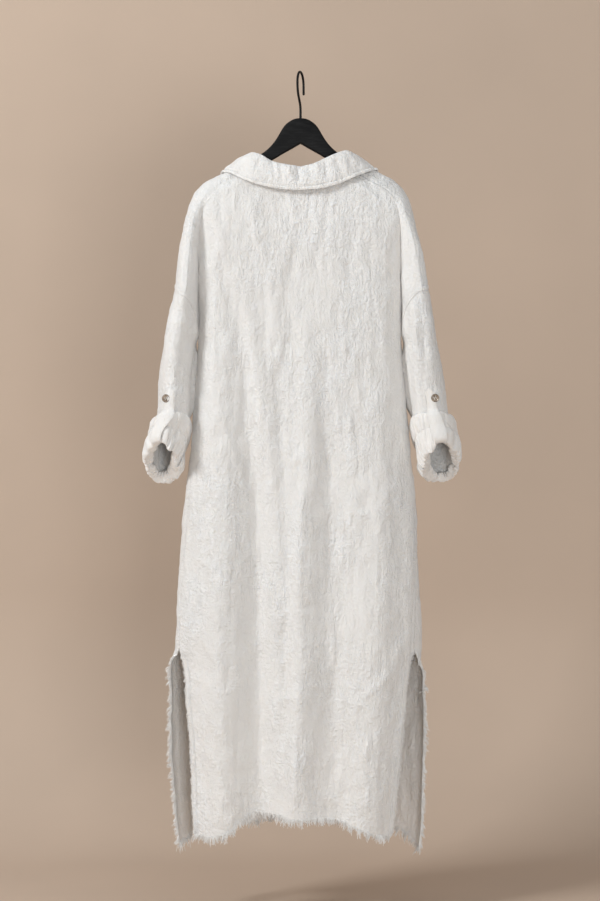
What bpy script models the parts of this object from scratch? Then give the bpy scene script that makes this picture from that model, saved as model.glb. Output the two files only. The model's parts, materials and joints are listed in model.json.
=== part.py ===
"""A long shirt dress of crinkled linen, hanging on a flat black hanger.

Metres, +Z up. The origin is the inner top of the hanger's hook. The wearer's front faces -Y, so the
wearer's left is +X. Tables are in millimetres, and "drop" is the distance below the origin.
Every cloth piece is a wall about one mid-surface. Level sections give that surface: an arc of the
body from the middle line out to the side, and an arc round the dropped shoulder or sleeve.
"""

import math

import bmesh
import bpy
import numpy as np

MM = 0.001

# Driving dimensions, in millimetres
CLOTH = 1.4
SEAM_GAP = 0.36
UNDERARM_DROP = 507.0
UNDERARM_TILT = 0.12
SLIT_DROP = 1104.0
SLEEVE_LEVEL_DROP = 600.0
SLEEVE_TOP_AT_UNDERARM = 513.0
NECK_SIDE_DROP = 166.0
NECK_BACK_DROP = 212.0
NECK_FRONT_DROP = 300.0
FRONT_LAP = 15.0
LAP_LIFT = CLOTH + 0.45
LAP_RAMP = 32.0
BUTTON_RADIUS = 7.8
BUTTON_THICKNESS = 2.6
HANGER_HALF_THICKNESS = 6.5
HANGER_SEAT_GAP = 0.35
HOOK_WIRE = 4.6
HOOK_INNER_RADIUS = 20.5
HOOK_TURN = math.radians(15.0)
HOOK_SIDES = 8
HOOK_SOCKET_GAP = 0.4
HOOK_SOCKET_DEPTH = 16.0

BODY_COLUMNS = 12
ARM_COLUMNS = {"back": 4, "top": 2, "front": 6}
UPPER_ROWS = 11
UPPER_CROWDING = 1.25
SIDE_ROWS = 11
SLIT_ROWS = 8
LATTICE_STEP = 4.0
SLIT_STEP = (SLIT_DROP - UNDERARM_DROP) / 150.0

# Level sections above the underarm. Left and right are distances from the middle line.
UPPER_COLUMNS = (
    "drop", "out_left", "out_right", "seam_left", "seam_right", "valley_left", "valley_right",
    "body_depth", "arm_depth", "valley_depth", "ridge_y", "turn",
)
UPPER = (
    (160.0, 88.0, 88.0, 68.0, 68.0, 52.0, 52.0, 15.0, 8.0, 11.0, -4.0, 0.0),
    (166.0, 99.0, 99.0, 77.0, 77.0, 60.0, 60.0, 16.0, 9.0, 12.0, -4.0, 0.0),
    (180.0, 125.0, 127.0, 98.0, 98.0, 78.0, 78.0, 18.0, 11.0, 14.0, -6.0, 0.0),
    (195.0, 154.0, 158.0, 124.0, 124.0, 102.0, 102.0, 22.0, 13.0, 17.0, -7.0, 0.0),
    (210.0, 182.0, 182.0, 147.0, 147.0, 128.0, 128.0, 26.0, 15.0, 20.0, -8.0, 0.0),
    (228.0, 203.0, 200.0, 171.0, 173.0, 155.0, 157.0, 30.0, 19.0, 24.0, -8.0, 0.0),
    (247.0, 212.0, 209.0, 188.0, 192.0, 176.0, 178.0, 33.0, 25.0, 27.0, -8.0, 8.0),
    (272.0, 219.5, 216.0, 199.5, 200.0, 188.0, 188.0, 36.0, 33.0, 27.0, -7.0, 30.0),
    (307.0, 227.5, 224.0, 206.5, 210.0, 193.0, 191.0, 39.0, 42.0, 22.0, -7.0, 52.0),
    (346.0, 234.5, 233.0, 211.5, 219.5, 195.0, 192.0, 41.0, 49.0, 17.0, -7.0, 64.0),
    (380.0, 238.5, 238.5, 214.0, 225.0, 196.0, 192.0, 42.0, 53.0, 13.0, -7.0, 72.0),
    (416.0, 242.0, 244.0, 217.0, 230.0, 196.5, 193.0, 43.0, 56.0, 9.0, -7.0, 80.0),
    (455.0, 250.0, 250.0, 222.0, 233.0, 197.0, 194.0, 44.5, 58.0, 5.0, -7.0, 86.0),
    (507.0, 260.0, 259.0, 228.0, 236.0, 196.0, 194.0, 46.0, 58.0, 1.7, -7.0, 90.0),
)

# Level sections of the body below the underarm, with the slits' edges from SLIT_DROP down.
LOWER_COLUMNS = (
    "drop", "seam_left", "seam_right", "edge_left", "edge_right", "out_left", "out_right",
    "seam_depth", "edge_depth", "out_depth", "crest_inset", "back_depth", "front_depth", "turn",
)
LOWER = (
    (507.0, 196.0, 194.0, 196.0, 194.0, 197.0, 195.0, 1.7, 1.7, -2.0, 20.0, 46.0, 55.0, 90.0),
    (530.0, 195.0, 193.0, 195.0, 193.0, 197.0, 195.5, 2.5, 2.5, -6.0, 22.0, 47.0, 55.0, 84.0),
    (580.0, 197.0, 195.5, 197.0, 195.5, 200.5, 199.0, 6.0, 6.0, -7.0, 24.0, 48.0, 55.5, 78.0),
    (660.0, 200.5, 199.5, 200.5, 199.5, 206.0, 204.5, 12.0, 12.0, -7.0, 30.0, 50.0, 56.0, 70.0),
    (740.0, 205.5, 206.0, 205.5, 206.0, 212.5, 211.0, 16.0, 16.0, -7.0, 38.0, 52.0, 57.0, 64.0),
    (820.0, 213.5, 215.0, 213.5, 215.0, 223.0, 220.5, 18.0, 18.0, -7.0, 46.0, 54.0, 58.0, 58.0),
    (920.0, 222.0, 218.5, 222.0, 218.5, 231.0, 224.5, 19.0, 19.0, -7.0, 48.0, 56.0, 60.0, 54.0),
    (1010.0, 229.0, 219.0, 229.0, 219.0, 236.5, 229.0, 20.0, 20.0, -7.0, 50.0, 58.0, 61.0, 52.0),
    (1104.0, 232.0, 218.0, 232.0, 218.0, 240.0, 232.0, 21.0, 21.0, -8.0, 50.0, 60.0, 63.0, 50.0),
    (1135.0, 222.0, 209.5, 247.0, 226.5, 245.0, 231.0, 24.0, 10.0, -12.0, 48.0, 61.0, 63.0, 44.0),
    (1165.0, 218.5, 205.0, 249.0, 236.0, 246.0, 234.5, 27.0, 6.0, -16.0, 46.0, 61.0, 64.0, 40.0),
    (1200.0, 217.5, 201.0, 248.5, 236.0, 245.5, 234.0, 29.0, 4.0, -18.0, 45.0, 62.0, 64.0, 36.0),
    (1260.0, 212.0, 194.5, 248.0, 237.5, 245.0, 235.0, 31.0, 3.0, -20.0, 44.0, 63.0, 65.0, 34.0),
    (1336.0, 207.0, 187.0, 245.0, 236.0, 242.0, 233.5, 33.0, 2.0, -22.0, 42.0, 65.0, 66.0, 32.0),
    (1420.0, 203.0, 178.0, 239.0, 235.0, 236.0, 232.0, 35.0, 2.0, -24.0, 40.0, 67.0, 67.0, 30.0),
    (1500.0, 201.0, 169.0, 230.0, 228.0, 227.0, 225.0, 36.0, 2.0, -26.0, 40.0, 69.0, 68.0, 30.0),
)

# Level sections of the sleeves from the underarm to where they begin to tip backwards.
SLEEVE_COLUMNS = (
    "drop", "inner_left", "inner_right", "seam_left", "seam_right", "out_left", "out_right",
    "arm_depth", "ridge_y",
)
SLEEVE = (
    (507.0, 197.0, 195.0, 228.0, 236.0, 260.0, 259.0, 58.0, -7.0),
    (520.0, 202.5, 199.0, 230.0, 237.0, 262.0, 261.0, 58.0, -7.0),
    (550.0, 207.5, 202.0, 235.0, 241.0, 267.0, 267.0, 57.0, -7.0),
    (600.0, 213.0, 209.0, 242.0, 247.0, 272.5, 277.0, 55.0, -6.0),
    (620.0, 215.0, 212.0, 244.0, 250.0, 274.0, 280.0, 54.0, -6.0),
)

# The sleeve's end, as level rings that move and tip while they shrink. Tip turns the ring's back up,
# and lean turns its outer side up. Scales are of the ring at SLEEVE_LEVEL_DROP.
SWEEP_COLUMNS = (
    "way", "x_left", "x_right", "y", "drop", "tip", "lean", "wide", "deep",
)
SWEEP = (
    (0.0, 242.75, 243.0, -6.0, 600.0, 0.0, 0.0, 1.0, 1.0),
    (0.25, 244.0, 248.0, -4.0, 640.0, 10.0, 1.0, 0.99, 1.0),
    (0.5, 247.5, 253.0, 1.0, 679.0, 22.0, 4.0, 1.0, 0.97),
    (0.75, 256.0, 260.0, 11.0, 712.0, 31.0, 9.0, 0.95, 0.94),
    (1.0, 265.0, 268.0, 24.0, 741.0, 38.0, 14.0, 0.88, 0.92),
)
SWEEP_LENGTH = 152.0

# Relief of the back: troughs are negative, crests positive, with a width for each flank.
FOLD_COLUMNS = ("drop", "x", "left_width", "right_width", "depth")
BACK_FOLDS = {
    "left trough": (
        (350.0, 150.0, 10.0, 10.0, 0.0),
        (450.0, 128.0, 14.0, 14.0, -5.0),
        (547.0, 112.0, 18.0, 18.0, -9.0),
        (684.0, 98.0, 24.0, 24.0, -15.0),
        (820.0, 86.0, 28.0, 26.0, -23.0),
        (1000.0, 82.0, 32.0, 28.0, -27.0),
        (1250.0, 80.0, 34.0, 30.0, -30.0),
        (1500.0, 78.0, 36.0, 32.0, -32.0),
    ),
    "upper trough": (
        (290.0, 97.0, 8.0, 8.0, 0.0),
        (400.0, 82.0, 12.0, 12.0, -4.0),
        (502.0, 68.0, 14.0, 14.0, -6.0),
        (629.0, 44.0, 16.0, 16.0, -7.0),
        (760.0, 36.0, 12.0, 12.0, -3.0),
        (850.0, 34.0, 10.0, 10.0, 0.0),
    ),
    "middle trough": (
        (240.0, 26.0, 8.0, 10.0, 0.0),
        (350.0, 18.0, 12.0, 14.0, -3.0),
        (502.0, 24.0, 14.0, 18.0, -5.0),
        (629.0, 40.0, 12.0, 18.0, -4.0),
        (760.0, 38.0, 12.0, 14.0, -4.0),
        (946.0, 24.0, 12.0, 10.0, -5.0),
        (1129.0, 31.0, 12.0, 12.0, -4.0),
        (1300.0, 36.0, 12.0, 12.0, 0.0),
    ),
    "middle crest": (
        (440.0, -10.0, 12.0, 18.0, 0.0),
        (530.0, -12.0, 13.0, 20.0, 4.0),
        (638.0, -16.0, 16.0, 26.0, 8.0),
        (743.0, -15.0, 16.0, 28.0, 10.0),
        (882.0, -1.0, 15.0, 30.0, 13.0),
        (1079.0, 0.0, 16.0, 32.0, 14.0),
        (1326.0, 7.0, 18.0, 34.0, 15.0),
        (1500.0, 15.0, 18.0, 36.0, 15.0),
    ),
    "right trough": (
        (540.0, -44.0, 22.0, 22.0, 0.0),
        (700.0, -52.0, 24.0, 28.0, -8.0),
        (1000.0, -62.0, 28.0, 34.0, -13.0),
        (1500.0, -62.0, 30.0, 36.0, -13.0),
    ),
    "left crest": (
        (460.0, 166.0, 18.0, 18.0, 0.0),
        (640.0, 162.0, 22.0, 22.0, 6.0),
        (820.0, 156.0, 26.0, 28.0, 9.0),
        (1500.0, 154.0, 28.0, 30.0, 9.0),
    ),
    "right crest": (
        (600.0, -150.0, 24.0, 22.0, 0.0),
        (820.0, -152.0, 34.0, 24.0, 8.0),
        (1100.0, -150.0, 38.0, 26.0, 10.0),
        (1500.0, -128.0, 38.0, 28.0, 9.0),
    ),
}
FRONT_FOLDS = {
    "left trough": (
        (380.0, 118.0, 12.0, 12.0, 0.0),
        (620.0, 104.0, 22.0, 20.0, -11.0),
        (1000.0, 96.0, 30.0, 26.0, -22.0),
        (1500.0, 92.0, 34.0, 30.0, -27.0),
    ),
    "left inner crest": (
        (600.0, 48.0, 18.0, 16.0, 0.0),
        (900.0, 46.0, 22.0, 18.0, 7.0),
        (1500.0, 42.0, 24.0, 18.0, 10.0),
    ),
    "right trough": (
        (420.0, -96.0, 14.0, 14.0, 0.0),
        (700.0, -88.0, 22.0, 24.0, -12.0),
        (1100.0, -84.0, 28.0, 30.0, -21.0),
        (1500.0, -88.0, 30.0, 34.0, -24.0),
    ),
    "right outer crest": (
        (620.0, -146.0, 22.0, 22.0, 0.0),
        (900.0, -148.0, 28.0, 24.0, 9.0),
        (1500.0, -150.0, 30.0, 26.0, 11.0),
    ),
}

# Where the sleeve is set in, as a drop at each point round the dropped shoulder.
ARMHOLE = {
    "left": ((0.0, 507.0), (0.5, 466.0), (1.0, 436.0), (2.0, 414.0), (3.0, 432.0), (3.6, 466.0), (4.0, 507.0)),
    "right": ((0.0, 507.0), (0.5, 452.0), (1.0, 424.0), (2.0, 416.0), (3.0, 432.0), (3.6, 466.0), (4.0, 507.0)),
}

# Hem lines: x and drop.
BACK_HEM = (
    (-176.0, 1462.0), (-159.0, 1459.0), (-124.0, 1446.0), (-94.0, 1434.0), (-77.0, 1426.0), (-35.0, 1421.0),
    (-18.0, 1421.0), (18.0, 1421.0), (53.0, 1414.0), (84.0, 1414.0), (106.0, 1424.0), (119.0, 1435.0),
    (138.0, 1449.0), (162.0, 1457.0), (204.0, 1458.0),
)
FRONT_HEM = (
    (-232.0, 1494.0), (-224.0, 1486.0), (-199.0, 1468.0), (-176.0, 1460.0), (-90.0, 1447.0), (0.0, 1442.0),
    (90.0, 1446.0), (160.0, 1458.0), (202.0, 1470.0), (220.0, 1478.0), (238.0, 1481.0),
)

# The collar from the middle of the back to its front end. The stand rises from the neckline to the
# roll, and the fall drops from the roll to the outer edge, which stands off the cloth under it.
COLLAR_COLUMNS = ("way", "roll_x", "roll_y", "roll_drop", "edge_x", "edge_drop", "stand_off", "puff")
COLLAR = {
    "left": (
        (0.0, 0.0, 25.0, 184.0, 0.0, 231.0, 12.0, 7.0),
        (0.13, 26.0, 24.5, 180.0, 33.0, 229.0, 11.0, 7.5),
        (0.27, 54.0, 21.5, 173.0, 72.0, 222.0, 10.0, 7.0),
        (0.38, 76.0, 15.0, 159.5, 108.0, 209.5, 9.0, 6.0),
        (0.45, 88.0, 6.0, 154.5, 136.0, 194.5, 8.0, 4.5),
        (0.5, 92.0, -5.0, 153.0, 153.0, 188.5, 7.0, 3.5),
        (0.54, 91.0, -18.0, 157.0, 154.0, 197.0, 9.0, 4.0),
        (0.6, 80.0, -37.0, 178.0, 147.0, 222.0, 8.0, 5.0),
        (0.75, 56.0, -54.0, 222.0, 127.0, 272.0, 7.0, 6.0),
        (0.9, 33.0, -59.5, 264.0, 105.0, 318.0, 6.5, 5.0),
        (1.0, 19.0, -61.5, 290.0, 95.0, 338.0, 6.0, 3.5),
    ),
    "right": (
        (0.0, 0.0, 25.0, 184.0, 0.0, 231.0, 12.0, 7.0),
        (0.13, 24.0, 24.5, 178.0, 34.0, 228.0, 11.0, 7.5),
        (0.27, 54.0, 21.5, 164.5, 74.0, 217.5, 10.0, 7.0),
        (0.38, 75.0, 15.0, 154.5, 108.0, 202.0, 9.0, 6.0),
        (0.45, 86.0, 6.0, 151.0, 134.0, 190.5, 8.0, 4.5),
        (0.5, 90.0, -5.0, 150.5, 148.0, 185.5, 7.0, 3.5),
        (0.54, 90.0, -18.0, 156.0, 150.0, 195.0, 8.0, 4.0),
        (0.6, 80.0, -37.0, 178.0, 146.0, 220.0, 8.0, 5.0),
        (0.75, 56.0, -54.0, 222.0, 126.0, 271.0, 7.0, 6.0),
        (0.9, 33.0, -59.5, 264.0, 104.0, 317.0, 6.5, 5.0),
        (1.0, 19.0, -61.5, 290.0, 94.0, 336.0, 6.0, 3.5),
    ),
}
COLLAR_WAYS = (0.0, 0.065, 0.13, 0.2, 0.27, 0.33, 0.38, 0.42, 0.46, 0.5, 0.54, 0.6, 0.68, 0.76, 0.84, 0.92, 1.0)
FALL_STEPS = (0.0, 0.05, 0.18, 0.38, 0.6, 0.82, 1.0)
STAND_BASE_GAP = 0.5
STAND_FRONT_GAP = 1.5
STAND_ROWS = 3

# The rolled cuff's outline, as a place along the sleeve's end and a distance off the sleeve's middle.
CUFF_PROFILE = (
    (0.5, 1.5),
    (0.637, 1.5),
    (0.796, 1.5),
    (0.965, 1.4),
    (0.975, -1.0),
    (0.99, -4.0),
    (1.04, -3.6),
    (1.08, 1.0),
    (1.06, 6.0),
    (0.95, 9.5),
    (0.75, 9.8),
    (0.58, 8.5),
    (0.48, 5.0),
)
CUFF_SLIM_INSIDE = 0.5

# The roll tab's middle line in the same terms, from its tip to its end inside the opening.
TAB_PROFILE = (
    (0.065, 2.3),
    (0.135, 2.3),
    (0.159, 2.3),
    (0.318, 2.3),
    (0.42, 3.0),
    (0.461, 6.8),
    (0.56, 11.2),
    (0.75, 12.0),
    (0.955, 11.7),
    (1.072, 8.0),
    (1.094, 1.0),
    (1.05, -5.6),
)
TAB_COLUMN = {"left": (4.48, 4.1), "right": (4.29, 3.8)}
TAB_HALF_COLUMNS = 0.26
TAB_BUTTON_ROWS = (2, 3)
TAB_BUTTON_SHARE = 0.36

HANGER_COLUMNS = ("x", "top", "bottom")
HANGER_NECK = (
    (0.0, 87.0, 136.0),
    (8.0, 87.6, 140.5),
    (15.0, 89.8, 144.5),
    (24.0, 95.0, 149.5),
    (33.0, 104.0, 154.5),
    (38.5, 113.0, 157.5),
    (44.0, 122.5, 161.0),
    (50.0, 131.5, 164.5),
    (57.0, 140.0, 168.5),
    (66.0, 148.5, 173.5),
    (76.0, 155.5, 179.5),
    (88.0, 162.6, 186.0),
)
HANGER_UNDER_RIDGE = 3.0
HANGER_BOTTOM_SLOPE = 0.566
HANGER_END_X = 188.0
HANGER_SWEEP = 0.045

HEM_REACH = (0.008, 0.992)
SLIT_REACH = (0.07, 0.985)

BUTTON_DROPS = (330.0, 420.0, 510.0, 600.0, 690.0, 780.0, 870.0, 960.0, 1050.0)

SIDES = (("left", 1.0), ("right", -1.0))


def table(columns, rows):
    """A table of named columns as arrays."""
    values = np.array(rows, dtype=float)
    return {name: values[:, index] for index, name in enumerate(columns)}


def smooth(xs, ys, at):
    """A smooth curve through the points that never overshoots them (monotone cubic)."""
    xs, ys, at = (np.asarray(values, dtype=float) for values in (xs, ys, at))
    step = np.diff(xs)
    rate = np.diff(ys) / step
    slope = np.empty(len(xs))
    slope[0], slope[-1] = rate[0], rate[-1]
    for i in range(1, len(xs) - 1):
        before, after = rate[i - 1], rate[i]
        if before * after <= 0:
            slope[i] = 0.0
            continue
        first = 2 * step[i] + step[i - 1]
        second = step[i] + 2 * step[i - 1]
        slope[i] = (first + second) / (first / before + second / after)
    inside = np.clip(at, xs[0], xs[-1])
    k = np.clip(np.searchsorted(xs, inside, side="right") - 1, 0, len(xs) - 2)
    t = (inside - xs[k]) / step[k]
    return (
        (1 + 2 * t) * (1 - t) ** 2 * ys[k]
        + t * (1 - t) ** 2 * step[k] * slope[k]
        + t * t * (3 - 2 * t) * ys[k + 1]
        + t * t * (t - 1) * step[k] * slope[k + 1]
    )


def ease(t):
    """0 to 1 with level ends."""
    t = np.clip(t, 0.0, 1.0)
    return t * t * (3 - 2 * t)


def curve_through(knots, start, end, per_segment=14):
    """A smooth curve through the knots, leaving along start and arriving along end."""
    knots = np.array(knots, dtype=float)
    span = np.maximum(np.linalg.norm(np.diff(knots, axis=0), axis=1), 0.05)
    rate = np.diff(knots, axis=0) / span[:, None]
    slope = np.empty_like(knots)
    slope[0] = start
    slope[-1] = end
    for i in range(1, len(knots) - 1):
        slope[i] = (rate[i - 1] * span[i] + rate[i] * span[i - 1]) / (span[i - 1] + span[i])
    points = []
    for i in range(len(knots) - 1):
        for t in np.arange(per_segment) / per_segment:
            points.append(
                (1 + 2 * t) * (1 - t) ** 2 * knots[i]
                + t * (1 - t) ** 2 * span[i] * slope[i]
                + t * t * (3 - 2 * t) * knots[i + 1]
                + t * t * (t - 1) * span[i] * slope[i + 1]
            )
    points.append(knots[-1])
    return np.array(points)


def along(points, fractions):
    """Points at fractions of the length of a polyline."""
    length = np.concatenate([[0.0], np.cumsum(np.linalg.norm(np.diff(points, axis=0), axis=1))])
    wanted = np.asarray(fractions) * length[-1]
    return np.stack([np.interp(wanted, length, points[:, axis]) for axis in range(points.shape[1])], axis=1)


def heading(degrees, sense):
    """A direction that leaves the middle line and turns towards the front, or the back, by degrees."""
    angle = math.radians(degrees)
    return np.array([math.cos(angle), sense * math.sin(angle)])


class Sections:
    """The mid-surface of the dress, read at any place across and at any drop."""

    def __init__(self):
        self.upper = table(UPPER_COLUMNS, UPPER)
        self.lower = table(LOWER_COLUMNS, LOWER)
        self.sleeve = table(SLEEVE_COLUMNS, SLEEVE)
        self.sweep = table(SWEEP_COLUMNS, SWEEP)
        self.upper_drops = np.append(
            np.arange(UPPER[0][0], UPPER_DROP_END, LATTICE_STEP), UPPER_DROP_END
        )
        self.lower_drops = np.append(
            np.arange(UNDERARM_DROP, LOWER[-1][0], SLIT_STEP), LOWER[-1][0]
        )
        self.sleeve_drops = np.append(
            np.arange(UNDERARM_DROP, SLEEVE_LEVEL_DROP, LATTICE_STEP), SLEEVE_LEVEL_DROP
        )
        body = np.linspace(0.0, 1.0, BODY_COLUMNS + 1)
        arm = {name: np.linspace(0.0, 1.0, count + 1) for name, count in ARM_COLUMNS.items()}
        self.lattices = {}
        for side, _ in SIDES:
            self.lattices["back upper", side] = self.fill(self.upper_drops, self.upper_back, side, body)
            self.lattices["front upper", side] = self.fill(self.upper_drops, self.upper_front, side, body)
            self.lattices["back lower", side] = self.fill(self.lower_drops, self.lower_back, side, body)
            self.lattices["front lower", side] = self.fill(self.lower_drops, self.lower_front, side, body)
            self.lattices["arm upper", side] = self.fill(self.upper_drops, self.upper_arm, side, arm)
            self.lattices["arm lower", side] = self.fill(self.sleeve_drops, self.lower_arm, side, arm)

    @staticmethod
    def fill(drops, section, side, fractions):
        """A section's points at every drop of a lattice."""
        return np.array([section(side, drop, fractions) for drop in drops])

    @staticmethod
    def row(source, side, drop):
        """One row of a table, with the columns of one side named without it."""
        other = "_right" if side == "left" else "_left"
        values = {}
        for name, column in source.items():
            if name.endswith(other) or name in ("drop", "way"):
                continue
            values[name.removesuffix("_" + side)] = float(smooth(source["drop"], column, drop))
        return values

    def upper_back(self, side, drop, fractions):
        """The body's back from the middle line to the trough beside the dropped shoulder."""
        v = self.row(self.upper, side, drop)
        crest = v["valley"] - 0.1 * v["valley"]
        knots = [
            (0.0, v["body_depth"]),
            (0.5 * v["valley"], v["body_depth"]),
            (crest, 0.4 * v["valley_depth"] + 0.6 * v["body_depth"]),
            (v["valley"], v["valley_depth"]),
        ]
        return along(curve_through(knots, (1.0, 0.0), heading(v["turn"], -1.0)), fractions)

    def upper_front(self, side, drop, fractions):
        """The body's front from the middle line to the trough, deeper by twice the ridge's set."""
        v = self.row(self.upper, side, drop)
        crest = v["valley"] - 0.1 * v["valley"]
        shift = 2 * v["ridge_y"]
        closing = ease((drop - 400.0) / (UNDERARM_DROP - 400.0))
        trough = -v["valley_depth"] + shift * (1 - closing)
        deep = -v["body_depth"] + shift
        knots = [
            (0.0, deep),
            (0.5 * v["valley"], deep),
            (crest, 0.4 * trough + 0.6 * deep),
            (v["valley"], trough),
        ]
        return along(curve_through(knots, (1.0, 0.0), heading(v["turn"], 1.0)), fractions)

    def upper_arm(self, side, drop, fractions):
        """Round the dropped shoulder, from the back trough by the outer side to the front trough."""
        v = self.row(self.upper, side, drop)
        shift = 2 * v["ridge_y"]
        closing = ease((drop - 400.0) / (UNDERARM_DROP - 400.0))
        trough = -v["valley_depth"] + shift * (1 - closing)
        inner = v["valley"] + 0.42 * (v["seam"] - v["valley"])
        back = v["valley_depth"] + 0.78 * (v["arm_depth"] - v["valley_depth"])
        knots = [
            (v["valley"], v["valley_depth"]),
            (inner, back),
            (v["seam"], v["arm_depth"]),
            (v["out"], v["ridge_y"]),
            (v["seam"], shift - v["arm_depth"]),
            (inner, shift - back),
            (v["valley"], trough),
        ]
        return self.arm_points(knots, v["turn"], fractions)

    def lower_arm(self, side, drop, fractions):
        """Round the sleeve, from the underarm seam by the back and the outer side and home again."""
        v = self.row(self.sleeve, side, drop)
        shift = 2 * v["ridge_y"]
        merged = ease((drop - UNDERARM_DROP) / 40.0)
        start_y = v["ridge_y"] * merged
        inner = v["inner"] + (0.42 - 0.12 * merged) * (v["seam"] - v["inner"])
        back = 0.78 * v["arm_depth"]
        knots = [
            (v["inner"], start_y),
            (inner, back),
            (v["seam"], v["arm_depth"]),
            (v["out"], v["ridge_y"]),
            (v["seam"], shift - v["arm_depth"]),
            (inner, shift - back),
            (v["inner"], start_y),
        ]
        return self.arm_points(knots, 90.0, fractions)

    @staticmethod
    def arm_points(knots, turn, fractions):
        """The three stretches round an arm, each at its own fractions, joined into one row."""
        per_segment = 14
        dense = curve_through(knots, heading(turn, 1.0), -heading(turn, -1.0) * np.array([1.0, -1.0]), per_segment)
        back = along(dense[: 2 * per_segment + 1], fractions["back"])
        top = along(dense[2 * per_segment : 3 * per_segment + 1], fractions["top"])
        front = along(dense[3 * per_segment :], fractions["front"])
        return np.concatenate([back, top[1:], front[1:]])

    def lower_back(self, side, drop, fractions):
        """The body's back from the middle line to the side seam or the slit's back edge."""
        v = self.row(self.lower, side, drop)
        fall = 0.3 * (v["back_depth"] - v["seam_depth"])
        knots = [
            (0.0, v["back_depth"]),
            (0.5 * v["seam"], v["back_depth"]),
            (v["seam"] - v["crest_inset"], v["back_depth"] - fall),
            (v["seam"], v["seam_depth"]),
        ]
        points = along(curve_through(knots, (1.0, 0.0), heading(v["turn"], -1.0)), fractions)
        return self.joined(points, self.upper_back, side, drop, fractions)

    def joined(self, points, above, side, drop, fractions):
        """The points, eased into the section above so that both share their row at the underarm."""
        share = float(ease((drop - UNDERARM_DROP) / 36.0))
        return share * points + (1 - share) * above(side, UNDERARM_DROP, fractions)

    def lower_front(self, side, drop, fractions):
        """The body's front from the middle line round the side to the seam or the slit's front edge."""
        v = self.row(self.lower, side, drop)
        edge = (v["edge"], v["edge_depth"]) if drop > SLIT_DROP else (v["seam"], v["seam_depth"])
        knots = [
            (0.0, -v["front_depth"]),
            (0.5 * v["seam"], -v["front_depth"]),
            (v["out"] - 24.0, -v["front_depth"] * 0.72),
            (v["out"], v["out_depth"]),
            edge,
        ]
        slit = ease((drop - SLIT_DROP) / 60.0)
        leaving = (1 - slit) * heading(v["turn"], -1.0) * -1.0 + slit * np.array([0.1, 1.0])
        leaving = leaving / np.linalg.norm(leaving)
        points = along(curve_through(knots, (1.0, 0.0), leaving), fractions)
        return self.joined(points, self.upper_front, side, drop, fractions)

    def read(self, lattice, side, column, drops):
        """Points of one column of a lattice at the drops, in millimetres, with z below the origin."""
        grid = self.lattices[lattice, side]
        levels = {"upper": self.upper_drops, "lower": self.lower_drops}[lattice.split()[1]]
        if lattice == "arm lower":
            levels = self.sleeve_drops
        drops = np.asarray(drops, dtype=float)
        x = np.interp(drops, levels, grid[:, column, 0])
        y = np.interp(drops, levels, grid[:, column, 1])
        sign = 1.0 if side == "left" else -1.0
        return np.stack([sign * x, y, -drops], axis=-1)


UPPER_DROP_END = UNDERARM_DROP


def relief(folds, x, drop):
    """How far the folds push the cloth out at a place."""
    total = np.zeros(np.broadcast(x, drop).shape)
    for rows in folds.values():
        fold = table(FOLD_COLUMNS, rows)
        middle = smooth(fold["drop"], fold["x"], drop)
        left = smooth(fold["drop"], fold["left_width"], drop)
        right = smooth(fold["drop"], fold["right_width"], drop)
        depth = smooth(fold["drop"], fold["depth"], drop)
        away = x - middle
        width = np.where(away > 0, left, right)
        total = total + depth * np.exp(-((away / width) ** 2))
    return total


def folded(points, half_width, folds, sense):
    """The points with the folds added, fading out near the sides."""
    points = points.copy()
    fade = ease((half_width - np.abs(points[..., 0]) - 4.0) / 26.0)
    points[..., 1] += sense * fade * relief(folds, points[..., 0], -points[..., 2])
    return points


def neck_half_width(drop, face):
    """Half the width of the neck opening at a drop, on the back or on the front."""
    if face == "back":
        share = np.clip((drop - NECK_SIDE_DROP) / (NECK_BACK_DROP - NECK_SIDE_DROP), 0.0, 1.0)
        return 99.0 * np.sqrt(1.0 - share**2)
    share = np.clip((drop - NECK_SIDE_DROP) / (NECK_FRONT_DROP - NECK_SIDE_DROP), 0.0, 1.0)
    return 99.0 * (1.0 - share) ** 0.8 + FRONT_LAP * share


def neck_drop(sections, lattice, side, column, face):
    """The drop at which a column of the lattice meets the neckline."""
    drops = np.arange(NECK_SIDE_DROP, NECK_FRONT_DROP + 1.0, 0.5)
    x = np.abs(sections.read(lattice, side, column, drops)[:, 0])
    outside = x >= neck_half_width(drops, face) - 0.01
    if not outside.any():
        return NECK_BACK_DROP if face == "back" else NECK_FRONT_DROP
    return float(drops[np.argmax(outside)])


def armhole_drop(side, stretch, fraction):
    """The drop of the seam where the sleeve is set in."""
    base = {"back": 0.0, "top": 1.0, "front": 2.0}[stretch]
    reach = {"back": 1.0, "top": 1.0, "front": 2.0}[stretch]
    rows = np.array(ARMHOLE[side])
    return float(smooth(rows[:, 0], rows[:, 1], base + reach * fraction))


def arm_stations():
    """(stretch, fraction) for each column round an arm, from the back trough to the front one."""
    stations = [("back", f) for f in np.linspace(0.0, 1.0, ARM_COLUMNS["back"] + 1)]
    stations += [("top", f) for f in np.linspace(0.0, 1.0, ARM_COLUMNS["top"] + 1)[1:]]
    stations += [("front", f) for f in np.linspace(0.0, 1.0, ARM_COLUMNS["front"] + 1)[1:]]
    return stations


def front_arm_neck(sections, side, column):
    """The neckline's drop on a column of the front's part of the dropped shoulder."""
    seam_column = ARM_COLUMNS["back"] + ARM_COLUMNS["top"]
    if column <= seam_column:
        return NECK_SIDE_DROP
    return neck_drop(sections, "arm upper", side, column, "front")


def upper_shares():
    """How far down each row lies between the neckline and the lower edge, closer at the top."""
    return np.linspace(0.0, 1.0, UPPER_ROWS + 1) ** UPPER_CROWDING


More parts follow.
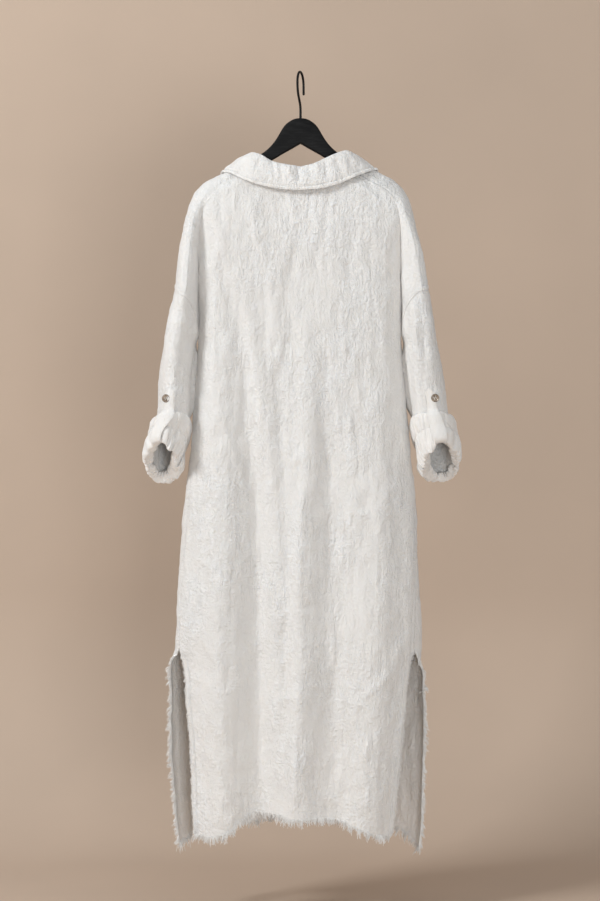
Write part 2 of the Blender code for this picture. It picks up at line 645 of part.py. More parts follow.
def shoulder_block(sections, side, first, last, top_drops):
    """Rows from the neckline to the sleeve's seam, over the arm's columns first to last."""
    stations = arm_stations()
    columns = []
    for column in range(first, last + 1):
        stretch, fraction = stations[column]
        low = armhole_drop(side, stretch, fraction)
        top = top_drops[column - first]
        drops = top + upper_shares() * (low - top)
        columns.append(sections.read("arm upper", side, column, drops))
    return np.stack(columns, axis=1)


def body_block(sections, face, side, top_drops):
    """The body between the neckline and the underarm's level, with its folds."""
    columns = []
    for column in range(BODY_COLUMNS + 1):
        drops = top_drops[column] + upper_shares() * (UNDERARM_DROP - top_drops[column])
        columns.append(sections.read(face + " upper", side, column, drops))
    points = np.stack(columns, axis=1)
    widths = np.interp(-points[..., 2], sections.upper_drops, sections.lattices[face + " upper", side][:, -1, 0])
    folds, sense = (BACK_FOLDS, 1.0) if face == "back" else (FRONT_FOLDS, -1.0)
    return folded(points, widths, folds, sense)


def hem_drop(hem, x):
    """The hem's drop at x."""
    rows = np.array(hem)
    return smooth(rows[:, 0], rows[:, 1], x)


def skirt_block(sections, face, side):
    """The body below the underarm's level, down to the hem, with its folds."""
    hem = BACK_HEM if face == "back" else FRONT_HEM
    above_slit = np.linspace(UNDERARM_DROP, SLIT_DROP, SIDE_ROWS + 1)
    below_slit = np.linspace(0.0, 1.0, SLIT_ROWS + 1)[1:]
    columns = []
    for column in range(BODY_COLUMNS + 1):
        end = 1450.0
        for _ in range(3):
            end = float(hem_drop(hem, sections.read(face + " lower", side, column, [end])[0, 0]))
        drops = np.concatenate([above_slit, SLIT_DROP + below_slit * (end - SLIT_DROP)])
        columns.append(sections.read(face + " lower", side, column, drops))
    points = np.stack(columns, axis=1)
    widths = np.interp(-points[..., 2], sections.lower_drops, sections.lattices[face + " lower", side][:, -1, 0])
    folds, sense = (BACK_FOLDS, 1.0) if face == "back" else (FRONT_FOLDS, -1.0)
    return folded(points, widths, folds, sense)


def lapped(blocks, other_blocks, sign, over):
    """The front's blocks with columns that follow the other front, lifted where it lies over it."""
    result = []
    for block, other in zip(blocks, other_blocks):
        extra = []
        for reach in (FRONT_LAP, 0.5 * FRONT_LAP):
            share = (reach / np.abs(other[:, 1, 0]))[:, None]
            extra.append((1 - share) * other[:, 0] + share * other[:, 1])
        wide = np.concatenate([np.stack(extra, axis=1), block], axis=1)
        if over:
            past = FRONT_LAP + LAP_RAMP - sign * wide[..., 0]
            wide[..., 1] -= LAP_LIFT * ease(past / LAP_RAMP)
        result.append(wide)
    return result


def garment_blocks(sections):
    """The mid-surface of each main piece, as blocks of rows and columns that run round to the left."""
    arm_end = len(arm_stations()) - 1
    seam = ARM_COLUMNS["back"]
    blocks = {"back": [], "front_left": [], "front_right": [], "sleeve_left": [], "sleeve_right": []}
    front_bodies = {}
    for side, _ in SIDES:
        tops = [neck_drop(sections, "front upper", side, column, "front") for column in range(BODY_COLUMNS + 1)]
        front_bodies[side] = [body_block(sections, "front", side, tops), skirt_block(sections, "front", side)]
    for side, sign in SIDES:
        other = "right" if side == "left" else "left"
        back_tops = [
            neck_drop(sections, "back upper", side, column, "back") for column in range(BODY_COLUMNS + 1)
        ]
        front_tops = [
            neck_drop(sections, "front upper", side, column, "front") for column in range(BODY_COLUMNS + 1)
        ]
        arm_back_tops = [
            neck_drop(sections, "arm upper", side, column, "back") for column in range(seam + 1)
        ]
        arm_front_tops = [arm_back_tops[-1]]
        arm_front_tops += [
            front_arm_neck(sections, side, column) for column in range(seam + 1, arm_end + 1)
        ]
        arm_front_tops[1] = 0.5 * (arm_back_tops[-1] + NECK_SIDE_DROP)
        arm_front_tops[ARM_COLUMNS["top"]] = NECK_SIDE_DROP
        arm_front_tops[-1] = front_tops[-1]
        arm_back_tops[0] = back_tops[-1]
        back_body = body_block(sections, "back", side, back_tops)
        back_skirt = skirt_block(sections, "back", side)
        back_arm = shoulder_block(sections, side, 0, seam, arm_back_tops)
        front_arm = shoulder_block(sections, side, seam, arm_end, arm_front_tops)
        body_blocks = lapped(front_bodies[side], front_bodies[other], sign, over=side == "right")
        front = body_blocks + [front_arm[:, ::-1]]
        back = [back_body[:, ::-1], back_skirt[:, ::-1], back_arm[:, ::-1]]
        if side == "right":
            front = [block[:, ::-1] for block in front]
            back = [block[:, ::-1] for block in back]
        blocks["front_" + side] = front
        blocks["back"] += back
        blocks["sleeve_" + side] = [sleeve_block(sections, side)]
    return blocks


SLEEVE_UPPER_ROWS = 5
SLEEVE_SWEEP_ROWS = 6
SLEEVE_END_WAY = 0.955


def sleeve_block(sections, side):
    """The sleeve from its seam to its rolled end, closed round on itself at the underarm seam."""
    stations = arm_stations()
    sign = 1.0 if side == "left" else -1.0
    columns = []
    ways = np.linspace(0.0, SLEEVE_END_WAY, SLEEVE_SWEEP_ROWS + 1)[1:]
    for column, (stretch, fraction) in enumerate(stations):
        at_seam = column in (0, len(stations) - 1)
        top = SLEEVE_TOP_AT_UNDERARM if at_seam else armhole_drop(side, stretch, fraction)
        drops = np.linspace(top, SLEEVE_LEVEL_DROP, SLEEVE_UPPER_ROWS + 1)
        above = sections.read("arm upper", side, column, np.minimum(drops, UNDERARM_DROP))
        below = sections.read("arm lower", side, column, np.maximum(drops, UNDERARM_DROP))
        level = np.where((drops < UNDERARM_DROP)[:, None], above, below)
        level[:, 2] = -drops
        swept = np.array([swept_point(sections, side, column, way) for way in ways])
        columns.append(np.concatenate([level, swept]))
    block = np.stack(columns, axis=1)
    return block[:, ::-1] if sign > 0 else block


def swept_point(sections, side, column, way):
    """A point of the sleeve's moved and tipped ring."""
    return swept_ring(sections, side, way)[column]


def swept_ring(sections, side, way):
    """One ring of the sleeve's end: the last level ring, scaled, tipped and carried along."""
    sign = 1.0 if side == "left" else -1.0
    base = sections.lattices["arm lower", side][-1]
    start = sections.sweep
    value = {
        name: float(smooth(start["way"], start[name], way)) for name in SWEEP_COLUMNS if name != "way"
    }
    first_x = start["x_" + side][0]
    flat_x = (base[:, 0] - first_x) * value["wide"]
    flat_y = (base[:, 1] - start["y"][0]) * value["deep"]
    tip = math.radians(value["tip"])
    lean = math.radians(value["lean"])
    across = np.array([math.cos(lean), 0.0, math.sin(lean)])
    back = np.array([-math.sin(tip) * math.sin(lean), math.cos(tip), math.sin(tip) * math.cos(lean)])
    centre = np.array([value["x_" + side], value["y"], -value["drop"]])
    ring = centre + flat_x[:, None] * across + flat_y[:, None] * back
    ring[:, 0] *= sign
    return ring


def key(point):
    """The point's place, rounded so that shared points match."""
    return tuple(np.round(point, 3) + 0.0)


def joined_normals(all_blocks):
    """The outward direction at each point of the whole garment's mid-surface."""
    total = {}
    for blocks in all_blocks:
        for block in blocks:
            down = block[1:, :-1] - block[:-1, 1:]
            across = block[1:, 1:] - block[:-1, :-1]
            faces = np.cross(down, across)
            faces = faces / np.maximum(np.linalg.norm(faces, axis=-1, keepdims=True), 1e-9)
            for row in range(faces.shape[0]):
                for column in range(faces.shape[1]):
                    for i, j in ((0, 0), (0, 1), (1, 0), (1, 1)):
                        place = key(block[row + i, column + j])
                        total[place] = total.get(place, 0.0) + faces[row, column]
    normals = {place: value / max(np.linalg.norm(value), 1e-9) for place, value in total.items()}
    for place in normals:
        if abs(place[2] + UNDERARM_DROP) < 0.01 and abs(place[1]) < 2.0 and 190.0 < abs(place[0]) < 197.0:
            across = math.copysign(UNDERARM_TILT, place[0])
            along_y = math.copysign(math.sqrt(1.0 - UNDERARM_TILT**2), place[1])
            normals[place] = np.array([across, along_y, 0.0])
    return normals


class Wall:
    """A closed cloth wall about a mid-surface of joined blocks."""

    def __init__(self, blocks, normals, thickness=CLOTH, gap=SEAM_GAP):
        self.thickness = thickness
        self.gap = gap
        self.index = {}
        self.points = []
        self.normals = []
        self.quads = []
        for block in blocks:
            self.add(block, normals)

    def place(self, point, normals):
        """The number of a mid-surface point, added if it is new."""
        name = key(point)
        if name not in self.index:
            self.index[name] = len(self.points)
            self.points.append(np.array(point))
            self.normals.append(normals[name])
        return self.index[name]

    def add(self, block, normals):
        """Adds a block's faces, leaving out corners that coincide."""
        rows, columns = block.shape[:2]
        numbers = [[self.place(block[r, c], normals) for c in range(columns)] for r in range(rows)]
        for r in range(rows - 1):
            for c in range(columns - 1):
                corners = [numbers[r][c], numbers[r + 1][c], numbers[r + 1][c + 1], numbers[r][c + 1]]
                face = [n for i, n in enumerate(corners) if n != corners[i - 1]]
                if len(face) > 2:
                    self.quads.append(face)

    @staticmethod
    def split(face, middle):
        """A quad as two triangles along its shorter diagonal, the same one on both sides of the wall."""
        if len(face) == 3:
            return [list(face)]
        a, b, c, d = face
        if np.linalg.norm(middle[a] - middle[c]) <= np.linalg.norm(middle[b] - middle[d]):
            return [[a, b, c], [a, c, d]]
        return [[a, b, d], [b, c, d]]

    def rim(self):
        """The open edges, each from its first to its second point as its face runs."""
        edges = {}
        for number, face in enumerate(self.quads):
            for i, a in enumerate(face):
                edges[(a, face[(i + 1) % len(face)])] = number
        return {edge: number for edge, number in edges.items() if (edge[1], edge[0]) not in edges}

    def trim(self, rim):
        """Draws the open edges back into the piece by half of the seam's gap."""
        inward = {}
        for (a, b), number in rim.items():
            face = self.quads[number]
            centre = np.mean([self.points[n] for n in face], axis=0)
            line = self.points[b] - self.points[a]
            line = line / max(np.linalg.norm(line), 1e-9)
            to_centre = centre - 0.5 * (self.points[a] + self.points[b])
            to_centre = to_centre - line * np.dot(line, to_centre)
            to_centre = to_centre / max(np.linalg.norm(to_centre), 1e-9)
            for n in (a, b):
                inward.setdefault(n, []).append(to_centre)
        for n, directions in inward.items():
            total = np.sum(directions, axis=0)
            if len(directions) == 2:
                total = total / max(1.0 + np.dot(directions[0], directions[1]), 0.6)
            self.points[n] = self.points[n] + total * 0.5 * self.gap

    def build(self):
        """The wall's points, in metres, and its faces."""
        rim = self.rim()
        self.trim(rim)
        middle = np.array(self.points)
        normal = np.array(self.normals) * 0.5 * self.thickness
        count = len(middle)
        points = np.concatenate([middle + normal, middle - normal]) * MM
        faces = [part for face in self.quads for part in self.split(face, middle)]
        faces += [[n + count for n in reversed(face)] for face in faces]
        faces += [[b, a, a + count, b + count] for a, b in rim]
        return points, faces


def material(name, colour, roughness, metallic=0.0):
    """A plain Principled material."""
    made = bpy.data.materials.new(name)
    made.use_nodes = True
    shader = made.node_tree.nodes["Principled BSDF"]
    shader.inputs["Base Color"].default_value = (*colour, 1.0)
    shader.inputs["Roughness"].default_value = roughness
    shader.inputs["Metallic"].default_value = metallic
    return made


def add_object(name, points, faces, finish, smooth_angle=40.0):
    """A named object from points in metres and faces, facing out."""
    mesh = bpy.data.meshes.new(name)
    mesh.from_pydata([tuple(map(float, p)) for p in points], [], [list(map(int, f)) for f in faces])
    work = bmesh.new()
    work.from_mesh(mesh)
    bmesh.ops.recalc_face_normals(work, faces=work.faces)
    work.to_mesh(mesh)
    work.free()
    mesh.shade_smooth()
    mesh.set_sharp_from_angle(angle=math.radians(smooth_angle))
    mesh.materials.append(finish)
    obj = bpy.data.objects.new(name, mesh)
    bpy.context.scene.collection.objects.link(obj)
    return obj


def clear_scene():
    """Removes what the scene starts with."""
    for obj in list(bpy.data.objects):
        bpy.data.objects.remove(obj, do_unlink=True)


def surface_y(sections, face, side, x, drop):
    """The mid-surface's y on one face of the upper dress, at a distance from the middle and a drop."""
    level = int(np.clip(np.searchsorted(sections.upper_drops, drop), 1, len(sections.upper_drops) - 1))
    low, high = sections.upper_drops[level - 1], sections.upper_drops[level]
    share = float(np.clip((drop - low) / (high - low), 0.0, 1.0))
    body = sections.lattices[face + " upper", side]
    arm = sections.lattices["arm upper", side]
    seam, ridge = ARM_COLUMNS["back"], ARM_COLUMNS["back"] + ARM_COLUMNS["top"]
    arm_part = arm[:, : ridge + 1] if face == "back" else arm[:, :ridge - 1 : -1]
    line = np.concatenate([body, arm_part[:, 1:]], axis=1)
    line = (1 - share) * line[level - 1] + share * line[level]
    return float(np.interp(x, line[:, 0], line[:, 1]))


def neckline(blocks, side):
    """The neck edge from the middle of the back to the front end, in the order it runs."""
    upper_back, _, arm_back = blocks["back"][:3] if side == "left" else blocks["back"][3:]
    upper_front, _, arm_front = blocks["front_" + side]
    rows = [upper_back[0], arm_back[0], arm_front[0], upper_front[0]]
    if side == "left":
        rows = [rows[0][::-1], rows[1][::-1], rows[2][::-1], rows[3][::-1]]
    back = np.concatenate([rows[0], rows[1][1:]])
    front = np.concatenate([rows[2], rows[3][1:]])
    ridge = ARM_COLUMNS["top"]
    back = np.concatenate([back, front[1 : ridge + 1]])
    past = np.abs(front[:, 0]) > FRONT_LAP - 0.5
    inside = front[:, 0] * (1.0 if side == "left" else -1.0) > 0
    keep = past & inside
    return back, front[ridge:][keep[ridge:]]


def collar_stations(sections, blocks):
    """For each station round the neck: its base on the neckline, its roll and its outer edge."""
    stations = []
    for side, sign in SIDES:
        rows = table(COLLAR_COLUMNS, COLLAR[side])
        back, front = neckline(blocks, side)
        for way in COLLAR_WAYS:
            v = {name: float(smooth(rows["way"], rows[name], way)) for name in COLLAR_COLUMNS}
            if way <= 0.5:
                base = along(back, [way / 0.5])[0]
            else:
                base = along(front, [(way - 0.5) / 0.5])[0]
            face, sense = ("back", 1.0) if way <= 0.5 else ("front", -1.0)
            edge_y = surface_y(sections, face, side, v["edge_x"], v["edge_drop"])
            near_ridge = ease(abs(way - 0.5) / 0.06)
            edge_y += sense * v["stand_off"] * near_ridge
            roll = np.array([sign * v["roll_x"], v["roll_y"], -v["roll_drop"]])
            edge = np.array([sign * v["edge_x"], edge_y, -v["edge_drop"]])
            if side == "right" or way > 0.0:
                stations.append((sign * way, base, roll, edge, v["puff"]))
    return sorted(stations, key=lambda station: station[0])


def collar_blocks(sections, blocks):
    """The mid-surfaces of the collar's stand and of its fall, which meet along the roll."""
    stations = collar_stations(sections, blocks)
    rolls = np.array([station[2] for station in stations])
    tangents = np.gradient(rolls, axis=0)
    stand, fall = [], []
    for (way, base, roll, edge, puff), tangent in zip(stations, tangents):
        rise = (roll - base) / max(np.linalg.norm(roll - base), 1e-9)
        clear = STAND_BASE_GAP + STAND_FRONT_GAP * ease((abs(way) - 0.44) / 0.1)
        low = base + rise * clear
        stand.append([(1 - t) * roll + t * low for t in np.linspace(0.0, 1.0, STAND_ROWS + 1)])
        line = edge - roll
        bulge = np.cross(tangent, line)
        bulge = bulge / np.linalg.norm(bulge)
        fall.append(
            [roll + t * line + bulge * puff * math.sin(math.pi * t**0.62) for t in FALL_STEPS]
        )
    stand = np.array(stand).transpose(1, 0, 2)
    fall = np.array(fall).transpose(1, 0, 2)
    return stand, fall


class SleeveEnd:
    """The sleeve's swept end, read at any place round it, along it and off its surface."""

    def __init__(self, sections, side):
        self.sections = sections
        self.side = side
        self.count = len(arm_stations()) - 1

    def ring(self, way):
        """The ring's points at each half column, rounded out between the sleeve's own columns."""
        if way <= 1.0:
            points = swept_ring(self.sections, self.side, max(way, 0.0))
        else:
            last = swept_ring(self.sections, self.side, 1.0)
            before = swept_ring(self.sections, self.side, 0.94)
            points = last + (last - before) * (way - 1.0) / 0.06
        points = points[:-1]
        ahead, behind, next_ahead = np.roll(points, -1, 0), np.roll(points, 1, 0), np.roll(points, -2, 0)
        between = (9.0 * (points + ahead) - behind - next_ahead) / 16.0
        result = np.empty((2 * self.count, 3))
        result[0::2] = points
        result[1::2] = between
        return result

    def normals(self, way):
        """Outward directions at each half column."""
        step = 0.02
        here, above, below = self.ring(way), self.ring(way - step), self.ring(way + step)
        around = np.roll(here, -1, 0) - np.roll(here, 1, 0)
        down = below - above
        out = np.cross(around, down) if self.side == "left" else np.cross(down, around)
        out = out / np.linalg.norm(out, axis=1, keepdims=True)
        centre = here.mean(axis=0)
        return out * np.sign(np.sum(out * (here - centre), axis=1, keepdims=True))

    def at(self, column, way, off):
        """A point at a column, which may lie between columns, off the surface."""
        ring, out = self.ring(way), self.normals(way)
        position = (2.0 * column) % (2 * self.count)
        low = int(math.floor(position))
        share = position - low
        high = (low + 1) % (2 * self.count)
        place = (1 - share) * ring[low] + share * ring[high]
        normal = (1 - share) * out[low] + share * out[high]
        return place + normal / np.linalg.norm(normal) * off, normal / np.linalg.norm(normal)


def cuff_mesh(end):
    """The rolled cuff: its outline carried round the sleeve's end."""
    columns = 2 * end.count
    points, faces = [], []
    size = len(CUFF_PROFILE)
    for column in range(columns):
        inside = 0.5 + 0.5 * math.cos(2 * math.pi * column / columns)
        slim = 1.0 - (1.0 - CUFF_SLIM_INSIDE) * inside**2
        for way, off in CUFF_PROFILE:
            off = 1.4 + (off - 1.4) * slim if off > 1.4 else off
            points.append(end.at(0.5 * column, way, off)[0])
    for column in range(columns):
        ahead = (column + 1) % columns
        for i in range(size):
            j = (i + 1) % size
            a, b = column * size + i, column * size + j
            c, d = ahead * size + j, ahead * size + i
            faces += [[a, b, c], [a, c, d]]
    return np.array(points) * MM, faces


def tab_block(end):
    """The mid-surface of the roll tab, pointed at its upper end."""
    first, last = TAB_COLUMN[end.side]
    rows = []
    for number, (way, off) in enumerate(TAB_PROFILE):
        middle = first + (last - first) * float(ease((way - 0.4) / 0.6))
        row = []
        for reach in (-1.0, 0.0, 1.0):
            tip = 0.045 * abs(reach) if number == 0 else 0.0
            narrow = 0.62 if number == 0 else 1.0
            place, _ = end.at(middle + narrow * reach * TAB_HALF_COLUMNS, way + tip, off)
            row.append(place)
        rows.append(row)
    block = np.array(rows)
    return block[:, ::-1] if end.side == "left" else block


def disc(centre, normal, radius, thickness, sides=12):
    """A button: a round plate with a raised rim and a dished middle."""
    normal = normal / np.linalg.norm(normal)
    upright = np.array([0.0, 0.0, 1.0])
    across = np.cross(upright, normal)
    across = across / np.linalg.norm(across)
    other = np.cross(normal, across)
    rings = ((0.94, -0.5), (1.0, -0.15), (0.97, 0.36), (0.84, 0.5), (0.62, 0.2))
    points = [centre - normal * 0.5 * thickness]
    for reach, height in rings:
        for k in range(sides):
            angle = 2 * math.pi * (k + 0.5) / sides
            spoke = across * math.cos(angle) + other * math.sin(angle)
            points.append(centre + spoke * radius * reach + normal * height * thickness)
    points.append(centre + normal * 0.15 * thickness)
    faces = []
    for k in range(sides):
        ahead = (k + 1) % sides
        faces.append([0, 1 + ahead, 1 + k])
        for ring in range(len(rings) - 1):
            a, b = 1 + ring * sides + k, 1 + ring * sides + ahead
            faces.append([a, b, b + sides, a + sides])
        top = 1 + (len(rings) - 1) * sides
        faces.append([top + k, top + ahead, len(points) - 1])
    return np.array(points) * MM, faces


def hanger_profile(blocks):
    """Stations of the wooden hanger: distance from the middle, top and bottom drops."""
    neck = table(HANGER_COLUMNS, HANGER_NECK)
    sides = {}
    for side, sign in SIDES:
        rows = list(zip(neck["x"], neck["top"], neck["bottom"]))
        arm = blocks["front_" + side][2]
        if side == "left":
            arm = arm[:, ::-1]
        ridge = arm[:, ARM_COLUMNS["top"]]
        reach = sign * ridge[:, 0]
        for x in (100.0, 111.0, *reach[1:4], HANGER_END_X - 5.0):
            if x < HANGER_END_X - 4.0:
                top = float(np.interp(x, reach, -ridge[:, 2])) + HANGER_UNDER_RIDGE
                rows.append((float(x), top, 136.0 + HANGER_BOTTOM_SLOPE * x))
        rows.sort()
        last_top = rows[-1][1]
        rows.append((HANGER_END_X, last_top + 8.0, 136.0 + HANGER_BOTTOM_SLOPE * HANGER_END_X - 8.0))
        sides[side] = rows
    return sides


def hanger_mesh(blocks):
    """The hanger's wooden body with eased edges, swept a little forward at its ends."""
    sides = hanger_profile(blocks)
    stations = [(-x, t, b) for x, t, b in reversed(sides["right"][1:])]
    stations += [(x, t, b) for x, t, b in sides["left"]]
    points, faces = [], []
    for x, top, bottom in stations:
        half = HANGER_HALF_THICKNESS + 1.9 * max(0.0, 1.0 - abs(x) / 34.0)
        flat = 0.46 * half if abs(x) < 70.0 else 0.3 * half
        upper, lower = (4.2, 4.2) if abs(x) < 70.0 else (2.4, 4.2)
        if abs(x) > HANGER_END_X - 1.0:
            half, flat, upper, lower = 3.6, 1.6, 3.0, 3.0
        middle = -HANGER_SWEEP * abs(x)
        section = [
            (flat, top), (half, top + upper), (half, bottom - lower), (flat, bottom),
            (-flat, bottom), (-half, bottom - lower), (-half, top + upper), (-flat, top),
        ]
        points += [(x, middle + y, -drop) for y, drop in section]
    size = 8
    for i in range(len(stations) - 1):
        for k in range(size):
            a, b = i * size + k, i * size + (k + 1) % size
            faces.append([a, b, b + size, a + size])
    faces.append(list(range(size)))
    faces.append([len(points) - 1 - k for k in range(size)])
    return np.array(points) * MM, faces


def hook_path():
    """The middle line of the hook's wire, from inside the hanger over the top to its free tip."""
    radius = HOOK_INNER_RADIUS + 0.5 * HOOK_WIRE
    centre = HOOK_INNER_RADIUS
    plan = [(0.0, 101.0), (0.0, 88.0), (0.0, 70.0), (3.0, 61.0), (10.5, 51.5), (17.5, 42.5), (21.6, 32.0)]
    for degrees in range(0, 181, 18):
        angle = math.radians(degrees)
        plan.append((radius * math.cos(angle), centre - radius * math.sin(angle)))
    plan += [(-radius - 0.2, 31.0), (-radius - 0.8, 38.5)]
    turn = np.array([math.sin(HOOK_TURN), math.cos(HOOK_TURN)])
    return [(reach * turn[0], reach * turn[1], -drop) for reach, drop in plan]


def tube_mesh(path, radius, sides):
    """A round wire along a path that stays in one upright plane."""
    path = np.array(path)
    side_way = np.array([math.cos(HOOK_TURN), -math.sin(HOOK_TURN), 0.0])
    points, faces = [], []
    for i, place in enumerate(path):
        before = path[max(i - 1, 0)]
        after = path[min(i + 1, len(path) - 1)]
        along_way = (after - before) / np.linalg.norm(after - before)
        up = np.cross(side_way, along_way)
        for k in range(sides):
            angle = 2 * math.pi * (k + 0.5) / sides
            points.append(place + radius * (math.cos(angle) * side_way + math.sin(angle) * up))
    for i in range(len(path) - 1):
        for k in range(sides):
            a, b = i * sides + k, i * sides + (k + 1) % sides
            faces.append([a, b, b + sides, a + sides])
    faces.append([k for k in range(sides)])
    faces.append([len(points) - 1 - k for k in range(sides)])
    return np.array(points) * MM, faces


def fringe_mesh(edge, away, reach, count, lengths, thickness, seed, sway):
    """Locks of loose threads whose roots join in a narrow strip along an edge."""
    rng = np.random.default_rng(seed)
    steps = rng.uniform(0.7, 1.3, 2 * count + 1)
    steps[0] = steps[-1] = 0.6
    places = np.concatenate([[0.0], np.cumsum(steps)])
    fractions = places / places[-1]
    fractions = snapped(edge, reach[0] + (reach[1] - reach[0]) * fractions)
    line = along(edge, fractions)
    out = along_vectors(edge, away, fractions)
    run = np.gradient(line, axis=0)
    run = run / np.linalg.norm(run, axis=1, keepdims=True)
    side = np.cross(run, out)
    side = side / np.linalg.norm(side, axis=1, keepdims=True)
    ridge = line + out * (0.5 * SEAM_GAP)
    front = line + out * (0.5 * SEAM_GAP + 1.5) + side * 0.5 * thickness
    back = line + out * (0.5 * SEAM_GAP + 1.5) - side * 0.5 * thickness
    number = len(line)
    points = list(np.concatenate([ridge, front, back]))
    faces = []
    for i in range(number - 1):
        j = i + 1
        faces.append([i, j, number + j, number + i])
        faces.append([j, i, 2 * number + i, 2 * number + j])
        if i % 2 == 0:
            faces.append([number + i, number + j, 2 * number + j, 2 * number + i])
            continue
        root = 0.25 * (front[i] + front[j] + back[i] + back[j])
        length = rng.uniform(*lengths)
        lean = run[i] * rng.normal(0.0, sway) + side[i] * rng.normal(0.0, 0.5 * sway)
        droop = np.array([0.0, 0.0, -1.0]) * rng.uniform(0.2, 0.5)
        way = out[i] + lean + droop
        tip = root + way / np.linalg.norm(way) * length
        points.append(tip)
        top = len(points) - 1
        corners = [number + i, number + j, 2 * number + j, 2 * number + i]
        for k in range(4):
            faces.append([corners[k], corners[(k + 1) % 4], top])
    faces.append([0, number, 2 * number])
    faces.append([number - 1, 3 * number - 1, 2 * number - 1])
    return np.array(points) * MM, faces


def snapped(edge, fractions):
    """The fractions with the one nearest to each corner of the edge moved onto it."""
    length = np.concatenate([[0.0], np.cumsum(np.linalg.norm(np.diff(edge, axis=0), axis=1))])
    fractions = fractions.copy()
    for corner in length[1:-1] / length[-1]:
        if fractions[0] < corner < fractions[-1]:
            fractions[1 + int(np.argmin(np.abs(fractions[1:-1] - corner)))] = corner
    return fractions


def along_vectors(edge, vectors, fractions):
    """Directions at fractions of an edge's length."""
    length = np.concatenate([[0.0], np.cumsum(np.linalg.norm(np.diff(edge, axis=0), axis=1))])
    wanted = np.asarray(fractions) * length[-1]
    found = np.stack([np.interp(wanted, length, vectors[:, axis]) for axis in range(3)], axis=1)
    return found / np.linalg.norm(found, axis=1, keepdims=True)


def away_from(edge, inner):
    """At each point of an edge, the direction that leaves the cloth square to the edge."""
    run = np.gradient(edge, axis=0)
    run = run / np.linalg.norm(run, axis=1, keepdims=True)
    out = edge - inner
    out = out - run * np.sum(out * run, axis=1, keepdims=True)
    return out / np.linalg.norm(out, axis=1, keepdims=True)


def build_cloth(sections, linen):
    """The back, the fronts and the sleeves."""
    blocks = garment_blocks(sections)
    normals = joined_normals(blocks.values())
    for name, pieces in blocks.items():
        points, faces = Wall(pieces, normals).build()
        add_object(name, points, faces, linen)
    return blocks


def build_collar(sections, blocks, linen):
    """The stand and the fall."""
    stand, fall = collar_blocks(sections, blocks)
    normals = joined_normals([[stand[::-1], fall]])
    for name, block in (("collar_stand", stand[::-1]), ("collar", fall)):
        points, faces = Wall([block], normals).build()
        add_object(name, points, faces, linen)


def build_sleeve_ends(sections, linen, horn):
    """The rolled cuffs, the tabs over them and the tabs' buttons."""
    for side, _ in SIDES:
        end = SleeveEnd(sections, side)
        points, faces = cuff_mesh(end)
        add_object("cuff_" + side, points, faces, linen)
        block = tab_block(end)
        points, faces = Wall([block], joined_normals([[block]]), gap=0.0).build()
        add_object("tab_" + side, points, faces, linen)
        above, below = block[TAB_BUTTON_ROWS[0]], block[TAB_BUTTON_ROWS[1]]
        centre = (1 - TAB_BUTTON_SHARE) * above[1] + TAB_BUTTON_SHARE * below[1]
        normal = np.cross(below[1] - above[1], above[2] - above[0])
        normal = normal / np.linalg.norm(normal)
        centre = centre + normal * (0.5 * CLOTH + 0.5 + 0.5 * BUTTON_THICKNESS)
        points, faces = disc(centre, normal, BUTTON_RADIUS, BUTTON_THICKNESS)
        add_object("button_tab_" + side, points, faces, horn)


def build_front_buttons(blocks, horn):
    """The buttons down the right front, which laps over the left."""
    body, skirt, _ = blocks["front_right"]
    column = 2 if abs(body[0, 2, 0]) < abs(body[0, -3, 0]) else body.shape[1] - 3
    block = np.concatenate([body, skirt[1:]])
    line = block[:, column]
    for number, drop in enumerate(BUTTON_DROPS, start=1):
        y = np.interp([drop - 8.0, drop, drop + 8.0], -line[:, 2], line[:, 1])
        normal = np.array([0.0, -16.0, y[0] - y[2]])
        near = [
            np.interp(drop, -block[:, c, 2], block[:, c, 1])
            for c in range(column - 1, column + 2)
        ]
        share = BUTTON_RADIUS / max(abs(block[0, column - 1, 0]), abs(block[0, column + 1, 0]))
        outermost = min(near[1], near[1] + min(share, 1.0) * (near[2] - near[1]), near[0])
        lift = 0.5 * CLOTH + 0.5 + 0.5 * BUTTON_THICKNESS
        centre = np.array([0.0, outermost - lift, -drop])
        points, faces = disc(centre, normal, BUTTON_RADIUS, BUTTON_THICKNESS, sides=10)
        add_object(f"button_front_{number}", points, faces, horn)


def build_fringe(blocks, thread):
    """The frayed hems and slit edges."""
    back_left, back_right = blocks["back"][1], blocks["back"][4]
    hem = np.concatenate([back_left[-1], back_right[-1][1:]])
    inner = np.concatenate([back_left[-2], back_right[-2][1:]])
    made = [("fringe_hem_back", hem, inner, HEM_REACH, 48, (9.0, 15.0), 1, 0.35)]
    rows = SIDE_ROWS
    for number, (side, _) in enumerate(SIDES):
        skirt = blocks["front_" + side][1]
        made.append((f"fringe_hem_front_{side}", skirt[-1], skirt[-2], HEM_REACH, 28, (9.0, 15.0), 3 + number, 0.35))
        outer = -1 if side == "left" else 0
        near = -2 if side == "left" else 1
        edge, inside = skirt[rows:, outer], skirt[rows:, near]
        made.append((f"fringe_slit_front_{side}", edge, inside, SLIT_REACH, 32, (4.0, 8.0), 5 + number, 0.3))
        skirt = back_left if side == "left" else back_right
        outer = 0 if side == "left" else -1
        near = 1 if side == "left" else -2
        edge, inside = skirt[rows:, outer], skirt[rows:, near]
        made.append((f"fringe_slit_back_{side}", edge, inside, SLIT_REACH, 14, (3.0, 5.0), 7 + number, 0.3))
    for name, edge, inside, reach, count, lengths, seed, sway in made:
        away = away_from(edge, inside)
        points, faces = fringe_mesh(edge, away, reach, count, lengths, 1.2, seed, sway)
        add_object(name, points, faces, thread)


